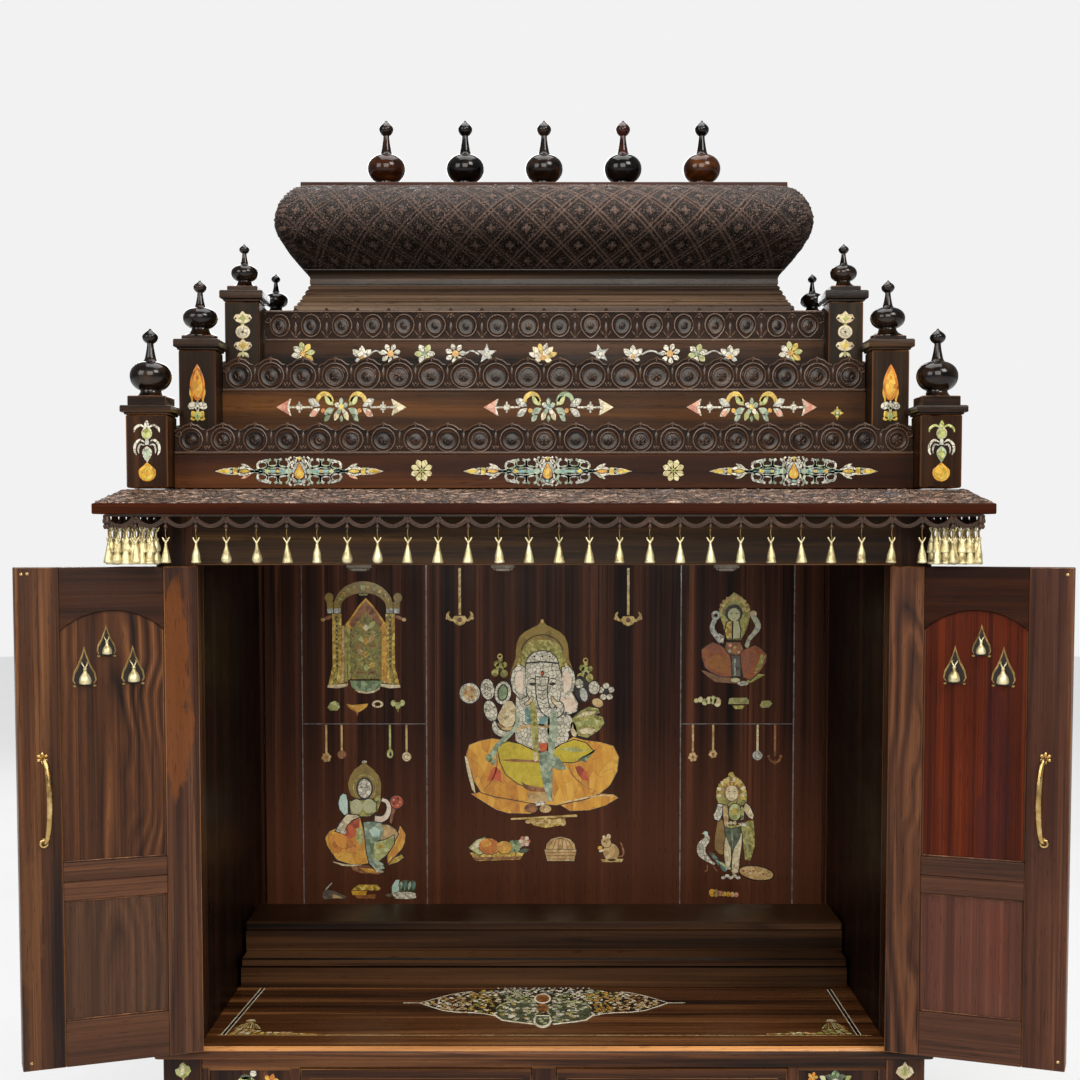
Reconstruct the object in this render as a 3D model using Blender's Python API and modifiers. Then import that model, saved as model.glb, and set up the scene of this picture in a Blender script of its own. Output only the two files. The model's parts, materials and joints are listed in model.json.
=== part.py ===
# Home temple: a rosewood pooja cabinet with folding doors, a hanging
# valance, three stepped tiers with corner newels and a bombe roof.
# Units are metres, +Z is up, the front faces -Y, and the origin is the
# middle of the bounding box on the ground.
import bpy
import bmesh
from math import sin, cos, pi, radians, sqrt
from mathutils import Matrix, Vector

for old in list(bpy.data.objects):
    bpy.data.objects.remove(old, do_unlink=True)

# ------------------------------------------------------------------ sizes
GAP = 0.0003            # air between neighbouring pieces
FRONT_Y = -0.1956       # world Y of the cabinet's front plane
HALF_W = 0.500          # half width over the posts
POST = 0.050            # posts, across X
POST_D = 0.048          # posts, across Y
DEPTH = 0.512           # front plane to the back face
OPEN_HALF = HALF_W - POST

# base
LEG_Z = 0.0
FLOOR_Z = 0.160         # top of the base board, the shrine floor
BOARD_T = 0.0173
BOARD_OUT_X = 0.0085
BOARD_OUT_Y = 0.0127
RAIL_TOP_H = 0.0144
APRON_Z0 = 0.018
BASE_BOTTOM_Z = 0.030
BASE_BOTTOM_T = 0.012
DRAWER_X0, DRAWER_X1 = 0.016, 0.3205
PANEL_X0, PANEL_X1 = 0.334, 0.440
FRAME_T = 0.014
DRAWER_DEEP = 0.420
DRAWER_WALL = 0.010
DRAWER_FLOOR = 0.007

PULL_HALF, PULL_OUT = 0.036, 0.020

# cabinet
HEAD_Z = FLOOR_Z + 0.629      # underside of the head beam
EAVE_Z = FLOOR_Z + 0.6937     # underside of the eave board
SIDE_T = 0.018
BACK_Y = 0.500
BEAM_T = 0.020

# step platform
STEP_HALF = 0.447
STEP_Y0, STEP_Y1, STEP_Y2 = 0.260, 0.302, 0.420
STEP_H1, STEP_H2 = 0.044, 0.088
STEP_WALL = 0.014

# doors
LEAF_W = 0.2235
LEAF_T = 0.017
LEAF_Z0, LEAF_Z1 = FLOOR_Z + 0.002, FLOOR_Z + 0.628
HINGE_OUT = 0.0015            # hinge pin in front of the post's face
HINGE_GAP = 0.001
DOOR_OPEN = radians(159.0)    # resting angle from closed
STILE_FOLD, STILE_FREE = 0.045, 0.037
RAIL_BOTTOM = 0.0576
PANEL_LOW_H = 0.153
RAIL_MID = 0.0473
PANEL_UP_H = 0.289            # to the springing of the arch
ARCH_RISE = 0.025
PANEL_SUNK = 0.004
HANDLE_D = 0.0056
HANDLE_Z0, HANDLE_Z1 = FLOOR_Z + 0.2885, FLOOR_Z + 0.3935
HANDLE_X = 0.030              # from the fold edge
HANDLE_OUT = 0.022

# eave and valance
EAVE_HALF = 0.557
EAVE_FRONT = -0.090
EAVE_BACK = 0.516
EAVE_FASCIA = 0.0135
EAVE_T = 0.0328
EAVE_SLOPE_X, EAVE_SLOPE_Y = 0.029, 0.043
VAL_T = 0.008
VAL_HALF = 0.543
VAL_FRONT = -0.085
VAL_BACK = 0.500
VAL_DEEP, VAL_RISE = 0.0187, 0.0085
VAL_PITCH = 0.0393

# tiers: front Y, side half width, bottom and top above the shrine floor
TIER_TOP0 = 0.7265
TIERS = {
    "lower": dict(y=-0.010, half=0.490, z0=TIER_TOP0, z1=0.7710, nw=0.0525, nx=0.4990, ny=-0.045,
                  nh=0.8186, cap=0.0151, capw=0.068, pl=0.0089, bulb=0.0265, fin=0.0868, gal=0.0413),
    "middle": dict(y=0.060, half=0.440, z0=0.7710, z1=0.8570, nw=0.0480, nx=0.4485, ny=0.020,
                   nh=0.9064, cap=0.0142, capw=0.062, pl=0.0052, bulb=0.0225, fin=0.0737, gal=0.0460),
    "upper": dict(y=0.120, half=0.394, z0=0.8570, z1=0.9294, nw=0.0460, nx=0.4020, ny=0.085,
                  nh=0.9776, cap=0.0147, capw=0.060, pl=0.0066, bulb=0.0175, fin=0.0585, gal=0.0456),
}
TIER_REAR = {"lower": 0.506, "middle": 0.444, "upper": 0.384}
TIER_WALL = 0.014
GAL_T = 0.010
GAL_PITCH = 0.0418

# roof
ROOF_Y = 0.255                 # middle of the roof in depth
PLINTH_HALF, PLINTH_DEEP = 0.340, 0.126
PLINTH_TOP_Z = 1.0300
WAIST_Z = 1.0303
BELLY_Z = 1.0928
ROOF_TOP_Z = 1.1515
WAIST_HALF, BELLY_HALF, CROWN_HALF = 0.328, 0.3643, 0.334
WAIST_DEEP = 0.108
RIDGE_T = 0.004
RIDGE_HALF, RIDGE_DEEP = 0.3376, 0.040
FINIAL_PITCH = 0.1125
FINIAL_H = 0.1010
FINIAL_R = 0.0272

# ------------------------------------------------------------ collections
parts = bpy.data.collections.new("home_temple")
cutters = bpy.data.collections.new("cutters")
bpy.context.scene.collection.children.link(parts)
bpy.context.scene.collection.children.link(cutters)


def material(name, colour, rough, metal=0.0):
    m = bpy.data.materials.new(name)
    m.use_nodes = True
    b = m.node_tree.nodes["Principled BSDF"]
    b.inputs["Base Color"].default_value = (*colour, 1.0)
    b.inputs["Roughness"].default_value = rough
    b.inputs["Metallic"].default_value = metal
    m.diffuse_color = (*colour, 1.0)
    return m


WOOD = material("rosewood", (0.085, 0.042, 0.024), 0.42)
WOOD_RED = material("rosewood_red", (0.120, 0.038, 0.026), 0.42)
WOOD_DARK = material("carved_dark_rosewood", (0.040, 0.022, 0.016), 0.45)
WOOD_GLOSS = material("polished_turned_rosewood", (0.050, 0.024, 0.018), 0.20)
BRASS = material("brass", (0.70, 0.53, 0.22), 0.30, 1.0)


# ------------------------------------------------------------------ tools
def into(obj, coll):
    for c in list(obj.users_collection):
        c.objects.unlink(obj)
    coll.objects.link(obj)
    if coll is cutters:
        obj.hide_render = True
        obj.display_type = 'WIRE'


def named(obj, name, mat=None, coll=None):
    obj.name = name
    obj.data.name = name
    obj.data.materials.clear()
    if mat is not None:
        obj.data.materials.append(mat)
    into(obj, coll or parts)
    return obj


def box(name, x, y, z, mat=None, coll=None, local=False):
    """A board between x[0]..x[1], y[0]..y[1], z[0]..z[1]; y is measured
    from the front plane unless local is set."""
    off = 0.0 if local else FRONT_Y
    bpy.ops.mesh.primitive_cube_add(size=1.0)
    o = bpy.context.active_object
    size = Vector((abs(x[1] - x[0]), abs(y[1] - y[0]), abs(z[1] - z[0])))
    mid = Vector(((x[0] + x[1]) / 2, (y[0] + y[1]) / 2 + off, (z[0] + z[1]) / 2))
    o.data.transform(Matrix.Diagonal((*size, 1.0)))
    o.location = mid
    return named(o, name, mat, coll)


def outline(name, pts, thick, matrix, mat=None, coll=None):
    """A flat outline extruded to thick, laid into space by matrix."""
    cu = bpy.data.curves.new(name, 'CURVE')
    cu.dimensions = '2D'
    cu.fill_mode = 'BOTH'
    cu.extrude = thick / 2
    sp = cu.splines.new('POLY')
    sp.points.add(len(pts) - 1)
    for p, (a, b) in zip(sp.points, pts):
        p.co = (a, b, 0.0, 1.0)
    sp.use_cyclic_u = True
    tmp = bpy.data.objects.new(name + "_outline", cu)
    cutters.objects.link(tmp)
    dg = bpy.context.evaluated_depsgraph_get()
    me = bpy.data.meshes.new_from_object(tmp.evaluated_get(dg))
    bpy.data.objects.remove(tmp, do_unlink=True)
    bm = bmesh.new()
    bm.from_mesh(me)
    bmesh.ops.remove_doubles(bm, verts=bm.verts, dist=1e-6)
    bmesh.ops.recalc_face_normals(bm, faces=bm.faces)
    bm.to_mesh(me)
    bm.free()
    me.transform(matrix)
    if matrix.to_3x3().determinant() < 0:
        me.flip_normals()
    o = bpy.data.objects.new(name, me)
    parts.objects.link(o)
    return named(o, name, mat, coll)


# an outline drawn in X-Z, thickness along Y; and one drawn in Y-Z
XZ = Matrix(((1, 0, 0, 0), (0, 0, -1, 0), (0, 1, 0, 0), (0, 0, 0, 1)))
YZ = Matrix(((0, 0, 1, 0), (1, 0, 0, 0), (0, 1, 0, 0), (0, 0, 0, 1)))


def shift(x, y, z):
    return Matrix.Translation((x, y, z))


def boolean(obj, other, op='DIFFERENCE'):
    m = obj.modifiers.new(op.lower(), 'BOOLEAN')
    m.operation = op
    m.solver = 'EXACT'
    m.object = other
    return obj


def bevel(obj, width, segments=1, limit=40):
    m = obj.modifiers.new("edges", 'BEVEL')
    m.width = width
    m.segments = segments
    m.limit_method = 'ANGLE'
    m.angle_limit = radians(limit)
    return obj


def applied(obj, name, mat):
    """The evaluated mesh of obj as a plain mesh; obj is removed."""
    dg = bpy.context.evaluated_depsgraph_get()
    me = bpy.data.meshes.new_from_object(obj.evaluated_get(dg))
    me.transform(obj.matrix_world)
    bpy.data.objects.remove(obj, do_unlink=True)
    me.name = name
    me.materials.clear()
    me.materials.append(mat)
    return me


def place(name, me, loc, mat=None, parent=None):
    o = bpy.data.objects.new(name, me)
    parts.objects.link(o)
    if parent is not None:
        o.parent = parent
    o.location = loc
    return o


def turned(name, profile, steps, coll=None):
    """A turned solid from (radius, height) pairs listed top to bottom,
    closed on the axis at both ends."""
    me = bpy.data.meshes.new(name)
    bm = bmesh.new()
    vs = [bm.verts.new((r, 0.0, h)) for r, h in profile]
    for a, b in zip(vs, vs[1:]):
        bm.edges.new((a, b))
    bm.to_mesh(me)
    bm.free()
    o = bpy.data.objects.new(name, me)
    (coll or cutters).objects.link(o)
    s = o.modifiers.new("turn", 'SCREW')
    s.axis = 'Z'
    s.angle = 2 * pi
    s.steps = steps
    s.render_steps = steps
    s.use_merge_vertices = True
    s.merge_threshold = 0.00005
    s.use_smooth_shade = True
    return o


def finial_profile(h, r):
    """A kalash: foot, round bulb, waist ring, thin neck and a bud."""
    bulb = 0.47 * h
    pts = [(0.0, h), (0.10 * r * 2, 0.955 * h), (0.20 * r * 2, 0.89 * h), (0.085 * r * 2, 0.80 * h)]
    pts += [(0.14 * r * 2, 0.60 * h), (0.27 * r * 2, 0.53 * h)]
    n = 6
    for i in range(n + 1):
        a = radians(62) - i * radians(62 + 58) / n
        pts.append((r * cos(a) * (1.0 if a < 0 else 1.0), 0.055 * h + bulb * 0.5 + bulb * 0.5 * sin(a) / sin(radians(62)) * (1.0 if a > 0 else 0.98)))
    pts += [(0.52 * r, 0.0), (0.0, 0.0)]
    return pts


def bow(length, out, n):
    """A bow handle seen from the side: (along, out) points that leave the
    face squarely at both feet."""
    pts = [(0.0, 0.0), (0.0, 0.25 * out)]
    for i in range(1, n - 1):
        t = i / (n - 1)
        pts.append((length * (0.5 - 0.5 * cos(pi * t)), out * (0.45 + 0.55 * sin(pi * t) ** 0.8)))
    return pts + [(length, 0.25 * out), (length, 0.0)]


def rounded_ring(hx, hy, r, n=3):
    """A rounded rectangle, anticlockwise from +X."""
    r = min(r, hx * 0.98, hy * 0.98)
    out = []
    for cx, cy, a0 in ((hx - r, hy - r, 0), (-hx + r, hy - r, 90), (-hx + r, -hy + r, 180), (hx - r, -hy + r, 270)):
        for i in range(n + 1):
            a = radians(a0 + 90 * i / n)
            out.append((cx + r * cos(a), cy + r * sin(a)))
    return out


def loft(name, rings, mat=None, coll=None):
    """Skin level rings [(z, [(x, y), ...]), ...] given bottom to top."""
    bm = bmesh.new()
    rows = [[bm.verts.new((x, y, z)) for x, y in ring] for z, ring in rings]
    n = len(rows[0])
    for lo, hi in zip(rows, rows[1:]):
        for i in range(n):
            j = (i + 1) % n
            bm.faces.new((lo[i], lo[j], hi[j], hi[i]))
    bm.faces.new(list(reversed(rows[0])))
    bm.faces.new(rows[-1])
    bmesh.ops.recalc_face_normals(bm, faces=bm.faces)
    me = bpy.data.meshes.new(name)
    bm.to_mesh(me)
    bm.free()
    o = bpy.data.objects.new(name, me)
    parts.objects.link(o)
    return named(o, name, mat, coll)


# -------------------------------------------------------------------- base
RAIL_Z0 = FLOOR_Z - BOARD_T - RAIL_TOP_H          # top of the drawer openings
UNDER = FLOOR_Z - BOARD_T - GAP                   # under the base board
IN_Y0 = FRAME_T + 0.002 + GAP
for side, s in (("left", -1), ("right", 1)):
    end = box("base_end_" + side, (s * OPEN_HALF, s * HALF_W), (0, POST_D), (LEG_Z, UNDER), WOOD)
    rear = box("leg_rear_" + side, (s * OPEN_HALF, s * HALF_W), (DEPTH - POST_D, DEPTH), (LEG_Z, UNDER), None, cutters)
    wall = box("end_panel_" + side, (s * (HALF_W - 0.022), s * (HALF_W - 0.007)),
               (POST_D - 0.004, DEPTH - POST_D + 0.004), (BASE_BOTTOM_Z - 0.006, UNDER - 0.0002), None, cutters)
    boolean(end, rear, 'UNION')
    boolean(end, wall, 'UNION')

box("base_back_panel", (-OPEN_HALF + GAP, OPEN_HALF - GAP), (DEPTH - 0.014, DEPTH - 0.002),
    (BASE_BOTTOM_Z, UNDER), WOOD)
box("base_bottom_board", (-OPEN_HALF + GAP, OPEN_HALF - GAP), (IN_Y0, DEPTH - 0.014 - GAP),
    (BASE_BOTTOM_Z, BASE_BOTTOM_Z + BASE_BOTTOM_T), WOOD)

front = box("base_front_frame", (-OPEN_HALF + GAP, OPEN_HALF - GAP), (0.002, 0.002 + FRAME_T), (APRON_Z0, UNDER), WOOD)
for side, s in (("left", -1), ("right", 1)):
    hole = box("drawer_hole_" + side, (s * (DRAWER_X0 - 0.0), s * DRAWER_X1), (-0.02, 0.04),
               (BASE_BOTTOM_Z + BASE_BOTTOM_T, RAIL_Z0), None, cutters)
    sunk = box("front_recess_" + side, (s * PANEL_X0, s * PANEL_X1), (-0.01, 0.002 + 0.004),
               (BASE_BOTTOM_Z + 0.016, RAIL_Z0 - 0.004), None, cutters)
    boolean(front, hole)
    boolean(front, sunk)

top_board = box("base_top_board", (-HALF_W - BOARD_OUT_X, HALF_W + BOARD_OUT_X), (-BOARD_OUT_Y, DEPTH),
                (FLOOR_Z - BOARD_T, FLOOR_Z), WOOD)
bevel(top_board, 0.0055, 2)

# ----------------------------------------------------------------- drawers
for side, s in (("left", -1), ("right", 1)):
    xa, xb = DRAWER_X0 + 0.0008, DRAWER_X1 - 0.0008
    z0, z1 = BASE_BOTTOM_Z + BASE_BOTTOM_T + 0.0006, RAIL_Z0 - 0.0012
    slide = bpy.data.objects.new("drawer_slide_" + side, None)
    parts.objects.link(slide)
    slide.location = (s * (xa + xb) / 2, FRONT_Y, (z0 + z1) / 2)
    d = box("drawer_" + side, (-(xb - xa) / 2, (xb - xa) / 2), (0.0005, DRAWER_DEEP),
            (-(z1 - z0) / 2, (z1 - z0) / 2), WOOD, None, local=True)
    cut = box("drawer_inside_" + side, (-(xb - xa) / 2 + DRAWER_WALL, (xb - xa) / 2 - DRAWER_WALL),
              (FRAME_T, DRAWER_DEEP - DRAWER_WALL), (-(z1 - z0) / 2 + DRAWER_FLOOR, (z1 - z0) / 2 + 0.01), None, cutters, local=True)
    d.parent = slide
    cut.parent = slide
    boolean(d, cut)
    # a brass bow pull, its two feet against the drawer front
    cu = bpy.data.curves.new("drawer_pull_" + side, 'CURVE')
    cu.dimensions = '3D'
    cu.bevel_depth = 0.0024
    cu.bevel_resolution = 1
    cu.use_fill_caps = True
    pts = bow(PULL_HALF * 2, PULL_OUT, 9)
    sp = cu.splines.new('POLY')
    sp.points.add(len(pts) - 1)
    for p, (along, out) in zip(sp.points, pts):
        p.co = (along - PULL_HALF, 0.0005 - GAP - out, 0.0, 1.0)
    pull = bpy.data.objects.new("drawer_pull_" + side, cu)
    parts.objects.link(pull)
    pull.parent = slide
    pull.location = (0, 0, 0.012)
    cu.materials.append(BRASS)

# ----------------------------------------------------------------- cabinet
CAB_Z0, CAB_Z1 = FLOOR_Z + GAP, EAVE_Z - GAP
for side, s in (("left", -1), ("right", 1)):
    box("cabinet_post_front_" + side, (s * OPEN_HALF, s * HALF_W), (0, POST_D), (CAB_Z0, CAB_Z1), WOOD)
    box("cabinet_post_back_" + side, (s * OPEN_HALF, s * HALF_W), (DEPTH - POST_D, DEPTH), (CAB_Z0, CAB_Z1), WOOD)
    box("cabinet_side_" + side, (s * OPEN_HALF, s * (OPEN_HALF + SIDE_T)), (POST_D + GAP, DEPTH - POST_D - GAP),
        (CAB_Z0, CAB_Z1), WOOD)
box("cabinet_back_panel", (-OPEN_HALF + GAP, OPEN_HALF - GAP), (BACK_Y, DEPTH), (CAB_Z0, CAB_Z1), WOOD_RED)
box("head_beam", (-OPEN_HALF + GAP, OPEN_HALF - GAP), (0.0, BEAM_T), (HEAD_Z, CAB_Z1), WOOD)

# ----------------------------------------------------------- step platform
sz = FLOOR_Z + GAP
step = outline("step_platform", [(STEP_Y0, 0), (STEP_Y2, 0), (STEP_Y2, STEP_H2), (STEP_Y1, STEP_H2),
                                 (STEP_Y1, STEP_H1), (STEP_Y0, STEP_H1)], 2 * STEP_HALF,
               shift(0, FRONT_Y, sz) @ YZ, WOOD)
w = STEP_WALL
hollow = outline("step_hollow", [(STEP_Y0 + w, -0.01), (STEP_Y2 - w, -0.01), (STEP_Y2 - w, STEP_H2 - w),
                                 (STEP_Y1 + w, STEP_H2 - w), (STEP_Y1 + w, STEP_H1 - w), (STEP_Y0 + w, STEP_H1 - w)],
                 2 * (STEP_HALF - w), shift(0, FRONT_Y, sz) @ YZ, None, cutters)
boolean(step, hollow)

# ------------------------------------------------------------------- doors
def arch_panel(x0, x1, z0, z1, rise, n=8):
    """A rectangle with a shallow arched head, as (x, z) points."""
    half = (x1 - x0) / 2
    rad = (half * half + rise * rise) / (2 * rise)
    mid = (x0 + x1) / 2
    pts = [(x0, z0), (x1, z0)]
    for i in range(n + 1):
        x = x1 + (x0 - x1) * i / n
        pts.append((x, z1 + sqrt(max(rad * rad - (x - mid) ** 2, 0.0)) - (rad - rise)))
    return pts


def leaf(name, s, x0, x1, fold_x, y0, parent, mat):
    """A framed leaf in its hinge's own frame: x0..x1 across, its outer
    face at y0, with an arched and a square sunk panel."""
    z0, z1 = LEAF_Z0, LEAF_Z1
    o = box(name, (s * x0, s * x1), (y0, y0 + LEAF_T), (z0, z1), mat, None, local=True)
    near_fold = abs(x0 - fold_x) < abs(x1 - fold_x)
    a = x0 + (STILE_FOLD if near_fold else STILE_FREE)
    b = x1 - (STILE_FREE if near_fold else STILE_FOLD)
    lo0 = z0 + RAIL_BOTTOM
    lo1 = lo0 + PANEL_LOW_H
    up0 = lo1 + RAIL_MID
    up1 = up0 + PANEL_UP_H
    low = box(name + "_low_panel", (s * a, s * b), (y0 - 0.01, y0 + PANEL_SUNK), (lo0, lo1), None, cutters, local=True)
    up = outline(name + "_high_panel", [(s * x, z) for x, z in arch_panel(a, b, up0, up1, ARCH_RISE)], 0.01 + PANEL_SUNK,
                 shift(0, y0 + (PANEL_SUNK - 0.01) / 2, 0) @ XZ, None, cutters)
    for c in (low, up):
        c.parent = parent
        boolean(o, c)
    o.parent = parent
    return o


for side, s in (("left", -1), ("right", 1)):
    # hinge pin at the post's inner front edge; s = -1 opens clockwise from above
    pin = bpy.data.objects.new("hinge_post_" + side, None)
    parts.objects.link(pin)
    pin.location = (s * OPEN_HALF, FRONT_Y - HINGE_OUT, 0)
    pin.rotation_euler = (0, 0, s * DOOR_OPEN)
    # in the pin's frame, the closed leaf runs from the pin toward the middle (-s)
    leaf("door_%s_hinge_leaf" % side, -s, HINGE_GAP, LEAF_W, LEAF_W, 0.0, pin, WOOD)
    fold = bpy.data.objects.new("hinge_fold_" + side, None)
    parts.objects.link(fold)
    fold.parent = pin
    fold.location = (-s * (LEAF_W + HINGE_GAP / 2), LEAF_T + HINGE_GAP / 2, 0)
    fold.rotation_euler = (0, 0, pi)
    leaf("door_%s_fold_leaf" % side, -s, HINGE_GAP / 2, LEAF_W - 0.001, HINGE_GAP / 2, -LEAF_T - HINGE_GAP / 2, fold,
         WOOD if side == "left" else WOOD_RED)
    # brass bow handle on the fold leaf's outer face
    cu = bpy.data.curves.new("door_handle_" + side, 'CURVE')
    cu.dimensions = '3D'
    cu.bevel_depth = HANDLE_D / 2
    cu.bevel_resolution = 1
    cu.use_fill_caps = True
    pts = bow(HANDLE_Z1 - HANDLE_Z0, HANDLE_OUT, 11)
    sp = cu.splines.new('POLY')
    sp.points.add(len(pts) - 1)
    y_face = -LEAF_T - HINGE_GAP / 2 - GAP
    for p, (along, out) in zip(sp.points, pts):
        side_bow = 0.007 * sin(pi * along / (HANDLE_Z1 - HANDLE_Z0))
        p.co = (-s * (HANDLE_X + side_bow), y_face - out, HANDLE_Z0 + along, 1.0)
    h = bpy.data.objects.new("door_handle_" + side, cu)
    parts.objects.link(h)
    h.parent = fold
    cu.materials.append(BRASS)

# ---------------------------------------------------------- eave, valance
z = EAVE_Z
front_y, back_y = FRONT_Y + EAVE_FRONT, FRONT_Y + EAVE_BACK
mid_y = (front_y + back_y) / 2


def rect(hx, y0, y1):
    return [(hx, y0), (hx, y1), (-hx, y1), (-hx, y0)]


loft("eave_board", [(z, rect(EAVE_HALF, front_y, back_y)),
                    (z + EAVE_FASCIA, rect(EAVE_HALF, front_y, back_y)),
                    (z + EAVE_T, rect(EAVE_HALF - EAVE_SLOPE_X, front_y + EAVE_SLOPE_Y, back_y - 0.002))], WOOD_DARK)


def scallops(a, b, pitch, per=3):
    """Stations from a to b along one side, with the depth of the round
    scallops at each; the last station belongs to the next side."""
    n = max(1, round(abs(b - a) / pitch))
    out = []
    for k in range(n * per):
        t = (k % per) / per
        out.append((a + (b - a) * k / (n * per), (VAL_DEEP - VAL_RISE) + VAL_RISE * sin(pi * t) ** 0.8))
    return out


def valance():
    """The strip runs down the left side, across the front and back up the
    right side, mitred at the corners."""
    h, f, r, t = VAL_HALF, VAL_FRONT, VAL_BACK, VAL_T
    rows = []
    for y, d in scallops(r, f, VAL_PITCH):
        rows.append(((-h, y), (-h + t, y), d))
    for x, d in scallops(-h, h, VAL_PITCH):
        corner = abs(x + h) < 1e-6
        rows.append(((x, f), (x + t if corner else x, f + t), d))
    for y, d in scallops(f, r, VAL_PITCH) + [(r, VAL_DEEP - VAL_RISE)]:
        corner = abs(y - f) < 1e-6
        rows.append(((h, y), (h - t, y + t if corner else y), d))
    top = EAVE_Z - GAP
    bm = bmesh.new()
    cols = []
    for (xo, yo), (xi, yi), d in rows:
        cols.append([bm.verts.new((xo, yo + FRONT_Y, top)), bm.verts.new((xo, yo + FRONT_Y, top - d)),
                     bm.verts.new((xi, yi + FRONT_Y, top - d)), bm.verts.new((xi, yi + FRONT_Y, top))])
    for p, q in zip(cols, cols[1:]):
        for i in range(4):
            j = (i + 1) % 4
            bm.faces.new((p[i], p[j], q[j], q[i]))
    bm.faces.new(cols[0][::-1])
    bm.faces.new(cols[-1])
    bmesh.ops.recalc_face_normals(bm, faces=bm.faces)
    me = bpy.data.meshes.new("eave_valance")
    bm.to_mesh(me)
    bm.free()
    o = bpy.data.objects.new("eave_valance", me)
    parts.objects.link(o)
    return named(o, "eave_valance", WOOD_DARK)


valance()

# ------------------------------------------------------- tiers and newels
def notched(hx, y0, y1, nx, d0, d1):
    """A rectangle whose four corners stand clear of square newels: nx is
    the newels' inner half gap, d0 and d1 how far each notch goes in Y."""
    return [(-nx, y0), (nx, y0), (nx, y0 + d0), (hx, y0 + d0), (hx, y1 - d1), (nx, y1 - d1),
            (nx, y1), (-nx, y1), (-nx, y1 - d1), (-hx, y1 - d1), (-hx, y0 + d0), (-nx, y0 + d0)]


def crest(length, pitch, h):
    """A gallery strip: a solid lower band and a lacy row of pointed
    arches, one to each ring, drawn along +X from 0."""
    n = max(1, round(length / pitch))
    p = length / n
    pts = [(0.0, 0.0), (length, 0.0)]
    for i in range(n):
        x = length - p * i
        pts += [(x, 0.74 * h), (x - 0.16 * p, 0.93 * h), (x - 0.5 * p, h), (x - 0.84 * p, 0.93 * h)]
    pts.append((0.0, 0.74 * h))
    return pts


for level, t in TIERS.items():
    rear = TIER_REAR[level]
    inner = t["nx"] - t["nw"] / 2 - GAP
    z0, z1 = FLOOR_Z + t["z0"] + (0.0006 if level == "lower" else GAP), FLOOR_Z + t["z1"]
    d0 = t["ny"] + t["nw"] + GAP - t["y"]
    newel_back = rear - t["nw"]
    d1 = t["nw"] + GAP
    plan = [(x, y + FRONT_Y) for x, y in notched(t["half"], t["y"], rear, inner, d0, d1)]
    tier = loft("tier_" + level, [(z0, plan), (z1, plan)], WOOD)
    w = TIER_WALL
    bay = box("tier_bay_" + level, (-inner + w, inner - w), (t["y"] + w, rear - w), (z0 - 0.01, z1 - w), None, cutters)
    boolean(tier, bay)
    # galleries: front strip between the newels, side strips behind them
    gz = z1 + GAP
    outline("gallery_%s_front" % level, crest(2 * inner, GAL_PITCH, t["gal"]), GAL_T,
            shift(-inner, FRONT_Y + t["y"] + GAL_T / 2, gz) @ XZ, WOOD_DARK)
    y_a, y_b = t["ny"] + t["nw"] + GAP, newel_back - GAP
    for side, s in (("left", -1), ("right", 1)):
        outline("gallery_%s_%s" % (level, side), crest(y_b - y_a, GAL_PITCH, t["gal"]), GAL_T,
                shift(s * (t["half"] - GAL_T / 2), FRONT_Y + y_a, gz) @ YZ, WOOD_DARK)
    # one newel: square post, cap, plinth and turned finial
    foot = FLOOR_Z + (t["z0"] + (0.0006 if level == "lower" else GAP))
    top = FLOOR_Z + t["nh"]
    post = box("newel_post", (-t["nw"] / 2, t["nw"] / 2), (-t["nw"] / 2, t["nw"] / 2), (foot, top), None, cutters, local=True)
    cw = t["capw"] / 2
    cap = loft("newel_cap", [(top - 0.0002, rect(t["nw"] / 2 + 0.001, -t["nw"] / 2 - 0.001, t["nw"] / 2 + 0.001)),
                             (top + 0.25 * t["cap"], rect(cw - 0.002, -cw + 0.002, cw - 0.002)),
                             (top + 0.35 * t["cap"], rect(cw, -cw, cw)),
                             (top + 0.75 * t["cap"], rect(cw, -cw, cw)),
                             (top + t["cap"], rect(cw * 0.86, -cw * 0.86, cw * 0.86))], None, cutters)
    zp = top + t["cap"]
    pw = cw * 0.68
    plinth = box("newel_plinth", (-pw, pw), (-pw, pw), (zp - 0.001, zp + t["pl"]), None, cutters, local=True)
    knob = turned("newel_knob", finial_profile(t["fin"], t["bulb"]), 10)
    knob.location = (0, 0, zp + t["pl"] - 0.0006)
    for other in (cap, plinth, knob):
        boolean(post, other, 'UNION')
    bpy.context.view_layer.update()
    mesh = applied(post, "newel_" + level, WOOD_GLOSS)
    mesh.set_sharp_from_angle(angle=radians(35))
    for other in (cap, plinth, knob):
        bpy.data.objects.remove(other, do_unlink=True)
    for where, y in (("front", t["ny"] + t["nw"] / 2), ("back", rear - t["nw"] / 2)):
        for side, s in (("left", -1), ("right", 1)):
            place("newel_%s_%s_%s" % (level, where, side), mesh, (s * t["nx"], FRONT_Y + y, 0))

# -------------------------------------------------------------------- roof
ry = FRONT_Y + ROOF_Y


def centred(hx, hy):
    return [(x, y + ry) for x, y in ((hx, -hy), (hx, hy), (-hx, hy), (-hx, -hy))]


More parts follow.
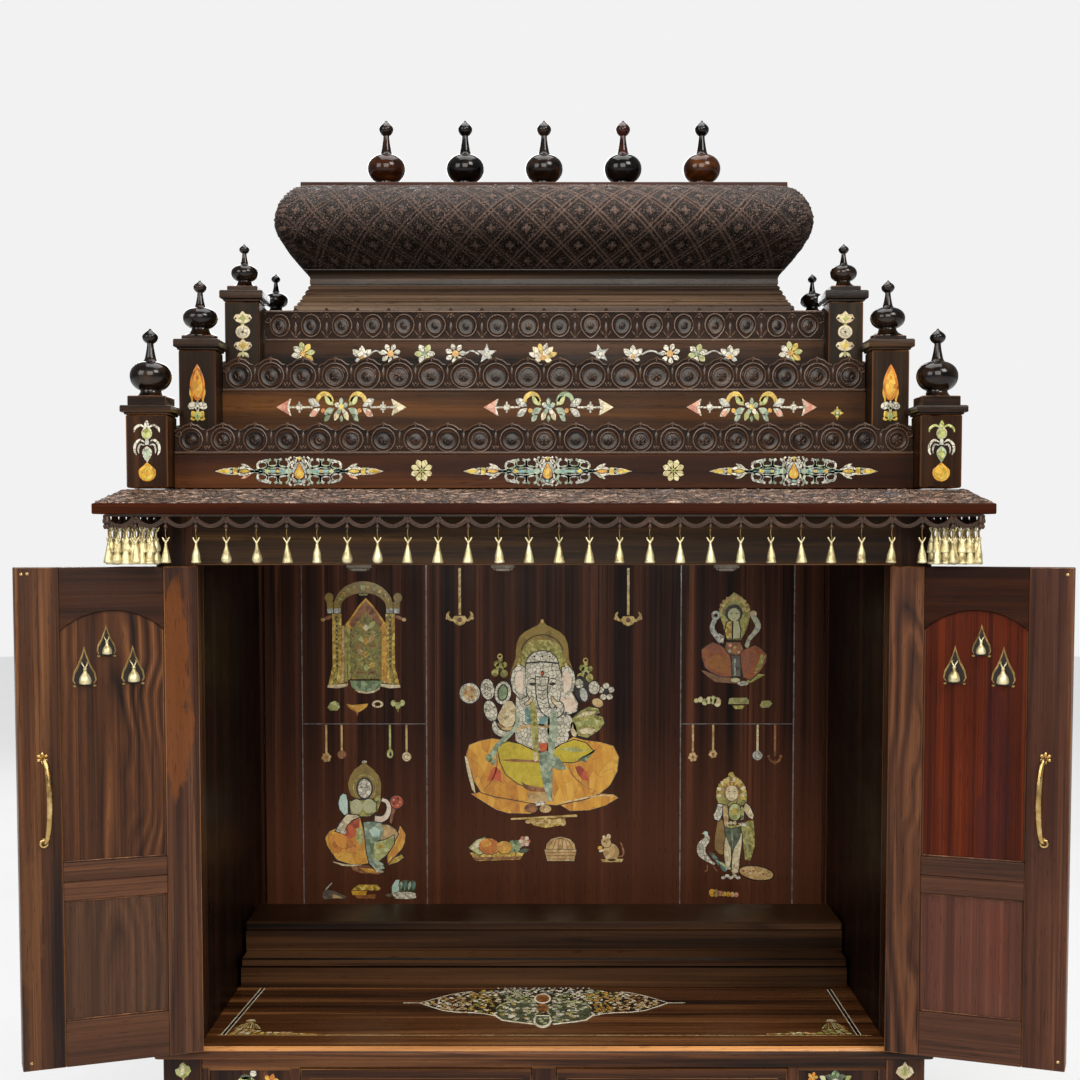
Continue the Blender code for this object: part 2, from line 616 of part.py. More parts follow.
base_z = FLOOR_Z + TIERS["upper"]["z1"] + GAP
flare_z = FLOOR_Z + 0.9777
band_z = FLOOR_Z + 1.0086
plinth = loft("roof_plinth", [(base_z, centred(PLINTH_HALF, PLINTH_DEEP - 0.002)),
                     (flare_z, centred(PLINTH_HALF, PLINTH_DEEP - 0.002)),
                     (flare_z + 0.009, centred(PLINTH_HALF - 0.004, PLINTH_DEEP - 0.006)),
                     (flare_z + 0.0092, centred(PLINTH_HALF - 0.008, PLINTH_DEEP - 0.010)),
                     (flare_z + 0.021, centred(PLINTH_HALF - 0.013, PLINTH_DEEP - 0.015)),
                     (band_z, centred(0.3205, 0.101)),
                     (band_z + 0.006, centred(0.3205, 0.101)),
                     (FLOOR_Z + PLINTH_TOP_Z, centred(WAIST_HALF, WAIST_DEEP))], WOOD_DARK)
boolean(plinth, box("plinth_bay", (-0.3205 + 0.018, 0.3205 - 0.018), (ROOF_Y - 0.083, ROOF_Y + 0.083),
                    (base_z - 0.01, FLOOR_Z + PLINTH_TOP_Z - 0.015), None, cutters))


def bombe(inset=0.0, levels=5):
    """Level rings of the swelling roof: a quarter sine up to the belly,
    then a fuller curve over to the crown."""
    rings = []
    for i in range(levels + 1):
        t = i / levels
        g = sin(t * pi / 2)
        hx = WAIST_HALF + (BELLY_HALF - WAIST_HALF) * g
        hy = WAIST_DEEP + (BELLY_HALF - WAIST_HALF) * g
        rings.append((WAIST_Z + (BELLY_Z - WAIST_Z) * t, hx, hy))
    belly_deep = WAIST_DEEP + BELLY_HALF - WAIST_HALF
    for i in range(1, levels + 1):
        t = i / levels
        tx = min(1.0, t * 1.16)
        hx = CROWN_HALF + (BELLY_HALF - CROWN_HALF) * (1 - tx ** 1.5) ** (1 / 1.5)
        hy = (RIDGE_DEEP + 0.004) + (belly_deep - RIDGE_DEEP - 0.004) * (1 - t ** 2.1) ** (1 / 2.1)
        rings.append((BELLY_Z + (ROOF_TOP_Z - BELLY_Z) * (t if t < 1 else 1.0), hx, hy))
    out = []
    for z, hx, hy in rings:
        out.append((FLOOR_Z + z, [(x, y + ry) for x, y in rounded_ring(hx - inset, hy - inset, max(0.008, 0.020 - inset))]))
    return out


roof = loft("roof_bombe", bombe(), WOOD_DARK)
inside = bombe(0.022, 3)
inside = [(z - 0.022 if i else z - 0.02, ring) for i, (z, ring) in enumerate(inside)]
core = loft("roof_core", inside, None, cutters)
boolean(roof, core)
for p in roof.data.polygons:
    p.use_smooth = True
roof.data.set_sharp_from_angle(angle=radians(40))

ridge_z = FLOOR_Z + ROOF_TOP_Z + GAP
box("roof_ridge_board", (-RIDGE_HALF, RIDGE_HALF), (ROOF_Y - RIDGE_DEEP, ROOF_Y + RIDGE_DEEP), (ridge_z, ridge_z + RIDGE_T), WOOD_DARK)
knob = turned("roof_knob", finial_profile(FINIAL_H, FINIAL_R), 12)
bpy.context.view_layer.update()
mesh = applied(knob, "roof_finial", WOOD_GLOSS)
mesh.set_sharp_from_angle(angle=radians(35))
for i in range(5):
    place("roof_finial_%d" % (i + 1), mesh, ((i - 2) * FINIAL_PITCH, ry, ridge_z + RIDGE_T + GAP))
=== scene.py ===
import json
from math import atan2, ceil, cos, hypot, pi, radians, sin, sqrt, tan
from random import Random

import bmesh
import bpy
import numpy as np
from mathutils import Matrix, Vector, noise


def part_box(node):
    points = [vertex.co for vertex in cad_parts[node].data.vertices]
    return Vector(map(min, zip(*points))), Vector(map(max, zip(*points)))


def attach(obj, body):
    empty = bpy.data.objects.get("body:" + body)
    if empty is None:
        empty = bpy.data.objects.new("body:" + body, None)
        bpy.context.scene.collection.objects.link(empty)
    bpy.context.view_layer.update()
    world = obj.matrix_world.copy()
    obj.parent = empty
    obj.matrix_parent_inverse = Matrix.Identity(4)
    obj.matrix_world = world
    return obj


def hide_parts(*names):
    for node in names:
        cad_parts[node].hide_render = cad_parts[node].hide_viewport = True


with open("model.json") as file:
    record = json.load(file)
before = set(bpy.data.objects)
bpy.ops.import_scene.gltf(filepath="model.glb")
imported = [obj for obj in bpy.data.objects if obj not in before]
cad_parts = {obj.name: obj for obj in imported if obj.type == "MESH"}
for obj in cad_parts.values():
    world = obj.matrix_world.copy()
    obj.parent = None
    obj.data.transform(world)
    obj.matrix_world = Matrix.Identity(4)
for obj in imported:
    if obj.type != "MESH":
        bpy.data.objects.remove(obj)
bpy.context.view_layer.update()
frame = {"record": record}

MM = 0.001


# ------------------------------------------------------------ places
def lo(node):
    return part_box(node)[0]


def hi(node):
    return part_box(node)[1]


FY = lo("cabinet_post_front_left").y            # the cabinet's front plane
FLOOR = hi("base_top_board").z                  # the shrine floor
BACK = lo("cabinet_back_panel").y               # face of the striped back wall
REAR = hi("cabinet_back_panel").y
OPEN = hi("cabinet_post_front_left").x * -1     # half the opening
HALF = -lo("cabinet_post_front_left").x
HEAD = lo("head_beam").z
EAVE = lo("eave_board").z
BEAM_FACE = lo("head_beam").y
LEVELS = ("lower", "middle", "upper")


# ------------------------------------------------------------ mesh building
class Build:
    """Gathers closed shapes into one mesh, each face with its material."""

    def __init__(self):
        self.v, self.f, self.m, self.s = [], [], [], []

    def add(self, verts, faces, mat=0, smooth=False, at=None):
        n = len(self.v)
        if at is not None:
            verts = [at @ Vector(p) for p in verts]
        self.v.extend(tuple(p) for p in verts)
        self.f.extend(tuple(i + n for i in f) for f in faces)
        self.m.extend([mat] * len(faces) if isinstance(mat, int) else mat)
        self.s.extend([smooth] * len(faces))
        return n

    def piece(self, name, mats, body="cabinet", hides=(), slot=None, sharp=None, outward=True):
        me = bpy.data.meshes.new(name)
        me.from_pydata(self.v, [], self.f)
        me.polygons.foreach_set("material_index", self.m)
        me.polygons.foreach_set("use_smooth", self.s)
        for m in mats:
            me.materials.append(m)
        if outward:
            bm = bmesh.new()
            bm.from_mesh(me)
            bmesh.ops.recalc_face_normals(bm, faces=bm.faces)
            bm.to_mesh(me)
            bm.free()
        if sharp:
            me.set_sharp_from_angle(angle=radians(sharp))
        me.update()
        o = bpy.data.objects.new(name, me)
        bpy.context.scene.collection.objects.link(o)
        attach(o, body)
        if hides:
            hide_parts(*hides)
        return o


def chamfered(a, b, c):
    """A block from corner a to corner b with every edge cut by c."""
    a, b = [min(p, q) for p, q in zip(a, b)], [max(p, q) for p, q in zip(a, b)]
    c = min(c, 0.45 * min(q - p for p, q in zip(a, b)))
    verts, at, faces = [], {}, []
    corners = [(i, j, k) for i in (0, 1) for j in (0, 1) for k in (0, 1)]
    for co in corners:
        for ax in range(3):
            at[co, ax] = len(verts)
            verts.append(tuple((b[n] if s else a[n]) if n == ax else (b[n] - c if s else a[n] + c) for n, s in enumerate(co)))
    for ax in range(3):
        u, v = [n for n in range(3) if n != ax]
        for s in (0, 1):
            ring = []
            for p, q in ((0, 0), (1, 0), (1, 1), (0, 1)):
                co = [0, 0, 0]
                co[ax], co[u], co[v] = s, p, q
                ring.append(at[tuple(co), ax])
            faces.append(ring)
    flat = len(faces)
    for ax in range(3):
        u, v = [n for n in range(3) if n != ax]
        for p in (0, 1):
            for q in (0, 1):
                c0, c1 = [0, 0, 0], [0, 0, 0]
                c0[u] = c1[u] = p
                c0[v] = c1[v] = q
                c1[ax] = 1
                c0, c1 = tuple(c0), tuple(c1)
                faces.append([at[c0, u], at[c1, u], at[c1, v], at[c0, v]])
    for co in corners:
        faces.append([at[co, 0], at[co, 1], at[co, 2]])
    mid = Vector([(p + q) / 2 for p, q in zip(a, b)])
    for n, f in enumerate(faces):
        p = [Vector(verts[i]) for i in f]
        nrm = (p[1] - p[0]).cross(p[2] - p[0])
        if nrm.dot(sum(p, Vector()) / len(p) - mid) < 0:
            faces[n] = f[::-1]
    return verts, faces, flat


def block(b, x, y, z, c=0.0008, mat=0, worn=None, at=None):
    """A board with cut edges; the cut faces may take a worn finish."""
    verts, faces, flat = chamfered((x[0], y[0], z[0]), (x[1], y[1], z[1]), c)
    mats = [mat] * flat + [mat if worn is None else worn] * (len(faces) - flat)
    b.add(verts, faces, mats, False, at)


def revolve(b, profile, seg=32, centre=(0, 0, 0), mat=0, at=None, mats=None):
    """A turned form from (radius, height) pairs, bottom to top, closed on
    the axis at both ends."""
    cx, cy, cz = centre
    verts, rows = [], []
    for r, h in profile:
        if r < 1e-7:
            rows.append([len(verts)])
            verts.append((cx, cy, cz + h))
        else:
            rows.append(list(range(len(verts), len(verts) + seg)))
            verts += [(cx + r * cos(2 * pi * i / seg), cy + r * sin(2 * pi * i / seg), cz + h) for i in range(seg)]
    faces, fm = [], []
    for k, (p, q) in enumerate(zip(rows, rows[1:])):
        m = mats[k] if mats else mat
        for i in range(seg):
            j = (i + 1) % seg
            if len(p) == 1 and len(q) == 1:
                continue
            if len(p) == 1:
                faces.append((p[0], q[j], q[i]))
            elif len(q) == 1:
                faces.append((p[i], p[j], q[0]))
            else:
                faces.append((p[i], p[j], q[j], q[i]))
            fm.append(m)
    b.add(verts, faces, fm, True, at)


def smooth_line(pts, per=6):
    """A Catmull-Rom line through the points."""
    p = [Vector(q) for q in pts]
    p = [p[0] * 2 - p[1]] + p + [p[-1] * 2 - p[-2]]
    out = []
    for i in range(1, len(p) - 2):
        for k in range(per):
            t = k / per
            out.append(0.5 * ((2 * p[i]) + (p[i + 1] - p[i - 1]) * t + (2 * p[i - 1] - 5 * p[i] + 4 * p[i + 1] - p[i + 2]) * t * t
                              + (3 * p[i] - 3 * p[i + 1] + p[i + 2] - p[i - 1]) * t ** 3))
    out.append(p[-2])
    return out


def pipe(b, pts, radius, seg=10, mat=0, at=None, closed=False):
    """A round bar along pts; radius is a number or one per point."""
    p = [Vector(q) for q in pts]
    n = len(p)
    rad = radius if hasattr(radius, "__len__") else [radius] * n
    tang = []
    for i in range(n):
        if closed:
            t = p[(i + 1) % n] - p[i - 1]
        else:
            t = p[min(i + 1, n - 1)] - p[max(i - 1, 0)]
        tang.append(t.normalized())
    side = tang[0].orthogonal().normalized()
    verts, rows = [], []
    for i in range(n):
        side = (side - tang[i] * side.dot(tang[i])).normalized()
        up = tang[i].cross(side)
        rows.append(list(range(len(verts), len(verts) + seg)))
        for k in range(seg):
            a = 2 * pi * k / seg
            verts.append(p[i] + (side * cos(a) + up * sin(a)) * rad[i])
    faces = []
    pairs = list(zip(rows, rows[1:]))
    if closed:
        # line the last ring up with the first before joining them
        first, last = rows[0], rows[-1]
        off = min(range(seg), key=lambda k: (verts[last[k]] - verts[first[0]]).length)
        rows.append([first[(i - off) % seg] for i in range(seg)])
        pairs = list(zip(rows, rows[1:]))
    for q, r in pairs:
        for k in range(seg):
            j = (k + 1) % seg
            faces.append((q[k], q[j], r[j], r[k]))
    if not closed:
        faces.append(tuple(reversed(rows[0])))
        faces.append(tuple(rows[-1]))
    b.add(verts, faces, mat, True, at)


# ------------------------------------------------------------ flat outlines
def ell(cx, cy, rx, ry=None, turn=0.0, n=20):
    ry = rx if ry is None else ry
    t = radians(turn)
    out = []
    for i in range(n):
        a = 2 * pi * i / n
        x, y = rx * cos(a), ry * sin(a)
        out.append((cx + x * cos(t) - y * sin(t), cy + x * sin(t) + y * cos(t)))
    return out


def spin(pts, cx, cy, turn):
    t = radians(turn)
    return [(cx + (x - cx) * cos(t) - (y - cy) * sin(t), cy + (x - cx) * sin(t) + (y - cy) * cos(t)) for x, y in pts]


def mirror(pts, cx=0.0):
    return [(2 * cx - x, y) for x, y in reversed(pts)]


def moved(pts, dx, dy):
    return [(x + dx, y + dy) for x, y in pts]


def leaf(x, y, length, width, turn, full=0.5, n=9):
    """A pointed leaf from (x, y) out along turn degrees; full is where it is widest."""
    up, dn = [], []
    for i in range(n + 1):
        t = i / n
        k = t ** (0.693 / -np.log(full)) if 0 < t < 1 else t
        w = 0.5 * width * sin(pi * k) ** 0.85
        up.append((t * length, w))
        dn.append((t * length, -w))
    pts = dn + up[-2:0:-1]
    return spin(moved(pts, x, y), x, y, turn)


def drop(x, y, length, width, turn, n=12):
    """A teardrop: its point at (x, y), its round end out along turn degrees."""
    r = width / 2
    out = [(0.0, 0.0)]
    for i in range(n + 1):
        a = -pi * 0.62 + 2 * pi * 0.62 * i / n
        out.append((length - r + r * cos(a), r * sin(a)))
    return spin(moved(out, x, y), x, y, turn)


def band(cx, cy, r0, r1, a0, a1, n=16, squash_y=1.0):
    """Part of a flat ring from angle a0 to a1 in degrees."""
    out = [(cx + r1 * cos(radians(a0 + (a1 - a0) * i / n)), cy + squash_y * r1 * sin(radians(a0 + (a1 - a0) * i / n))) for i in range(n + 1)]
    out += [(cx + r0 * cos(radians(a1 + (a0 - a1) * i / n)), cy + squash_y * r0 * sin(radians(a1 + (a0 - a1) * i / n))) for i in range(n + 1)]
    return out


def star(cx, cy, big, small, k=5, turn=90.0):
    out = []
    for i in range(2 * k):
        a = radians(turn + 180.0 * i / k)
        r = big if i % 2 == 0 else small
        out.append((cx + r * cos(a), cy + r * sin(a)))
    return out


def ribbon(pts, width, taper=True):
    """A flat strip of that width along a smooth line, pointed at its ends if it tapers."""
    line = [Vector((x, y, 0)) for x, y in pts]
    line = smooth_line(line, 5)
    n = len(line)
    a, c = [], []
    for i, p in enumerate(line):
        t = (line[min(i + 1, n - 1)] - line[max(i - 1, 0)]).normalized()
        s = i / (n - 1)
        w = 0.5 * (width(s) if callable(width) else width * (max(0.12, sin(pi * s) ** 0.5) if taper else 1.0))
        a.append((p.x - t.y * w, p.y + t.x * w))
        c.append((p.x + t.y * w, p.y - t.x * w))
    return c + a[::-1]


def area(pts):
    return 0.5 * sum(p[0] * q[1] - q[0] * p[1] for p, q in zip(pts, pts[1:] + pts[:1]))


def inset(pts, d):
    """Every corner moved inward by d along its bisector."""
    n = len(pts)
    out = []
    for i in range(n):
        p, q, r = Vector(pts[i - 1]), Vector(pts[i]), Vector(pts[(i + 1) % n])
        a, b = q - p, r - q
        if a.length < 1e-9 or b.length < 1e-9:
            out.append((q.x, q.y))
            continue
        na, nb = Vector((-a.y, a.x)).normalized(), Vector((-b.y, b.x)).normalized()
        m = na + nb
        m = m.normalized() / max(0.55, m.length / 2) if m.length > 1e-6 else na
        out.append((q.x + m.x * d, q.y + m.y * d))
    return out


def eased(pts, edge):
    """The outline drawn in by edge, or by less where the shape is too thin for it."""
    n = len(pts)
    for k in (1.0, 0.6, 0.35, 0.2, 0.1):
        inner = inset(pts, edge * k)
        if all((inner[(i + 1) % n][0] - inner[i][0]) * (pts[(i + 1) % n][0] - pts[i][0])
               + (inner[(i + 1) % n][1] - inner[i][1]) * (pts[(i + 1) % n][1] - pts[i][1]) >= -1e-9 for i in range(n)) and area(inner) > 0.1 * area(pts):
            return inner
    return inset(pts, edge * 0.04)


def facing(x, y, z, u=(1, 0, 0), v=(0, 0, 1)):
    """A flat frame: local x runs along u, local y along v, local z off the face."""
    u, v = Vector(u).normalized(), Vector(v).normalized()
    w = u.cross(v)
    m = Matrix((u, v, w)).transposed().to_4x4()
    m.translation = Vector((x, y, z))
    return m


def front_face(x, y, z):
    return facing(x, y, z)                      # looks along -Y


def flat_top(x, y, z):
    return facing(x, y, z, (1, 0, 0), (0, 1, 0))


def tile(b, pts, at, mat, rise=0.30, edge=0.30, sink=0.9, scale=MM):
    """One inlaid piece: outline in mm, standing just proud of the wood, its
    upper edge rounded off."""
    if area(pts) < 0:
        pts = pts[::-1]
    n = len(pts)
    inner = eased(pts, edge)
    rings = [(pts, -sink), (pts, rise * 0.45), (inner, rise)]
    verts = [(x * scale, y * scale, h * scale) for ring, h in rings for x, y in ring]
    faces = [tuple(range(n))[::-1], tuple(range(2 * n, 3 * n))]
    for k in (0, 1):
        for i in range(n):
            j = (i + 1) % n
            faces.append((k * n + i, k * n + j, (k + 1) * n + j, (k + 1) * n + i))
    b.add(verts, faces, mat, False, at)


def both(b, pts, at, mat, cx=0.0, **kw):
    tile(b, pts, at, mat, **kw)
    tile(b, mirror(pts, cx), at, mat, **kw)


def domed(b, pts, at, mat, rise=1.2, rings=4, scale=MM, sink=0.6):
    """A tile with a softly swelling top, for outlines seen whole from their middle."""
    if area(pts) < 0:
        pts = pts[::-1]
    n = len(pts)
    cx, cy = sum(p[0] for p in pts) / n, sum(p[1] for p in pts) / n
    verts = [(x * scale, y * scale, -sink * scale) for x, y in pts]
    for k in range(rings):
        t = k / rings
        h = rise * sqrt(max(0.0, 1 - (1 - t) ** 2)) if k else 0.0
        verts += [((cx + (x - cx) * (1 - t)) * scale, (cy + (y - cy) * (1 - t)) * scale, h * scale) for x, y in pts]
    verts.append((cx * scale, cy * scale, rise * scale))
    faces = [tuple(range(n))[::-1]]
    for k in range(rings):
        for i in range(n):
            j = (i + 1) % n
            faces.append((k * n + i, k * n + j, (k + 1) * n + j, (k + 1) * n + i))
    top = (rings + 1) * n
    for i in range(n):
        faces.append((rings * n + i, rings * n + (i + 1) % n, top))
    b.add(verts, faces, mat, True, at)


# ------------------------------------------------------------ finishes
def rgb(text):
    """#rrggbb as a linear colour."""
    out = []
    for i in (1, 3, 5):
        c = int(text[i:i + 2], 16) / 255
        out.append(c / 12.92 if c <= 0.04045 else ((c + 0.055) / 1.055) ** 2.4)
    return (*out, 1.0)


class Mat:
    """A material being wired up."""

    def __init__(self, name):
        self.mat = bpy.data.materials.new(name)
        self.mat.use_nodes = True
        self.t = self.mat.node_tree
        self.bsdf = self.t.nodes["Principled BSDF"]
        self.co = None

    def node(self, kind, **props):
        n = self.t.nodes.new("ShaderNode" + kind)
        for k, v in props.items():
            setattr(n, k, v)
        return n

    def put(self, sock, value):
        if isinstance(value, bpy.types.NodeSocket):
            self.t.links.new(value, sock)
        else:
            sock.default_value = value

    def coord(self, scale=(1, 1, 1), move=(0, 0, 0), turn=(0, 0, 0)):
        if self.co is None:
            self.co = self.node("TexCoord").outputs["Object"]
        m = self.node("Mapping")
        self.put(m.inputs["Vector"], self.co)
        m.inputs["Scale"].default_value = scale
        m.inputs["Location"].default_value = move
        m.inputs["Rotation"].default_value = turn
        return m.outputs["Vector"]

    def noise(self, co, scale=1.0, detail=3.0, rough=0.5, warp=0.0):
        n = self.node("TexNoise")
        self.put(n.inputs["Vector"], co)
        n.inputs["Scale"].default_value = scale
        n.inputs["Detail"].default_value = detail
        n.inputs["Roughness"].default_value = rough
        n.inputs["Distortion"].default_value = warp
        return n.outputs["Fac"]

    def voronoi(self, co, scale, feature="F1", out="Distance", random=1.0):
        n = self.node("TexVoronoi", feature=feature)
        self.put(n.inputs["Vector"], co)
        n.inputs["Scale"].default_value = scale
        n.inputs["Randomness"].default_value = random
        return n.outputs[out]

    def ramp(self, fac, stops, mode="LINEAR"):
        n = self.node("ValToRGB")
        self.put(n.inputs["Fac"], fac)
        e = n.color_ramp.elements
        n.color_ramp.interpolation = mode
        while len(e) < len(stops):
            e.new(0.5)
        for k, (p, c) in zip(e, stops):
            k.position = p
            k.color = c if hasattr(c, "__len__") else (c, c, c, 1.0)
        return n.outputs["Color"]

    def mix(self, fac, a, b, how="MIX"):
        n = self.node("Mix", data_type="RGBA", blend_type=how)
        self.put(n.inputs["Factor"], fac)
        self.put(n.inputs["A"], a)
        self.put(n.inputs["B"], b)
        return n.outputs["Result"]

    def math(self, op, a, b=0.0, clamp=False):
        n = self.node("Math", operation=op, use_clamp=clamp)
        self.put(n.inputs[0], a)
        self.put(n.inputs[1], b)
        return n.outputs["Value"]

    def span(self, v, a, b, c=0.0, d=1.0):
        n = self.node("MapRange")
        self.put(n.inputs["Value"], v)
        for k, x in zip(("From Min", "From Max", "To Min", "To Max"), (a, b, c, d)):
            n.inputs[k].default_value = x
        return n.outputs["Result"]

    def bump(self, height, strength=0.3, distance=0.001, normal=None):
        n = self.node("Bump")
        n.inputs["Strength"].default_value = strength
        n.inputs["Distance"].default_value = distance
        self.put(n.inputs["Height"], height)
        if normal is not None:
            self.put(n.inputs["Normal"], normal)
        return n.outputs["Normal"]

    def crevice(self, a=0.44, b=0.56):
        """0 in the hollows of a dense mesh, 1 on its edges."""
        return self.span(self.node("NewGeometry").outputs["Pointiness"], a, b)

    def done(self, colour, rough, normal=None, metal=0.0, coat=0.0, coat_rough=0.1, ior=1.5, specular=0.5):
        b = self.bsdf
        self.put(b.inputs["Base Color"], colour)
        self.put(b.inputs["Roughness"], rough)
        if normal is not None:
            self.put(b.inputs["Normal"], normal)
        b.inputs["Metallic"].default_value = metal
        b.inputs["Coat Weight"].default_value = coat
        b.inputs["Coat Roughness"].default_value = coat_rough
        b.inputs["IOR"].default_value = ior
        b.inputs["Specular IOR Level"].default_value = specular
        return self.mat


def wood(name, dark, mid, light, axis=2, stripe=34.0, run=1.5, rough=(0.26, 0.46), coat=0.0, seed=0.0,
         contrast=1.0, fine=0.55, sap=None, bump=0.25, heart=None, broad=0.0, specular=0.20, deep=0.74, vein=0.6, flat=(), foot=None, patches=()):
    """Sawn rosewood: long dark and light stripes along axis, thin black
    growth lines, finer streaks between them, open pores, and a worn
    polish. sap is (colour, low, high): a light streak where the broad
    stripes peak. heart is (rings per metre, across, up, taper): where a
    flat-sawn board cuts its rings. Along the axes in flat nothing varies
    faster than along the grain. foot is (bottom, top, amount): painted
    light, paler wood low down where the light falls. patches are flames of
    other wood in the board: (across, half width, bottom, top, colour, strength)."""
    m = Mat(name)
    dark = (dark[0] * deep * 0.50, dark[1] * deep * 0.44, dark[2] * deep * 0.36, 1.0)
    mid = (mid[0] * deep * 1.06, mid[1] * deep * 0.90, mid[2] * deep * 0.60, 1.0)
    light = (light[0] * deep * 1.18, light[1] * deep * 0.98, light[2] * deep * 0.66, 1.0)
    low = tuple(0.42 * p + 0.58 * q for p, q in zip(dark, mid))
    high = tuple(0.62 * p + 0.38 * q for p, q in zip(mid, light))
    across = [1.0, 1.0, 1.0]
    across[axis] = run / stripe
    for i in flat:
        across[i] = run / stripe
    long_co = m.coord(tuple(stripe * a for a in across), (seed * 3.1, seed * 1.7, seed * 2.3))
    stripes = m.noise(long_co, 1.0, 3.0, 0.55, 0.35)
    if heart:
        freq, s0, r0, taper = heart
        other = 0 if axis != 0 else 2
        sway = m.noise(m.coord((9, 9, 5), (seed * 1.9, seed, 3.0)), 1.0, 2.0, 0.5, 0.0)
        sep = m.node("SeparateXYZ")
        m.put(sep.inputs["Vector"], m.coord((1, 1, 1)))
        u = m.math("ADD", m.math("SUBTRACT", sep.outputs["XYZ"[other]], s0), m.math("MULTIPLY", m.math("SUBTRACT", sway, 0.5), 0.050))
        v = m.math("MULTIPLY", m.math("SUBTRACT", sep.outputs["XYZ"[axis]], r0), taper)
        away = m.math("SQRT", m.math("ADD", m.math("MULTIPLY", u, u), m.math("MULTIPLY", v, v)))
        rings = m.math("PINGPONG", m.math("ADD", m.math("MULTIPLY", away, freq), m.math("MULTIPLY", sway, 2.5)), 0.5)
        depth = m.span(m.noise(m.coord((16, 16, 5), (seed, 3, seed)), 1.0, 2.0, 0.5), 0.35, 0.65, 0.15, 0.75)
        rings = m.math("MULTIPLY", m.math("SUBTRACT", rings, 0.25), depth)
        stripes = m.math("ADD", m.math("MULTIPLY", stripes, 0.75), m.math("ADD", rings, 0.125))
    base = m.ramp(m.span(stripes, 0.5 - 0.165 / contrast, 0.5 + 0.165 / contrast),
                  [(0.0, dark), (0.30, low), (0.55, mid), (0.78, high), (1.0, light)])
    fine_co = m.coord(tuple(stripe * 7.0 * (a if i != axis else a * 0.55) for i, a in enumerate(across)), (seed, 4.0, seed * 2))
    streak = m.noise(fine_co, 1.0, 4.0, 0.6, 0.15)
    col = m.mix(m.span(streak, 0.36, 0.66, 0.0, fine), base, m.mix(0.62, base, dark), "MIX")
    col = m.mix(m.span(streak, 0.60, 0.74, 0.0, 0.55 * fine), col, light)
    line_co = m.coord(tuple(stripe * 1.7 * (a if i != axis else a * 0.7) for i, a in enumerate(across)), (seed * 1.3, 9.0, seed))
    growth = m.math("ABSOLUTE", m.math("SUBTRACT", m.noise(line_co, 1.0, 2.0, 0.5, 0.5), 0.5))
    col = m.mix(m.span(growth, 0.004, 0.030, vein, 0.0), col, dark)
    if broad:
        drift = m.noise(m.coord((6, 6, 6), (seed * 5, 1, 2)), 1.0, 2.0, 0.5)
        col = m.mix(m.span(drift, 0.35, 0.65, 0.0, broad), col, m.mix(0.7, col, dark))
    if sap:
        c, a, b = sap
        wide = [9.0, 9.0, 9.0]
        wide[axis] = 0.9
        s2 = m.noise(m.coord(tuple(wide), (seed * 2.2, 7.7, seed)), 1.0, 1.0, 0.4, 0.2)
        col = m.mix(m.span(s2, a, b, 0.0, 0.85), col, c)
    for k, (across_at, half, low_z, high_z, shade, much) in enumerate(patches):
        where = m.node("SeparateXYZ")
        m.put(where.inputs["Vector"], m.coord((1, 1, 1)))
        sway = m.noise(m.coord((30, 30, 13), (seed, 3.3 + k, 1.0)), 1.0, 4.0, 0.62)
        aside = m.math("ADD", m.math("SUBTRACT", where.outputs["X"], across_at), m.math("MULTIPLY", m.math("SUBTRACT", sway, 0.5), half * 3.4))
        aside = m.math("ABSOLUTE", m.math("DIVIDE", aside, half))
        along = m.math("ABSOLUTE", m.math("DIVIDE", m.math("SUBTRACT", where.outputs["Z"], (low_z + high_z) / 2), (high_z - low_z) / 2))
        reach = m.math("ADD", m.math("POWER", aside, 2.0), m.math("POWER", along, 3.0))
        col = m.mix(m.span(reach, 0.80, 1.15, much, 0.0), col, m.mix(0.22, shade, col))
    # painted light: the wood is mixed paler towards the bottom, where the light falls
    if foot:
        up = m.node("SeparateXYZ")
        m.put(up.inputs["Vector"], m.coord((1, 1, 1)))
        col = m.mix(m.span(up.outputs["Z"], foot[0], foot[1], foot[2], 0.0), col, m.mix(0.5, light, mid))
    pore_scale = [620.0, 620.0, 620.0]
    pore_scale[axis] = 46.0
    for i in flat:
        pore_scale[i] = 46.0
    pores = m.noise(m.coord(tuple(pore_scale), (seed, seed, 0)), 1.0, 1.5, 0.5)
    pit = m.span(pores, 0.62, 0.72)
    col = m.mix(m.math("MULTIPLY", pit, 0.55), col, dark)
    smear = m.noise(m.coord((11, 11, 11), (seed, 2, 9)), 1.0, 3.0, 0.6)
    rgh = m.span(m.math("ADD", m.math("MULTIPLY", smear, 0.7), m.math("MULTIPLY", streak, 0.3)), 0.35, 0.65, rough[0], rough[1])
    nrm = m.bump(m.math("SUBTRACT", m.math("MULTIPLY", streak, 0.5), m.math("MULTIPLY", pit, 0.8)), bump, 0.0004)
    return m.done(col, rgh, nrm, coat=coat, coat_rough=0.12, specular=specular)


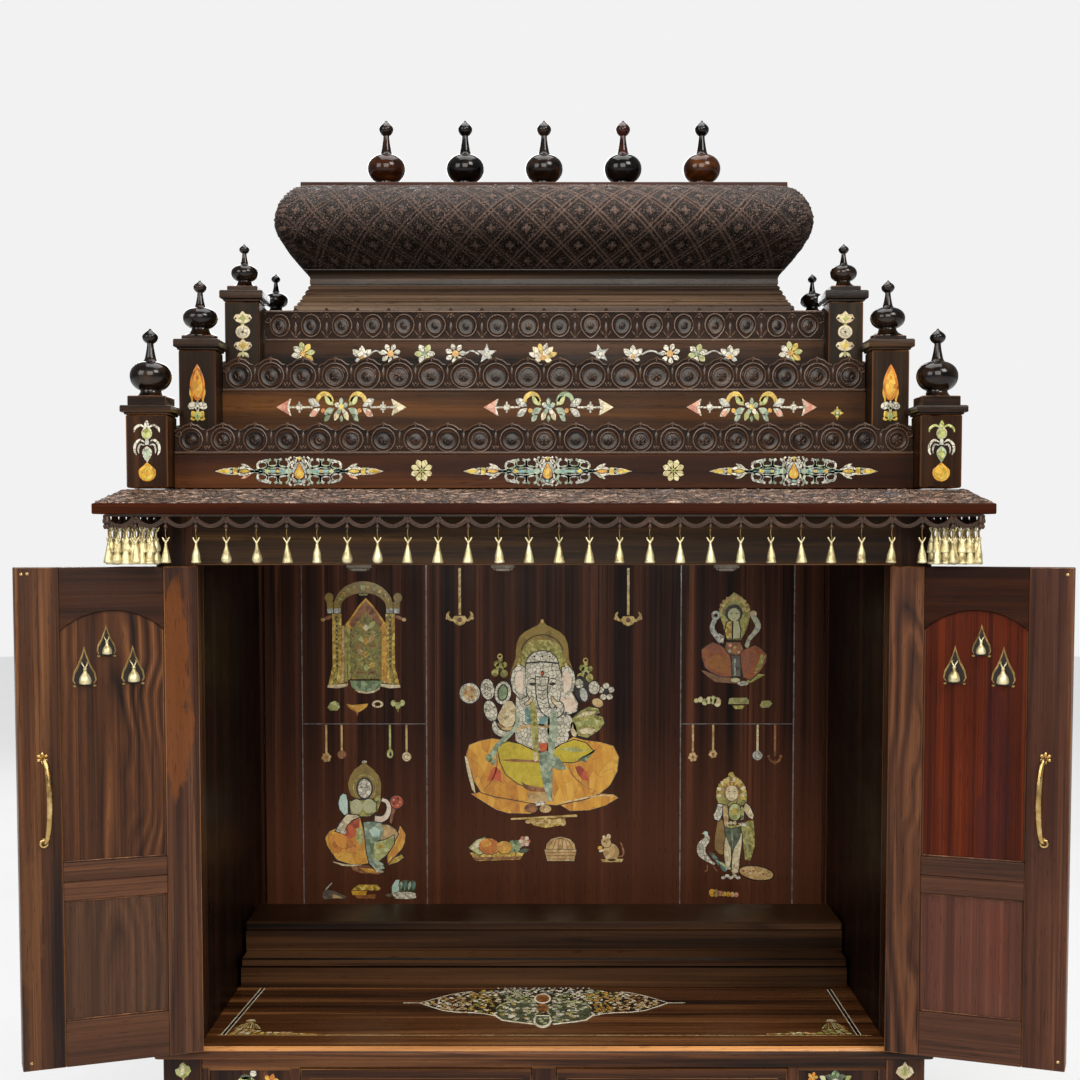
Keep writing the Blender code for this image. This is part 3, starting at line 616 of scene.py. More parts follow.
def carved(name, dark, mid, light, rough=(0.28, 0.5), grit=0.6, seed=0.0, tint=None, coat=0.0, edge=(0.46, 0.56), deep=0.6, specular=0.35):
    """Carved dark wood: black in the cuts as painted shade, worn paler and glossy on the ridges."""
    m = Mat(name)
    dark = tuple(c * deep * 0.5 for c in dark[:3]) + (1.0,)
    mid = (mid[0] * deep, mid[1] * deep * 0.93, mid[2] * deep * 0.86, 1.0)
    light = (light[0] * deep * 1.1, light[1] * deep, light[2] * deep * 0.9, 1.0)
    grain = m.noise(m.coord((18, 60, 60), (seed, 0, 0)), 1.0, 4.0, 0.6, 0.2)
    col = m.ramp(m.span(grain, 0.3, 0.7), [(0.0, dark), (0.55, mid), (1.0, light)])
    if tint:
        patch = m.noise(m.coord((26, 26, 26), (seed, 3, 1)), 1.0, 2.0, 0.5)
        for i, c in enumerate(tint):
            zone = m.noise(m.coord((34, 34, 34), (seed + 5 * i, 8, 2)), 1.0, 2.0, 0.5)
            col = m.mix(m.span(zone, 0.58, 0.68, 0.0, 0.4), col, c)
        col = m.mix(m.span(patch, 0.35, 0.65, 0.0, 0.4), col, dark)
    cut = m.crevice(*edge)
    # painted shade: darkened towards black in the hollows of the mesh
    col = m.mix(m.span(cut, 0.0, 0.45, 0.78, 0.0), col, dark)
    col = m.mix(m.span(cut, 0.62, 1.0, 0.0, 0.55), col, light)
    speck = m.noise(m.coord((1, 1, 1)), 900.0, 2.0, 0.6)
    rgh = m.span(m.math("ADD", m.math("MULTIPLY", speck, 0.5), m.math("MULTIPLY", grain, 0.5)), 0.38, 0.62, rough[1], rough[0])
    nrm = m.bump(m.noise(m.coord((1, 1, 1)), 420.0, 3.0, 0.65), grit, 0.0006)
    return m.done(col, rgh, nrm, coat=coat, coat_rough=0.15, specular=specular)


def worn_relief_painted_light(name, dark, mid, light, seed=0.0):
    """Close-carved wood, dark and grainy in the ground and worn pale on the raised lines; the height of
    the carving is kept on the mesh as rub. Painted light: paler with painted glints high up, darker low down."""
    m = Mat(name)
    rub = m.node("Attribute", attribute_name="rub").outputs["Fac"]
    grain = m.noise(m.coord((14, 40, 60), (seed, 0, 0)), 1.0, 4.0, 0.6, 0.2)
    grit = m.noise(m.coord((1, 1, 1)), 520.0, 3.0, 0.65)
    col = m.ramp(m.span(grain, 0.32, 0.68), [(0.0, dark), (1.0, mid)])
    # painted light: by height, the crown and shoulder are painted paler and the undercut darker
    z0, z1 = lo("roof_bombe").z, hi("roof_bombe").z
    up = m.node("SeparateXYZ")
    m.put(up.inputs["Vector"], m.coord((1, 1, 1)))
    height = m.math("ADD", up.outputs["Z"], m.math("MULTIPLY", m.math("SUBTRACT", grain, 0.5), 0.02))
    painted_light_up = m.span(height, z0 + 0.26 * (z1 - z0), z0 + 0.66 * (z1 - z0), 0.0, 1.0)
    # painted highlight: pale glint specks from grit, stronger higher up
    col = m.mix(m.math("MULTIPLY", m.span(grit, 0.55, 0.66, 0.0, 0.80), m.span(painted_light_up, 0.0, 1.0, 0.25, 1.0)), col, light)
    # paler on the raised lines (rub) for wear, and as painted light more so higher up
    col = m.mix(m.math("MULTIPLY", m.math("MULTIPLY", rub, 0.50), m.span(painted_light_up, 0.0, 1.0, 0.30, 1.0)), col, light)
    rgh = m.span(m.math("ADD", m.math("MULTIPLY", grit, 0.6), m.math("MULTIPLY", grain, 0.4)), 0.36, 0.64, 0.46, 0.14)
    rgh = m.math("ADD", rgh, m.span(painted_light_up, 0.0, 1.0, 0.35, 0.0))
    m.done(col, rgh, m.bump(grit, 1.0, 0.0018))
    m.put(m.bsdf.inputs["Specular IOR Level"], m.span(painted_light_up, 0.0, 1.0, 0.05, 0.20))
    return m.mat


def cut_leaves(name, dark, mid, light, seed=0.0):
    """Deeply cut, weathered leaf carving: long ragged cuts painted dark as shade, brown ground,
    and pale tips that are a painted highlight, with a dull shine."""
    m = Mat(name)
    bend = m.noise(m.coord((30, 30, 30), (seed, 1, 2)), 1.0, 3.0, 0.6)
    shift = m.node("VectorMath", operation="MULTIPLY_ADD")
    m.put(shift.inputs[0], m.coord((24, 110, 110), (seed, 2, 0)))
    shift.inputs[1].default_value = (1, 1, 1)
    off = m.node("CombineXYZ")
    for k in (0, 1, 2):
        m.put(off.inputs[k], m.math("MULTIPLY", bend, 2.2))
    m.put(shift.inputs[2], off.outputs[0])
    cut = m.voronoi(shift.outputs[0], 1.6, "DISTANCE_TO_EDGE")
    fine = m.noise(m.coord((60, 230, 230), (seed, 4, 4)), 1.0, 4.0, 0.68, 0.8)
    # the ground varies in tone, and its highest parts are painted pale as a painted highlight
    col = m.ramp(m.span(fine, 0.34, 0.66), [(0.0, dark), (0.42, mid), (0.78, m_mix(mid, light, 0.55)), (1.0, light)])
    # painted shade: the ragged cuts are painted dark
    col = m.mix(m.span(cut, 0.02, 0.14, 0.88, 0.0), col, dark)
    for i, c in enumerate((rgb("#5a2f22"), rgb("#4a4f58"))):
        zone = m.noise(m.coord((24, 40, 40), (seed + 5 * i, 8, 2)), 1.0, 2.0, 0.5)
        col = m.mix(m.span(zone, 0.62, 0.70, 0.0, 0.4), col, c)
    rgh = m.span(fine, 0.35, 0.65, 0.52, 0.26)
    nrm = m.bump(m.math("ADD", m.math("MULTIPLY", fine, 0.6), m.span(cut, 0.0, 0.16, 0.0, 0.7)), 0.9, 0.0016)
    return m.done(col, rgh, nrm, specular=0.55)


def m_mix(a, b, t):
    return tuple(p + (q - p) * t for p, q in zip(a, b))


def turned_finish(name, dark, mid, light, seed=0.0, rough=(0.12, 0.22), coat=0.20, deep=0.27):
    """Lathe-turned wood under a high polish; the grain runs up the piece."""
    m = Mat(name)
    dark = (dark[0] * deep * 0.6, dark[1] * deep * 0.55, dark[2] * deep * 0.5, 1.0)
    mid = (mid[0] * deep, mid[1] * deep * 0.9, mid[2] * deep * 0.75, 1.0)
    light = (light[0] * deep, light[1] * deep * 0.85, light[2] * deep * 0.65, 1.0)
    g = m.noise(m.coord((26, 26, 60), (seed, seed * 2, 1)), 1.0, 4.0, 0.6, 0.8)
    col = m.ramp(m.span(g, 0.32, 0.68), [(0.0, dark), (0.5, mid), (1.0, light)])
    patch = m.noise(m.coord((30, 30, 22), (seed * 3, 0, 0)), 1.0, 2.0, 0.5)
    col = m.mix(m.span(patch, 0.5, 0.72, 0.0, 0.6), col, dark)
    rings = m.noise(m.coord((3, 3, 900), (seed, 0, 0)), 1.0, 1.0, 0.5)
    cut = m.crevice(0.42, 0.55)
    # painted shade: darker in the hollows of the turning
    col = m.mix(m.span(cut, 0.0, 0.5, 0.7, 0.0), col, dark)
    smear = m.noise(m.coord((60, 60, 60), (seed, 5, 5)), 1.0, 3.0, 0.6)
    rgh = m.span(smear, 0.35, 0.65, rough[0], rough[1])
    return m.done(col, rgh, m.bump(rings, 0.05, 0.0003), coat=coat, coat_rough=0.05, specular=0.26)


def metal_finish(name, base, dark, pale, rough=(0.22, 0.42), cast=0.15, seed=0.0, metal=1.0):
    m = Mat(name)
    n = m.noise(m.coord((70, 70, 70), (seed, 0, 0)), 1.0, 4.0, 0.6)
    col = m.ramp(m.span(n, 0.3, 0.7), [(0.0, dark), (0.45, base), (1.0, pale)])
    cut = m.crevice(0.43, 0.56)
    col = m.mix(m.span(cut, 0.0, 0.5, 0.75, 0.0), col, dark)
    col = m.mix(m.span(cut, 0.6, 1.0, 0.0, 0.5), col, pale)
    rub = m.noise(m.coord((240, 240, 240), (seed, 1, 1)), 1.0, 3.0, 0.6)
    rgh = m.span(rub, 0.35, 0.65, rough[0], rough[1])
    return m.done(col, rgh, m.bump(m.noise(m.coord((1, 1, 1)), 500.0, 2.0), cast, 0.0005), metal=metal)


def inlaid(name, tones, cell=170.0, line=0.5, rough=(0.16, 0.34), seed=0.0, streak=(1, 1, 1), crack=0.035,
           dark="#2a1c12", specular=0.5, facet=0.72):
    """Inlaid shell, stone or coloured wood: patches of several tones, the
    thin dark joints between slips, and a flush polish."""
    m = Mat(name)
    co = m.coord(streak, (seed, seed * 1.3, seed * 0.7))
    patch = m.voronoi(co, cell, "F1", "Color")
    sep = m.node("SeparateColor")
    m.put(sep.inputs["Color"], patch)
    pick = m.math("ADD", m.math("MULTIPLY", sep.outputs[0], facet), m.math("MULTIPLY", m.noise(co, cell * 1.7, 3.0, 0.6), 1.0 - facet))
    n = len(tones) - 1
    col = m.ramp(m.span(pick, 0.12, 0.9), [(i / n, rgb(c)) for i, c in enumerate(tones)])
    edge = m.voronoi(co, cell, "DISTANCE_TO_EDGE")
    joint = m.span(edge, crack * 0.35, crack, 1.0, 0.0)
    col = m.mix(m.math("MULTIPLY", joint, line), col, rgb(dark))
    grime = m.noise(m.coord((1, 1, 1), (seed, 2, 2)), 300.0, 3.0, 0.6)
    col = m.mix(m.span(grime, 0.5, 0.8, 0.0, 0.35), col, rgb(dark))
    rgh = m.span(grime, 0.35, 0.7, rough[0], rough[1])
    return m.done(col, rgh, m.bump(m.math("SUBTRACT", 1.0, joint), 0.12, 0.0003), specular=specular)


# boards, by the way their grain runs
D, MD, LT = rgb("#1c0e08"), rgb("#3d2216"), rgb("#6d4630")
W_POST = wood("rosewood_post", rgb("#1b0e09"), rgb("#392015"), rgb("#6a4430"), 2, 42, 1.3, seed=1.0)
W_POST_WORN = wood("rosewood_post_edge", rgb("#3a2014"), rgb("#6b4630"), rgb("#9a7252"), 2, 42, 1.3, seed=1.0, rough=(0.2, 0.34))
# painted shade: the side walls' inner faces take a much darker copy of the side wood than the outer faces
# (rosewood_side_outer)
W_SIDE_PAINTED_SHADE = wood("rosewood_side_painted_shade", rgb("#140a0a"), rgb("#2a1614"), rgb("#482b26"), 2, 30, 0.8, seed=2.0, broad=0.4, deep=0.34, specular=0.10)
W_SIDE_OUT = wood("rosewood_side_outer", rgb("#24130c"), rgb("#4a2c1e"), rgb("#74503b"), 2, 30, 0.8, seed=2.6, broad=0.3, deep=0.80, specular=0.18)
# the back wall is painted paler low down (foot): painted light where the light falls
W_BACKW = wood("rosewood_back_wall", rgb("#180b09"), rgb("#3f241c"), rgb("#70483a"), 2, 40, 0.4, seed=3.4, contrast=0.95, rough=(0.34, 0.52), specular=0.10, deep=0.76, vein=0.75, foot=(0.34, 0.52, 0.60))
W_BEAM = wood("rosewood_beam", rgb("#23150b"), rgb("#4a341d"), rgb("#77592f"), 0, 44, 1.2, seed=4.0, contrast=0.9)
W_FLOOR = wood("rosewood_shrine_floor", rgb("#26150d"), rgb("#5a3924"), rgb("#8a6446"), 0, 34, 0.9, seed=5.0, rough=(0.2, 0.36), deep=0.9, contrast=0.95)
W_STEP = wood("rosewood_step", rgb("#170d08"), rgb("#3c281b"), rgb("#604634"), 0, 30, 0.6, seed=6.0, rough=(0.28, 0.44), deep=0.72, contrast=1.1, vein=0.5, flat=(1,), specular=0.14)
W_STEP_EDGE = wood("rosewood_step_edge", rgb("#1c110b"), rgb("#412c1e"), rgb("#604634"), 0, 30, 0.6, seed=6.0, rough=(0.28, 0.42), deep=0.62, contrast=0.9, specular=0.12)
W_TIER1 = wood("rosewood_tier_lower", rgb("#200d06"), rgb("#4c2810"), rgb("#754622"), 0, 26, 0.7, seed=7.0, contrast=0.85, deep=0.46, specular=0.12, vein=0.35, flat=(1,))
W_TIER2 = wood("rosewood_tier_middle", rgb("#221207"), rgb("#603c18"), rgb("#8e5f28"), 0, 26, 0.8, seed=8.0, contrast=1.05, deep=0.42, specular=0.12, vein=0.35, flat=(1,))
W_TIER3 = wood("rosewood_tier_upper", rgb("#1a0f0a"), rgb("#472e1e"), rgb("#70503a"), 0, 30, 0.8, seed=9.0, deep=0.44, specular=0.12, vein=0.35, flat=(1,))
W_BASE = wood("rosewood_base", rgb("#241409"), rgb("#5a3824"), rgb("#8a6245"), 0, 36, 1.0, seed=10.0, deep=0.9)
W_EDGE_X = wood("rosewood_edge_along", rgb("#40291a"), rgb("#74523a"), rgb("#a07a58"), 0, 36, 1.3, seed=10.0, rough=(0.18, 0.30), coat=0.2, specular=0.3, deep=0.85)
W_DEPTH = wood("rosewood_depth_grain", rgb("#170d09"), rgb("#33201a"), rgb("#553a2c"), 1, 34, 1.2, seed=11.0)
W_NEWEL_A = wood("rosewood_newel_lower", rgb("#1d1008"), rgb("#472c18"), rgb("#6e4a2a"), 2, 40, 0.9, seed=12.0, contrast=0.75, deep=0.42, specular=0.12, vein=0.25)
W_NEWEL_B = wood("rosewood_newel_middle", rgb("#180f0a"), rgb("#38271b"), rgb("#574534"), 2, 40, 0.9, seed=13.0, contrast=0.75, deep=0.52, specular=0.12, vein=0.25)
W_NEWEL_C = wood("rosewood_newel_upper", rgb("#1a1511"), rgb("#372e26"), rgb("#524a40"), 2, 40, 0.9, seed=14.0, contrast=0.75, deep=0.54, specular=0.12, vein=0.25)
W_CAP = wood("rosewood_cap", rgb("#170f0b"), rgb("#33231a"), rgb("#5a4433"), 0, 60, 2.0, seed=15.0, rough=(0.2, 0.34), coat=0.12, deep=0.62)
W_FASCIA = wood("rosewood_fascia", rgb("#2e120a"), rgb("#5c2a12"), rgb("#844a2a"), 0, 30, 0.6, seed=16.0, rough=(0.34, 0.48), contrast=0.8, deep=0.30, specular=0.04, vein=0.3, flat=(1,))
# painted highlight: a pale, bright copy of the wood for the rounded nosing of the top board
W_NOSING_PAINTED_HIGHLIGHT = wood("rosewood_nosing_painted_highlight", rgb("#a06a42"), rgb("#d8a578"), rgb("#f0cda4"), 0, 30, 0.9, seed=10.0, rough=(0.14, 0.24), coat=0.35, specular=0.5, deep=1.15, contrast=0.7, vein=0.3, flat=(1,))
W_RIDGE = wood("roof_ridge", rgb("#2c1610"), rgb("#50302a"), rgb("#73503f"), 0, 40, 0.8, seed=29.0, contrast=0.7, deep=0.62, specular=0.12, flat=(1,))
W_FRAME_L = wood("door_stile_left", rgb("#2b1710"), rgb("#573828"), rgb("#805a3f"), 2, 62, 1.0, seed=17.0, contrast=0.85, deep=0.70,
                 patches=((-0.636, 0.013, 0.262, 0.425, rgb("#5e3c20"), 0.50), (-0.650, 0.012, 0.150, 0.270, rgb("#2c201c"), 0.6)))
W_FRAME_SAP = wood("door_stile_sapwood", rgb("#26140e"), rgb("#4f3329"), rgb("#6e4e3e"), 2, 62, 1.0, seed=18.5, contrast=0.9,
                   patches=((-0.4665, 0.0150, 0.490, 0.775, rgb("#6a3a15"), 0.90),))
W_RAIL_L = wood("door_rail_left", rgb("#35201a"), rgb("#604133"), rgb("#80594a"), 0, 60, 0.9, seed=19.0, contrast=0.55, fine=0.7, flat=(1,))
W_RAIL_TOP = wood("door_rail_top", rgb("#27130c"), rgb("#4a2c1e"), rgb("#664230"), 0, 60, 0.9, seed=20.0, contrast=0.6, fine=0.7, flat=(1,))
W_RAIL_TOP_R = wood("door_rail_top_red", rgb("#200d07"), rgb("#412112"), rgb("#5c3520"), 0, 60, 0.9, seed=20.5, contrast=0.6, deep=0.44, vein=0.3, specular=0.10, flat=(1,))
DOOR_X = [(lo(n).x + hi(n).x) / 2 for n in ("door_left_fold_leaf", "door_right_fold_leaf")]
W_UP_L = wood("door_panel_brown", rgb("#2a160d"), rgb("#543422"), rgb("#7a5339"), 2, 40, 0.5, seed=21.0, contrast=1.0, heart=(90.0, DOOR_X[0] + 0.006, 0.22, 0.045))
W_UP_R = wood("door_panel_red", rgb("#34120a"), rgb("#672a14"), rgb("#8c421e"), 2, 70, 0.45, seed=22.0, contrast=0.62, fine=0.9, vein=0.5, broad=0.45, deep=0.72, specular=0.10,
               patches=((0.563, 0.017, 0.395, 0.640, rgb("#2c1215"), 0.6),))
W_LOW = wood("door_panel_flat_sawn", rgb("#38221b"), rgb("#5a4035"), rgb("#785a4b"), 2, 60, 0.5, seed=23.0, contrast=0.42, fine=0.75, heart=(70.0, DOOR_X[0] + 0.004, 0.24, 0.16), vein=0.3)
W_LOW_R = wood("door_panel_flat_sawn_red", rgb("#3a1f1a"), rgb("#663e38"), rgb("#87584c"), 2, 60, 0.5, seed=33.0, contrast=0.45, fine=0.8, broad=0.25, vein=0.3,
                 patches=((0.570, 0.0130, 0.250, 0.362, rgb("#5a2414"), 0.34),))
W_FRAME_R = wood("door_stile_right", rgb("#2b150e"), rgb("#553228"), rgb("#785240"), 2, 62, 1.0, seed=24.0, contrast=0.9, deep=0.66, broad=0.3)
W_FRAME_R_IN = wood("door_stile_right_inner", rgb("#27130c"), rgb("#503022"), rgb("#724c37"), 2, 50, 0.8, seed=24.5, contrast=1.0, deep=0.66, heart=(95.0, 0.463, 0.47, 0.055), vein=0.5)
W_RAIL_R = wood("door_rail_right", rgb("#2f1b15"), rgb("#58392e"), rgb("#775244"), 0, 60, 0.9, seed=25.0, contrast=0.55, fine=0.7, flat=(1,))
W_DOOR_WORN = wood("door_edge_rubbed", rgb("#4a2e20"), rgb("#85604a"), rgb("#ab8466"), 2, 44, 1.1, seed=17.0, rough=(0.2, 0.34))
W_DRAWER = wood("drawer_front", rgb("#27140c"), rgb("#4f301f"), rgb("#785138"), 0, 40, 1.2, seed=26.0, contrast=0.9)

# the roof's carving carries painted light: paler with painted glints high up, darker low down
C_ROOF = worn_relief_painted_light("carved_roof", rgb("#030202"), rgb("#120b07"), rgb("#94786a"), 1.0)
C_GALLERY = carved("carved_gallery", rgb("#170c07"), rgb("#3c271a"), rgb("#8a6a52"), rough=(0.16, 0.34), grit=0.3, seed=2.0, coat=0.05, deep=0.36, specular=0.36)
C_BOWL = carved("carved_gallery_bowl", rgb("#100805"), rgb("#2c1a10"), rgb("#5c4230"), rough=(0.12, 0.26), grit=0.12, seed=2.2, deep=0.40, specular=0.26)
# painted shade: a darker copy of the carved wood for the ground plate behind the carving
C_GALLERY_BED_PAINTED_SHADE = carved("carved_gallery_ground_painted_shade", rgb("#080402"), rgb("#1d110b"), rgb("#352319"), rough=(0.4, 0.65), grit=0.8, seed=2.5, specular=0.12)
# the eave carving has painted shade in its cuts and painted highlights on its leaves
C_EAVE = cut_leaves("carved_eave", rgb("#0e0604"), rgb("#553a29"), rgb("#b0917a"), 3.0)
C_VAL = carved("carved_valance", rgb("#100805"), rgb("#301d12"), rgb("#6a4c38"), rough=(0.30, 0.48), grit=0.3, seed=4.0, deep=0.5)
C_PLINTH = carved("carved_roof_plinth", rgb("#1a120e"), rgb("#42352c"), rgb("#7d6d5f"), rough=(0.26, 0.42), grit=0.15, seed=5.0)
W_PLINTH = wood("roof_plinth_flutes", rgb("#1c1311"), rgb("#483a36"), rgb("#85756c"), 0, 46, 0.6, seed=27.0, rough=(0.24, 0.4), contrast=0.8, deep=0.86, vein=0.2, flat=(1,))
W_BAND = wood("roof_band", rgb("#170e08"), rgb("#35261a"), rgb("#65492e"), 0, 60, 1.2, seed=28.0, rough=(0.24, 0.38), coat=0.08, deep=0.38)

T_ORANGE = turned_finish("turned_orange_brown", rgb("#2a1209"), rgb("#5e3117"), rgb("#9a5a26"), 1.0, deep=0.22)
T_AMBER = turned_finish("turned_amber", rgb("#3a1a0a"), rgb("#7a431b"), rgb("#c07c36"), 2.0, deep=0.21)
T_BLACK = turned_finish("turned_black", rgb("#0d0a09"), rgb("#1f1a18"), rgb("#3c332d"), 3.0, deep=0.20)
T_DARK = turned_finish("turned_dark_brown", rgb("#140d0a"), rgb("#33251d"), rgb("#5c4636"), 4.0)
T_RED = turned_finish("turned_red", rgb("#2a0f0b"), rgb("#5a2a20"), rgb("#7d4535"), 5.0)

BRASS = metal_finish("cast_brass", rgb("#a98445"), rgb("#4a3315"), rgb("#dcc187"), (0.2, 0.4), seed=1.0)
BRASS_PALE = metal_finish("pale_bell_brass", rgb("#bdae7c"), rgb("#54451f"), rgb("#e6dcb2"), (0.3, 0.5), cast=0.6, seed=2.0, metal=0.6)
DULL_PLATE = metal_finish("dull_catch_plate", rgb("#6f675a"), rgb("#2c2620"), rgb("#a39a8c"), (0.35, 0.55), cast=0.4, seed=6.0)
BRASS_DULL = metal_finish("aged_brass", rgb("#6b5530"), rgb("#241908"), rgb("#a88d58"), (0.3, 0.5), seed=3.0)
SHADOW_WOOD = carved("bell_hollow_dark", rgb("#070504"), rgb("#140d09"), rgb("#2a1d15"), seed=8.0)

PEARL = inlaid("inlay_pearl", ["#9b9985", "#cbc6b0", "#dcd6c2", "#b3af9c"], 150.0, 0.85, seed=1.0, crack=0.07)
PEARL_GREY = inlaid("inlay_pearl_grey", ["#7b7d74", "#abada2", "#c3c3b7", "#93958b"], 170.0, 0.75, seed=2.0, crack=0.05)
BONE = inlaid("inlay_cream", ["#b39c72", "#d2c298", "#e0d3ae", "#c2ae80"], 140.0, 0.55, seed=3.0, crack=0.05)
YELLOW = inlaid("inlay_yellow_wood", ["#9a7a1c", "#c4a234", "#d6bc54", "#ae8e30"], 120.0, 0.5, seed=4.0)
GOLD = inlaid("inlay_gold_mosaic", ["#8a6a20", "#c39a34", "#dcc468", "#a37f2a", "#6f6424"], 210.0, 0.7, seed=5.0)
OLIVE = inlaid("inlay_olive", ["#5d5a24", "#8f8a3e", "#b3ac62", "#77702c"], 190.0, 0.65, seed=6.0)
ORANGE = inlaid("inlay_orange_wood", ["#8e4a10", "#c4741c", "#da922e", "#ac5e14", "#cf861f"], 100.0, 0.4, seed=7.0, streak=(1, 1, 0.5))
AMBER = inlaid("inlay_amber", ["#9c661a", "#c8902a", "#dcae46", "#b27a22"], 130.0, 0.4, seed=8.0)
RED = inlaid("inlay_red_wood", ["#8c3212", "#b84a1e", "#c65e2a", "#9e3d18"], 90.0, 0.25, seed=9.0, crack=0.02)
CORAL = inlaid("inlay_coral", ["#a5604a", "#c98a6e", "#d8a58a", "#b5745c"], 130.0, 0.45, seed=10.0)
GREEN = inlaid("inlay_green_stone", ["#42533a", "#6c8058", "#92a57c", "#566a46"], 150.0, 0.5, seed=11.0)
LIME = inlaid("inlay_lime_stone", ["#7d8040", "#a5a962", "#bfc386", "#8f924e"], 150.0, 0.55, seed=12.0)
SAGE = inlaid("inlay_sage", ["#5f6f5a", "#8c9c82", "#aebba0", "#74856c"], 150.0, 0.5, seed=13.0)
TURQ = inlaid("inlay_turquoise", ["#456662", "#6a928a", "#8fb0a6", "#587b74"], 160.0, 0.5, seed=14.0)
BROWN = inlaid("inlay_brown_wood", ["#5b3418", "#80502a", "#a06c3c", "#6c4020"], 130.0, 0.4, seed=15.0)
TAN = inlaid("inlay_tan_wood", ["#92703f", "#b8955a", "#cdb07a", "#a4824c"], 130.0, 0.45, seed=16.0)
INK = inlaid("inlay_ebony", ["#0d0907", "#1c1410", "#2a1f18", "#130d0a"], 160.0, 0.3, seed=17.0)
SILVER = inlaid("inlay_silver_line", ["#4c4644", "#686160", "#7a7372", "#5a5352"], 90.0, 0.35, seed=18.0)
GILT = inlaid("inlay_gilt", ["#8a6f34", "#b89a54", "#d6bd7c", "#a1853f"], 190.0, 0.5, seed=19.0)
HALO = inlaid("inlay_halo_wood", ["#54420f", "#776020", "#8d7630", "#655217"], 55.0, 0.22, seed=20.0, crack=0.02, facet=0.30)
LOTUS = inlaid("inlay_lotus_wood", ["#7c440c", "#bb7a1a", "#d09428", "#dcaa40", "#a86816"], 75.0, 0.28, seed=21.0, crack=0.03, streak=(1, 1, 0.45), facet=0.36)
CLOTH = inlaid("inlay_yellow_cloth", ["#847610", "#b4a01a", "#c8b22a", "#948820"], 80.0, 0.20, seed=22.0, crack=0.02, facet=0.22)
ROSE = inlaid("inlay_rose_shell", ["#b59a84", "#d9c2ab", "#e6d6c2", "#c8ab95"], 60.0, 0.25, seed=23.0, crack=0.02, facet=0.22)
MOSAIC = inlaid("inlay_green_gold_mosaic", ["#4f4a1c", "#8c7a34", "#6f7a3c", "#a08a42", "#3c4620"], 330.0, 0.7, seed=24.0)
SAGE_PALE = inlaid("inlay_pale_sage", ["#8d8f66", "#aeae82", "#bcbc94", "#9c9c70"], 60.0, 0.2, seed=25.0, crack=0.02, facet=0.22)
AQUA = inlaid("inlay_pale_aqua", ["#7fa294", "#abc9ba", "#c3d9cc", "#91b3a4"], 70.0, 0.25, seed=26.0, crack=0.02, facet=0.22)
GREY_DARK = inlaid("inlay_grey_wood", ["#3c3630", "#5d554b", "#6e655a", "#4a433b"], 120.0, 0.3, seed=27.0)
GREEN_DARK = inlaid("inlay_dark_green", ["#2c3322", "#474f3a", "#5c6248", "#3a402e"], 150.0, 0.45, seed=28.0)
LOTUS_DARK = inlaid("inlay_lotus_deep", ["#5f2c10", "#84451b", "#96582a", "#6f3714"], 60.0, 0.2, seed=29.0, crack=0.02, facet=0.22)
ROSE_DARK = inlaid("inlay_rose_deep", ["#63301e", "#7e4429", "#8c5235", "#6e3821"], 70.0, 0.25, seed=30.0, crack=0.02, facet=0.3)
ORANGE_DARK = inlaid("inlay_orange_deep", ["#6b3a0e", "#8a5216", "#9a6324", "#784412"], 70.0, 0.2, seed=31.0, crack=0.02, facet=0.22)
TAN_DARK = inlaid("inlay_tan_deep", ["#55371f", "#735032", "#856040", "#624228"], 90.0, 0.25, seed=32.0, crack=0.02, facet=0.22)
LIME_DARK = inlaid("inlay_lime_deep", ["#6b6a3a", "#8f8d54", "#9f9d66", "#7d7c46"], 90.0, 0.3, seed=33.0, crack=0.02)
GOLD_DARK = inlaid("inlay_gold_deep", ["#543c12", "#77591e", "#8a6c2c", "#644a18"], 70.0, 0.2, seed=34.0, crack=0.02, facet=0.22)
CREAM_LINE = inlaid("inlay_cream_line", ["#b9aa8c", "#e0d6bd", "#efe8d4", "#cdc0a4"], 110.0, 0.25, seed=35.0)


# ------------------------------------------------------------ boards
def span_of(node):
    a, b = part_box(node)
    return (a.x, b.x), (a.y, b.y), (a.z, b.z)


def body_with(node):
    for body, nodes in frame["record"]["behaviour"]["bodies"].items():
        if node in nodes:
            return body


def plain_board(node, mat, worn, c=0.0011, slot="rosewood"):
    b = Build()
    x, y, z = span_of(node)
    block(b, x, y, z, c, 0, 1)
    return b.piece(node + ".board", [mat, worn], body_with(node), (node,), slot)


def prism(b, plan, z0, z1, c=0.0009, mat=0, worn=1, at=None):
    """An upright block over a plan outline (anticlockwise), edges cut top and bottom."""
    if area(plan) < 0:
        plan = plan[::-1]
    n = len(plan)
    small = inset(plan, c)
    rings = [(small, z0), (plan, z0 + c), (plan, z1 - c), (small, z1)]
    verts = [(x, y, z) for ring, z in rings for x, y in ring]
    faces = [tuple(range(n))[::-1], tuple(range(3 * n, 4 * n))]
    mats = [mat, mat]
    for k in range(3):
        for i in range(n):
            j = (i + 1) % n
            faces.append((k * n + i, k * n + j, (k + 1) * n + j, (k + 1) * n + i))
            mats.append(mat if k == 1 else worn)
    b.add(verts, faces, mats, False, at)


POST_Y1 = hi("cabinet_post_front_left").y
for side in ("left", "right"):
    for where in ("front", "back"):
        plain_board("cabinet_post_%s_%s" % (where, side), W_POST, W_POST_WORN)

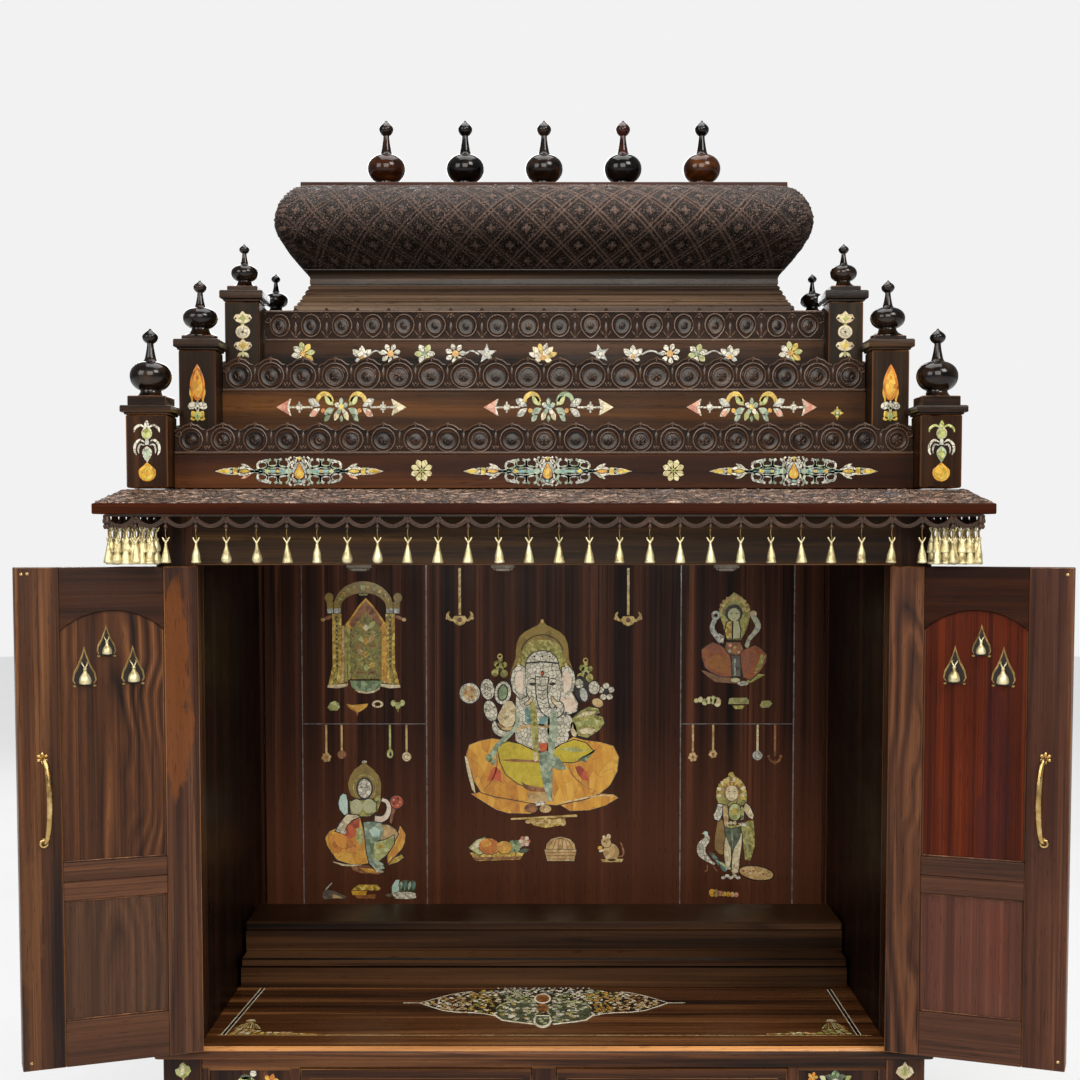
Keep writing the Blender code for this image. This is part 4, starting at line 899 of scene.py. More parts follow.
# side walls: a board with two sunk fields, outside only, and plain within
for side, s in (("left", -1), ("right", 1)):
    node = "cabinet_side_" + side
    x, y, z = span_of(node)
    b = Build()
    out = x[0] if s < 0 else x[1]
    inn = x[1] if s < 0 else x[0]
    # the inner board takes the darker painted shade copy (slot 0)
    block(b, (inn, out - s * 0.004), y, z, 0.0008, 0, 1)
    # the outer frame boards, 4 mm thick, round two fields
    y0, y1 = y
    z0, z1 = z
    rail, stile = 0.052, 0.046
    mid = z0 + (z1 - z0) * 0.40
    for a0, a1, c0, c1, m in ((y0, y0 + stile, z0, z1, 3), (y1 - stile, y1, z0, z1, 3), (y0 + stile, y1 - stile, z0, z0 + rail, 2),
                              (y0 + stile, y1 - stile, z1 - rail, z1, 2), (y0 + stile, y1 - stile, mid, mid + rail * 0.8, 2)):
        block(b, (out - s * 0.0042, out), (a0 + 0.0001, a1 - 0.0001), (c0 + 0.0001, c1 - 0.0001), 0.0013, m, 1)
    for c0, c1 in ((z0 + rail, mid), (mid + rail * 0.8, z1 - rail)):
        block(b, (out - s * 0.0046, out - s * 0.0034), (y0 + stile + 0.0002, y1 - stile - 0.0002), (c0 + 0.0002, c1 - 0.0002), 0.0004, 3, 3)
    b.piece(node + ".board", [W_SIDE_PAINTED_SHADE, W_POST_WORN, W_DEPTH, W_SIDE_OUT], "cabinet", (node,), "rosewood")

plain_board("cabinet_back_panel", W_BACKW, W_POST_WORN, slot="rosewood_red")
plain_board("head_beam", W_BEAM, W_EDGE_X)
# the ridge board laps over the shoulder of the roof in front and behind
x, y, z = span_of("roof_ridge_board")
b = Build()
block(b, x, (y[0] - 0.030, y[1] + 0.030), (z[0] - 0.0045, z[1]), 0.0008, 0, 0)
b.piece("roof_ridge_board.board", [W_RIDGE], "cabinet", ("roof_ridge_board",), "carved_rosewood")
plain_board("base_back_panel", W_SIDE_OUT, W_POST_WORN)
plain_board("base_bottom_board", W_BASE, W_EDGE_X)

# rear rails that break up the plain back
b = Build()
x, y, z = span_of("cabinet_back_panel")
for k in range(1, 5):
    xm = x[0] + (x[1] - x[0]) * k / 5
    block(b, (xm - 0.0011, xm + 0.0011), (y[1] - 0.0006, y[1] + 0.0006), (z[0] + 0.01, z[1] - 0.01), 0.0004, 0)
b.piece("back_panel_joint_beads", [W_POST], "cabinet", (), "rosewood")

# base ends: two legs and a framed panel between
for side, s in (("left", -1), ("right", 1)):
    node = "base_end_" + side
    x, y, z = span_of(node)
    b = Build()
    block(b, x, (y[0], POST_Y1), z, 0.0014, 0, 1)
    block(b, x, (y[1] - (POST_Y1 - y[0]), y[1]), z, 0.0014, 0, 1)
    a0, a1 = s * (HALF - 0.022), s * (HALF - 0.007)
    ya, yb = POST_Y1, y[1] - (POST_Y1 - y[0])
    za, zb = 0.024, z[1]
    block(b, (a0, a1 - s * 0.005), (ya - 0.001, yb + 0.001), (za, zb), 0.0008, 2, 1)
    for p, q, c, d in ((ya - 0.001, yb + 0.001, zb - 0.026, zb), (ya - 0.001, yb + 0.001, za, za + 0.026)):
        block(b, (a1 - s * 0.0052, a1), (p, q), (c, d), 0.0012, 2, 1)
    for p in (ya - 0.001, (ya + yb) / 2 - 0.017, yb - 0.033):
        block(b, (a1 - s * 0.0052, a1), (p, p + 0.034), (za + 0.0261, zb - 0.0261), 0.0012, 0, 1)
    b.piece(node + ".frame", [W_POST, W_POST_WORN, W_DEPTH], "cabinet", (node,), "rosewood")

# front frame of the base, its two sunk fields and the drawer openings
x, y, z = span_of("base_front_frame")
dz0, dz1 = lo("drawer_left").z, hi("drawer_left").z
dx0, dx1 = abs(hi("drawer_left").x) - 0.0008, abs(lo("drawer_left").x) + 0.0008
op0, op1 = dz0 - 0.0006, dz1 + 0.0012
b = Build()
block(b, x, y, (z[0], op0), 0.0009, 0, 1)
block(b, x, y, (op1, z[1]), 0.0009, 0, 1)
block(b, (-dx0, dx0), y, (op0, op1), 0.0007, 2, 1)
PX0, PX1 = 0.334, 0.440
for s in (-1, 1):
    block(b, (s * dx1, s * PX0), y, (op0, op1), 0.0007, 2, 1)
    block(b, (s * PX1, s * abs(x[0])), y, (op0, op1), 0.0007, 2, 1)
    block(b, (s * PX0, s * PX1), (y[0] + 0.004, y[1]), (op0, op1), 0.0005, 2, 1)
    for z0, z1 in ((op0, op0 + 0.004), (op1 - 0.004, op1)):
        block(b, (s * PX0, s * PX1), (y[0] + 0.0006, y[1]), (z0, z1), 0.0008, 0, 1)
b.piece("base_front_frame.boards", [W_BASE, W_EDGE_X, W_POST], "cabinet", ("base_front_frame",), "rosewood")

# top board: a rounded nosing on three sides
x, y, z = span_of("base_top_board")
b = Build()
t = z[1] - z[0]
prof = [(0.0045, 0.0), (0.0012, 0.0016), (0.0, 0.0048), (0.0, 0.0088), (0.0012, 0.0122), (0.0036, 0.0150), (0.0078, 0.0167), (0.0120, t)]
verts, faces, mats = [], [], []
for ins, h in prof:
    verts += [(x[0] + ins, y[0] + ins, z[0] + h), (x[1] - ins, y[0] + ins, z[0] + h), (x[1] - ins, y[1], z[0] + h), (x[0] + ins, y[1], z[0] + h)]
for k in range(len(prof) - 1):
    for i in range(4):
        j = (i + 1) % 4
        faces.append((4 * k + i, 4 * k + j, 4 * k + 4 + j, 4 * k + 4 + i))
        # the rounded nosing faces take the painted highlight (slot 3)
        mats.append(3 if k in (4, 5) else 0)
faces += [(3, 2, 1, 0), tuple(range(4 * len(prof) - 4, 4 * len(prof)))]
mats += [0, 2]
b.add(verts, faces, mats, False)
b.piece("base_top_board.board", [W_BASE, W_EDGE_X, W_FLOOR, W_NOSING_PAINTED_HIGHLIGHT], "cabinet", ("base_top_board",), "rosewood")

# step platform from boards
x, y, z = span_of("step_platform")
w = 0.014
s1 = 0.302 - 0.260
h1 = 0.044
b = Build()
yb0, yb1 = y[0], y[1]
zt1, zt2 = z[0] + h1, z[1]
block(b, x, (yb0 + 0.001, yb0 + w), (z[0], zt1 - w), 0.0006, 1, 2)
block(b, x, (yb0, yb0 + s1 + w), (zt1 - w, zt1), 0.0026, 0, 2)
block(b, x, (yb0 + s1 + 0.001, yb0 + s1 + w), (zt1, zt2 - w), 0.0006, 1, 2)
block(b, x, (yb0 + s1, yb1), (zt2 - w, zt2), 0.0026, 0, 2)
block(b, x, (yb1 - w, yb1), (z[0], zt2 - w), 0.0006, 1, 2)
for s in (-1, 1):
    block(b, (s * (x[1] - w), s * x[1]), (yb0 + w, yb1 - w), (z[0], zt1 - w), 0.0006, 1, 2)
    block(b, (s * (x[1] - w), s * x[1]), (yb0 + s1 + w, yb1 - w), (zt1 - w, zt2 - w), 0.0006, 1, 2)
b.piece("step_platform.boards", [W_STEP, W_STEP, W_STEP_EDGE], "cabinet", ("step_platform",), "rosewood")

# tier boxes: a shell of front, sides, back and deck over the same plan
TIER_MAT = {"lower": W_TIER1, "middle": W_TIER2, "upper": W_TIER3}
NEWEL = {}
for lv in LEVELS:
    x, y, z = span_of("tier_" + lv)
    nx, ny, nz = span_of("newel_%s_front_right" % lv)
    post = 0.0525 if lv == "lower" else 0.0480 if lv == "middle" else 0.0460
    mid = (nx[0] + nx[1]) / 2
    midy = (ny[0] + ny[1]) / 2
    by = span_of("newel_%s_back_right" % lv)[1]
    backy = (by[0] + by[1]) / 2
    NEWEL[lv] = dict(x=mid, y=midy, back=backy, w=post)
    nin = mid - post / 2 - 0.0003
    d0 = midy + post / 2 + 0.0003
    d1 = backy - post / 2 - 0.0003
    plan = [(-nin, y[0]), (nin, y[0]), (nin, d0), (x[1], d0), (x[1], d1), (nin, d1), (nin, y[1]),
            (-nin, y[1]), (-nin, d1), (x[0], d1), (x[0], d0), (-nin, d0)]
    b = Build()
    prism(b, plan, z[0], z[1], 0.0010, 0, 1)
    b.piece("tier_%s.box" % lv, [TIER_MAT[lv], TIER_MAT[lv]], "cabinet", ("tier_" + lv,), "rosewood")

# drawers: dovetailed box, front with a fine ebony line, brass bow pull
for side, s in (("left", -1), ("right", 1)):
    node = "drawer_" + side
    x, y, z = span_of(node)
    ft, wl, fl = 0.0135, 0.010, 0.007
    b = Build()
    block(b, x, (y[0], y[0] + ft), z, 0.0012, 0, 1)
    block(b, (x[0] + 0.0006, x[0] + wl), (y[0] + ft, y[1]), (z[0], z[1] - 0.004), 0.0006, 2, 1)
    block(b, (x[1] - wl, x[1] - 0.0006), (y[0] + ft, y[1]), (z[0], z[1] - 0.004), 0.0006, 2, 1)
    block(b, (x[0] + wl, x[1] - wl), (y[1] - wl, y[1]), (z[0], z[1] - 0.004), 0.0006, 0, 1)
    block(b, (x[0] + wl, x[1] - wl), (y[0] + ft, y[1] - wl), (z[0], z[0] + fl), 0.0004, 2, 1)
    # raised field and its line
    m = 0.012
    block(b, (x[0] + m, x[1] - m), (y[0] - 0.0009, y[0] + 0.002), (z[0] + m, z[1] - m), 0.0009, 0, 1)
    for a0, a1, c0, c1 in ((x[0] + m + .004, x[1] - m - .004, z[0] + m + .004, z[0] + m + .0052), (x[0] + m + .004, x[1] - m - .004, z[1] - m - .0052, z[1] - m - .004),
                           (x[0] + m + .004, x[0] + m + .0052, z[0] + m + .004, z[1] - m - .004), (x[1] - m - .0052, x[1] - m - .004, z[0] + m + .004, z[1] - m - .004)):
        block(b, (a0, a1), (y[0] - 0.0012, y[0] - 0.0002), (c0, c1), 0.0002, 3, 3)
    # dovetails on the drawer sides
    for k in range(4):
        zc = z[0] + 0.012 + k * (z[1] - z[0] - 0.028) / 3
        for xs in (x[0], x[1]):
            e = 1 if xs > (x[0] + x[1]) / 2 else -1
            block(b, (xs - e * 0.0018, xs - e * 0.0001), (y[0] + 0.003, y[0] + ft + 0.001), (zc - 0.005, zc + 0.005), 0.0004, 2, 1)
    b.piece(node + ".box", [W_DRAWER, W_EDGE_X, W_DEPTH, INK], body_with(node), (node,), "rosewood")

    node = "drawer_pull_" + side
    x, y, z = span_of(node)
    zc = (z[0] + z[1]) / 2
    half = (x[1] - x[0]) / 2 - 0.0024
    xc = (x[0] + x[1]) / 2
    face = lo("drawer_" + side).y - 0.0009
    out = face - y[0] - 0.0028
    pts = [(xc - half, face - 0.0004, zc), (xc - half, face - 0.35 * out, zc)]
    for k in range(1, 8):
        t = k / 8
        pts.append((xc - half * cos(pi * t), face - out * (0.45 + 0.55 * sin(pi * t) ** 0.8), zc - 0.0012 * sin(pi * t)))
    pts += [(xc + half, face - 0.35 * out, zc), (xc + half, face - 0.0004, zc)]
    line = smooth_line(pts, 4)
    n = len(line) - 1
    b = Build()
    pipe(b, line, [0.0024 + 0.0007 * sin(pi * i / n) ** 2 for i in range(n + 1)], 12)
    for e in (-1, 1):
        at = facing(xc + e * half, face, zc)
        revolve(b, [(0, 0), (0.0072, 0), (0.0072, 0.0008), (0.0058, 0.0017), (0.0046, 0.0021), (0.0036, 0.0034), (0, 0.0036)], 20, at=at)
        revolve(b, [(0, 0), (0.0031, 0), (0.0038, 0.0009), (0.0038, 0.0017), (0.0028, 0.0026), (0, 0.0028)], 16,
                at=Matrix.Translation((xc + e * half * 0.93, face - 0.62 * out, zc)) @ Matrix.Rotation(pi / 2, 4, 'Y'))
    b.piece(node + ".bow", [BRASS], body_with(node), (node,), "brass")


# ------------------------------------------------------------ folding doors
W_LEAF, T_LEAF, A_OPEN = 0.2235, 0.017, radians(159)
Z_LEAF0, Z_LEAF1 = lo("door_left_hinge_leaf").z, hi("door_left_hinge_leaf").z
LOW0 = Z_LEAF0 + 0.0576
LOW1 = LOW0 + 0.153
UP0 = LOW1 + 0.0473
UP1 = UP0 + 0.289
RISE = 0.025


def turn2(x, y, a):
    return x * cos(a) - y * sin(a), x * sin(a) + y * cos(a)


def pin_point(s, x, y):
    u, v = turn2(-s * x, y, s * A_OPEN)
    return s * OPEN + u, FY - 0.0015 + v


def leaf_frame(s, kind):
    """Local x runs from the fold edge, local y from the leaf's outer face
    inward, z is up."""
    if kind == "fold":
        def f(x, y):
            return pin_point(s, W_LEAF + 0.0005 - x, T_LEAF + 0.0005 - (y - T_LEAF - 0.0005))
    else:
        def f(x, y):
            return pin_point(s, W_LEAF - x, y)
    o, px, py = f(0, 0), f(1, 0), f(0, 1)
    return Matrix(((px[0] - o[0], py[0] - o[0], 0, o[0]), (px[1] - o[1], py[1] - o[1], 0, o[1]), (0, 0, 1, 0), (0, 0, 0, 1)))


def upright(b, pts, y0, y1, c, mat, worn, at):
    """A board whose outline is drawn in x-z, from depth y0 to y1."""
    lay = Matrix(((1, 0, 0, 0), (0, 0, 1, 0), (0, 1, 0, 0), (0, 0, 0, 1)))
    prism(b, pts, y0, y1, c, mat, worn, at @ lay)


def arch_top(x0, x1, z, n=18):
    half, mid = (x1 - x0) / 2, (x0 + x1) / 2
    rad = (half * half + RISE * RISE) / (2 * RISE)
    return [(x0 + (x1 - x0) * i / n, z + sqrt(rad * rad - (x0 + (x1 - x0) * i / n - mid) ** 2) - (rad - RISE)) for i in range(n + 1)]


DOOR_WOOD = {-1: (W_FRAME_L, W_FRAME_SAP, W_RAIL_L, W_UP_L), 1: (W_FRAME_R, W_FRAME_R_IN, W_RAIL_R, W_UP_R)}
DOORS = {}
for side, s in (("left", -1), ("right", 1)):
    for kind in ("fold", "hinge"):
        node = "door_%s_%s_leaf" % (side, kind)
        at = leaf_frame(s, kind)
        x0, x1 = (0.0005, W_LEAF - 0.001) if kind == "fold" else (0.0, W_LEAF - 0.001)
        a, c = x0 + 0.052, x1 - 0.043
        DOORS[side, kind] = (at, x0, x1, a, c)
        stile, inner, rail, panel = DOOR_WOOD[s]
        b = Build()
        g = 0.00012
        ch = 0.0009
        block(b, (x0, a - g), (0, T_LEAF), (Z_LEAF0, Z_LEAF1), ch, 0, 5, at)
        block(b, (c + g, x1), (0, T_LEAF), (Z_LEAF0, Z_LEAF1), ch, 1, 5, at)
        block(b, (a, c), (0, T_LEAF), (Z_LEAF0, LOW0), ch, 2, 2, at)
        block(b, (a, c), (0, T_LEAF), (LOW1, LOW1 + 0.0235), ch, 2, 2, at)
        block(b, (a, c), (0, T_LEAF), (LOW1 + 0.0237, UP0), ch, 2, 2, at)
        head = [(a, Z_LEAF1), (c, Z_LEAF1)] + [(x, z) for x, z in arch_top(a, c, UP1)[::-1]]
        upright(b, head, 0, T_LEAF, ch, 6, 6, at)
        upright(b, [(a + g, UP0 + g), (c - g, UP0 + g)] + [(x, z - g) for x, z in arch_top(a + g, c - g, UP1)[::-1]],
                0.004, T_LEAF - 0.004, 0.0004, 3, 3, at)
        block(b, (a + g, c - g), (0.004, T_LEAF - 0.004), (LOW0 + g, LOW1 - g), 0.0004, 4, 4, at)
        # a thin bead round each field, front and back
        for y0, y1 in ((0.0022, 0.0042), (T_LEAF - 0.0042, T_LEAF - 0.0022)):
            for z0, z1 in ((LOW0, LOW1), (UP0, UP1)):
                block(b, (a, a + 0.0022), (y0, y1), (z0, z1), 0.0007, 0, 5, at)
                block(b, (c - 0.0022, c), (y0, y1), (z0, z1), 0.0007, 0, 5, at)
                block(b, (a + 0.0022, c - 0.0022), (y0, y1), (z0, z0 + 0.0022), 0.0007, 2, 5, at)
            block(b, (a + 0.0022, c - 0.0022), (y0, y1), (LOW1 - 0.0022, LOW1), 0.0007, 2, 5, at)
        b.piece(node + ".boards", [stile, inner, rail, panel, W_LOW if s < 0 else W_LOW_R, W_DOOR_WORN, W_RAIL_TOP if s < 0 else W_RAIL_TOP_R], body_with(node), (node,),
                "rosewood" if s < 0 else "rosewood_red")


def door_bell(b, at, size=1.0, back=True):
    """A small cast bell on its forked hook, standing off the panel; local
    y is up, z off the face, origin at the bell's mouth."""
    k = size
    up = at @ Matrix.Rotation(-pi / 2, 4, 'X')          # local z of the lathe now runs along y
    lathe = at @ Matrix(((1, 0, 0, 0), (0, 0, 1, 0), (0, -1, 0, 0), (0, 0, 0, 1)))
    lathe = at @ Matrix.Translation((0, 0, 0.0088 * k)) @ Matrix(((1, 0, 0, 0), (0, 0, 1, 0), (0, 1, 0, 0), (0, 0, 0, 1)))
    revolve(b, [(0, 0.0010 * k), (0.0040 * k, 0.0), (0.0068 * k, 0.0006 * k), (0.0076 * k, 0.0024 * k), (0.0074 * k, 0.0052 * k), (0.0066 * k, 0.0086 * k),
                (0.0048 * k, 0.0118 * k), (0.0028 * k, 0.0145 * k), (0.0020 * k, 0.0180 * k), (0.0026 * k, 0.0192 * k), (0.0018 * k, 0.0206 * k), (0, 0.0212 * k)], 20, at=lathe)
    for e in (-1, 1):
        pts = [(0, 0.0195 * k, 0.0088 * k), (e * 0.0020 * k, 0.0235 * k, 0.0080 * k), (e * 0.0036 * k, 0.0262 * k, 0.0050 * k), (e * 0.0030 * k, 0.0272 * k, -0.0004)]
        pipe(b, smooth_line(pts, 4), 0.00085 * k, 8, at=at)
    return up


def panel_bells(side, s):
    """Three bells in a triangle on the arched panel, each on a dark backing."""
    at, x0, x1, a, c = DOORS[side, "fold"]
    mid = (a + c) / 2
    b = Build()
    top = UP1 + RISE
    spots = ((mid - 0.007, top - 0.0545, 0.80), (mid - 0.034, top - 0.091, 1.0), (mid + 0.025, top - 0.090, 0.98))
    for bx, bz, k in spots:
        # the leaf's frame has y inward; the bell's own frame has z outward
        o = at @ Vector((bx, 0.004, bz))
        ux = (at.to_3x3() @ Vector((1, 0, 0))).normalized() * (-s)
        if ux.x < 0:
            ux = -ux
        fr = facing(o.x, o.y, o.z, ux, (0, 0, 1))
        door_bell(b, fr, k)
        # dark pierced backing with a thin rim: a pointed drop, and a shelf with two toes
        for grow, mat, up in ((1.14, 2, 0.45), (1.0, 1, 0.75)):
            q = k * grow * 1.12
            tile(b, [(-8.0 * q, -2.5), (8.0 * q, -2.5), (11.6 * q, 4 * q), (10.4 * q, 11 * q), (6.0 * q, 19 * q), (2.2 * q, 29 * q), (0, 37 * q),
                     (-2.2 * q, 29 * q), (-6.0 * q, 19 * q), (-10.4 * q, 11 * q), (-11.6 * q, 4 * q)], fr, mat, rise=up, edge=0.4)
        if k > 0.7:
            tile(b, [(-13 * k, -2.5), (13 * k, -2.5), (11 * k, 0.8), (-11 * k, 0.8)], fr, 1, rise=1.3, edge=0.5)
            for e in (-1, 1):
                tile(b, ell(e * 12.0 * k, -2.4, 2.3, 1.7, n=12), fr, 2, rise=1.7, edge=0.4)
    b.piece("door_bells_" + side, [BRASS_PALE, SHADOW_WOOD, BRASS_DULL], "%s_fold_leaf" % side, (), "brass")


def bow_handle(side, s):
    """A cast rosette at the top foot, a flat-bellied bow, a ring at the bottom foot."""
    at, x0, x1, a, c = DOORS[side, "fold"]
    node = "door_handle_" + side
    z0, z1 = lo(node).z + 0.0028, hi(node).z - 0.0028
    hx = 0.030
    b = Build()
    pts = [(hx, -0.0006, z0), (hx, -0.008, z0)]
    L = z1 - z0
    for k in range(1, 12):
        t = k / 12
        pts.append((hx + 0.0066 * sin(pi * t), -0.022 * (0.45 + 0.55 * sin(pi * t) ** 0.8), z0 + L * (0.5 - 0.5 * cos(pi * t))))
    pts += [(hx, -0.008, z1), (hx, -0.0006, z1)]
    line = smooth_line(pts, 5)
    n = len(line) - 1
    pipe(b, line, [0.0024 + 0.0016 * sin(pi * i / n) ** 1.5 for i in range(n + 1)], 14, at=at)
    ux = (at.to_3x3() @ Vector((1, 0, 0))).normalized()
    if ux.x < 0:
        ux = -ux
    top = at @ Vector((hx, 0, z1))
    fr = facing(top.x, top.y, top.z, ux, (0, 0, 1))
    # rosette: six lobes round a boss
    for k in range(6):
        t = radians(90 + 60 * k)
        domed(b, ell(5.0 * cos(t), 5.0 * sin(t), 3.0, 2.5, degrees_of(t), 14), fr, 0, rise=2.4, rings=4)
    domed(b, ell(0, 0, 3.6, 3.6, n=16), fr, 0, rise=4.0, rings=4)
    low = at @ Vector((hx, 0, z0))
    fr = facing(low.x, low.y, low.z, ux, (0, 0, 1))
    ring = [(0.0042 * cos(2 * pi * i / 24), -0.0018 + 0.0042 * sin(2 * pi * i / 24), 0.0018) for i in range(24)]
    pipe(b, ring, 0.0017, 10, at=fr, closed=True)
    domed(b, ell(0, 3.2, 2.6, 2.2, n=14), fr, 0, rise=2.6, rings=4)
    b.piece(node + ".bow", [BRASS], "%s_fold_leaf" % side, (node,), "brass")


def degrees_of(t):
    return t * 180 / pi


def door_pins(side, s):
    """Small brass hinge and corner pins on the visible leaf."""
    at, x0, x1, a, c = DOORS[side, "fold"]
    b = Build()
    ux = (at.to_3x3() @ Vector((1, 0, 0))).normalized()
    if ux.x < 0:
        ux = -ux
    spots = [(0.009, Z_LEAF1 - 0.008), (0.016, Z_LEAF1 - 0.0075), (0.011, Z_LEAF0 + 0.010)] if s < 0 else [(0.008, Z_LEAF1 - 0.0085), (0.009, Z_LEAF0 + 0.012)]
    for px, pz in spots:
        o = at @ Vector((px, 0, pz))
        fr = facing(o.x, o.y, o.z, ux, (0, 0, 1))
        domed(b, ell(0, 0, 2.6, 2.2, n=14), fr, 0, rise=1.6, rings=4)
        domed(b, ell(0, 0, 1.2, 1.2, n=10), fr, 0, rise=2.4, rings=3)
    b.piece("door_pins_" + side, [BRASS], "%s_fold_leaf" % side, (), "brass")
    # butt hinge knuckles between post and leaf, on the post's inner edge
    b = Build()
    for z in (Z_LEAF0 + 0.06, (Z_LEAF0 + Z_LEAF1) / 2, Z_LEAF1 - 0.06):
        revolve(b, [(0, -0.016), (0.0017, -0.016), (0.0017, -0.0156), (0.0014, -0.0154), (0.0014, -0.0052), (0.0017, -0.005), (0.0017, 0.005), (0.0014, 0.0052),
                    (0.0014, 0.0154), (0.0017, 0.0156), (0.0017, 0.016), (0, 0.016)], 12, (s * OPEN, FY - 0.0015, z))
    b.piece("post_hinge_knuckles_" + side, [BRASS_DULL], "cabinet", (), "brass")


for side, s in (("left", -1), ("right", 1)):
    panel_bells(side, s)
    bow_handle(side, s)
    door_pins(side, s)


# ------------------------------------------------------------ relief patches
def relief(b, nu, nv, place, height, mat=0, skirt=0.0015):
    """A carved face: a grid of nu by nv cells. place(u, v) gives a point and
    an outward normal, height(u, v) how far the carving stands out there."""
    verts = []
    under = []
    for j in range(nv + 1):
        for i in range(nu + 1):
            u, v = i / nu, j / nv
            p, n = place(u, v)
            edge = i in (0, nu) or j in (0, nv)
            verts.append(p + n * (0.0 if edge else height(u, v)))
            if edge:
                under.append((i, j, p - n * skirt))
    faces = [(j * (nu + 1) + i, j * (nu + 1) + i + 1, (j + 1) * (nu + 1) + i + 1, (j + 1) * (nu + 1) + i) for j in range(nv) for i in range(nu)]
    loop = [(i, 0) for i in range(nu)] + [(nu, j) for j in range(nv)] + [(i, nv) for i in range(nu, 0, -1)] + [(0, j) for j in range(nv, 0, -1)]
    low = {(i, j): p for i, j, p in under}
    base = len(verts)
    verts += [low[k] for k in loop]
    m = len(loop)
    for k in range(m):
        a, c = loop[k], loop[(k + 1) % m]
        faces.append((a[1] * (nu + 1) + a[0], base + k, base + (k + 1) % m, c[1] * (nu + 1) + c[0]))
    faces.append(tuple(range(base, base + m)))
    b.add(verts, faces, mat, True)


# ------------------------------------------------------------ eave
x, y, z = span_of("eave_board")
FASCIA = 0.0135
SX, SY = 0.029, 0.043
b = Build()
zf = z[0] + FASCIA
ring = lambda ins, f: [(x[0] + ins, y[0] + ins * f), (x[1] - ins, y[0] + ins * f), (x[1] - ins, y[1]), (x[0] + ins, y[1])]
rows = [(0.0012, z[0]), (0.0, z[0] + 0.0012), (0.0, zf - 0.0016), (0.0007, zf - 0.0004), (0.0024, zf)]
verts, faces, mats = [], [], []
for ins, h in rows:
    verts += [(px, py, h) for px, py in ring(ins, 1.0)]
top = [(x[0] + SX, y[0] + SY), (x[1] - SX, y[0] + SY), (x[1] - SX, y[1] - 0.002), (x[0] + SX, y[1] - 0.002)]
verts += [(px, py, z[1] - 0.0014) for px, py in top]
for k in range(len(rows)):
    for i in range(4):
        j = (i + 1) % 4
        faces.append((4 * k + i, 4 * k + j, 4 * k + 4 + j, 4 * k + 4 + i))
        mats.append(1 if k in (0, 2, 3) else 0 if k == 1 else 2)
faces += [(3, 2, 1, 0), tuple(range(4 * len(rows), 4 * len(rows) + 4))]
mats += [0, 0]
b.add(verts, faces, mats)


def bark(px, py, pz, along, across):
    """Overlapping pointed leaves cut deep and worn ragged."""
    row = 0.5 if across > 0.5 else 0.0
    k = along / 0.019 + row
    f = k - np.floor(k) - 0.5
    t = (across * 2.0) % 1.0
    tip = 1.0 - abs(f) * 2.0
    leafy = max(0.0, tip - 0.85 * t * t) ** 0.6
    vein = 0.5 + 0.5 * cos(26.0 * f * (1.2 - t) + 7.0 * t)
    rag = noise.fractal(Vector((px * 170, py * 170, pz * 170)), 0.9, 2.1, 3)
    chip = noise.noise(Vector((px * 60, py * 60, pz * 60)))
    return 0.0006 + 0.0015 * leafy * (0.50 + 0.50 * vein) + 0.0011 * rag + 0.0006 * chip


def slope_patch(o0, o1, i0, i1, nu, nv):
    """The slope between an outer edge o0-o1 and an inner edge i0-i1."""
    o0, o1, i0, i1 = map(Vector, (o0, o1, i0, i1))
    n = (o1 - o0).cross(i0 - o0).normalized()
    if n.z < 0:
        n = -n
    length = (o1 - o0).length

    def place(u, v):
        return (o0.lerp(o1, u)).lerp(i0.lerp(i1, u), v), n

    def height(u, v):
        p, _ = place(u, v)
        return max(0.0, bark(p.x, p.y, p.z, u * length, v))

    relief(b, nu, nv, place, height, 2, 0.001)


zo, zi = zf, z[1] - 0.0014
e = 0.0026
slope_patch((x[0] + e, y[0] + e, zo), (x[1] - e, y[0] + e, zo), (x[0] + SX, y[0] + SY, zi), (x[1] - SX, y[0] + SY, zi), 620, 26)
slope_patch((x[1] - e, y[0] + e, zo), (x[1] - e, y[1] - e, zo), (x[1] - SX, y[0] + SY, zi), (x[1] - SX, y[1] - 0.002, zi), 250, 16)
slope_patch((x[0] + e, y[1] - e, zo), (x[0] + e, y[0] + e, zo), (x[0] + SX, y[1] - 0.002, zi), (x[0] + SX, y[0] + SY, zi), 250, 16)
b.piece("eave_board.carved", [W_FASCIA, W_FASCIA, C_EAVE], "cabinet", ("eave_board",), "carved_rosewood", sharp=40)

# ------------------------------------------------------------ valance and bells
x, y, z = span_of("eave_valance")
VT = 0.008
PITCH = (x[1] - x[0]) / 29
b = Build()


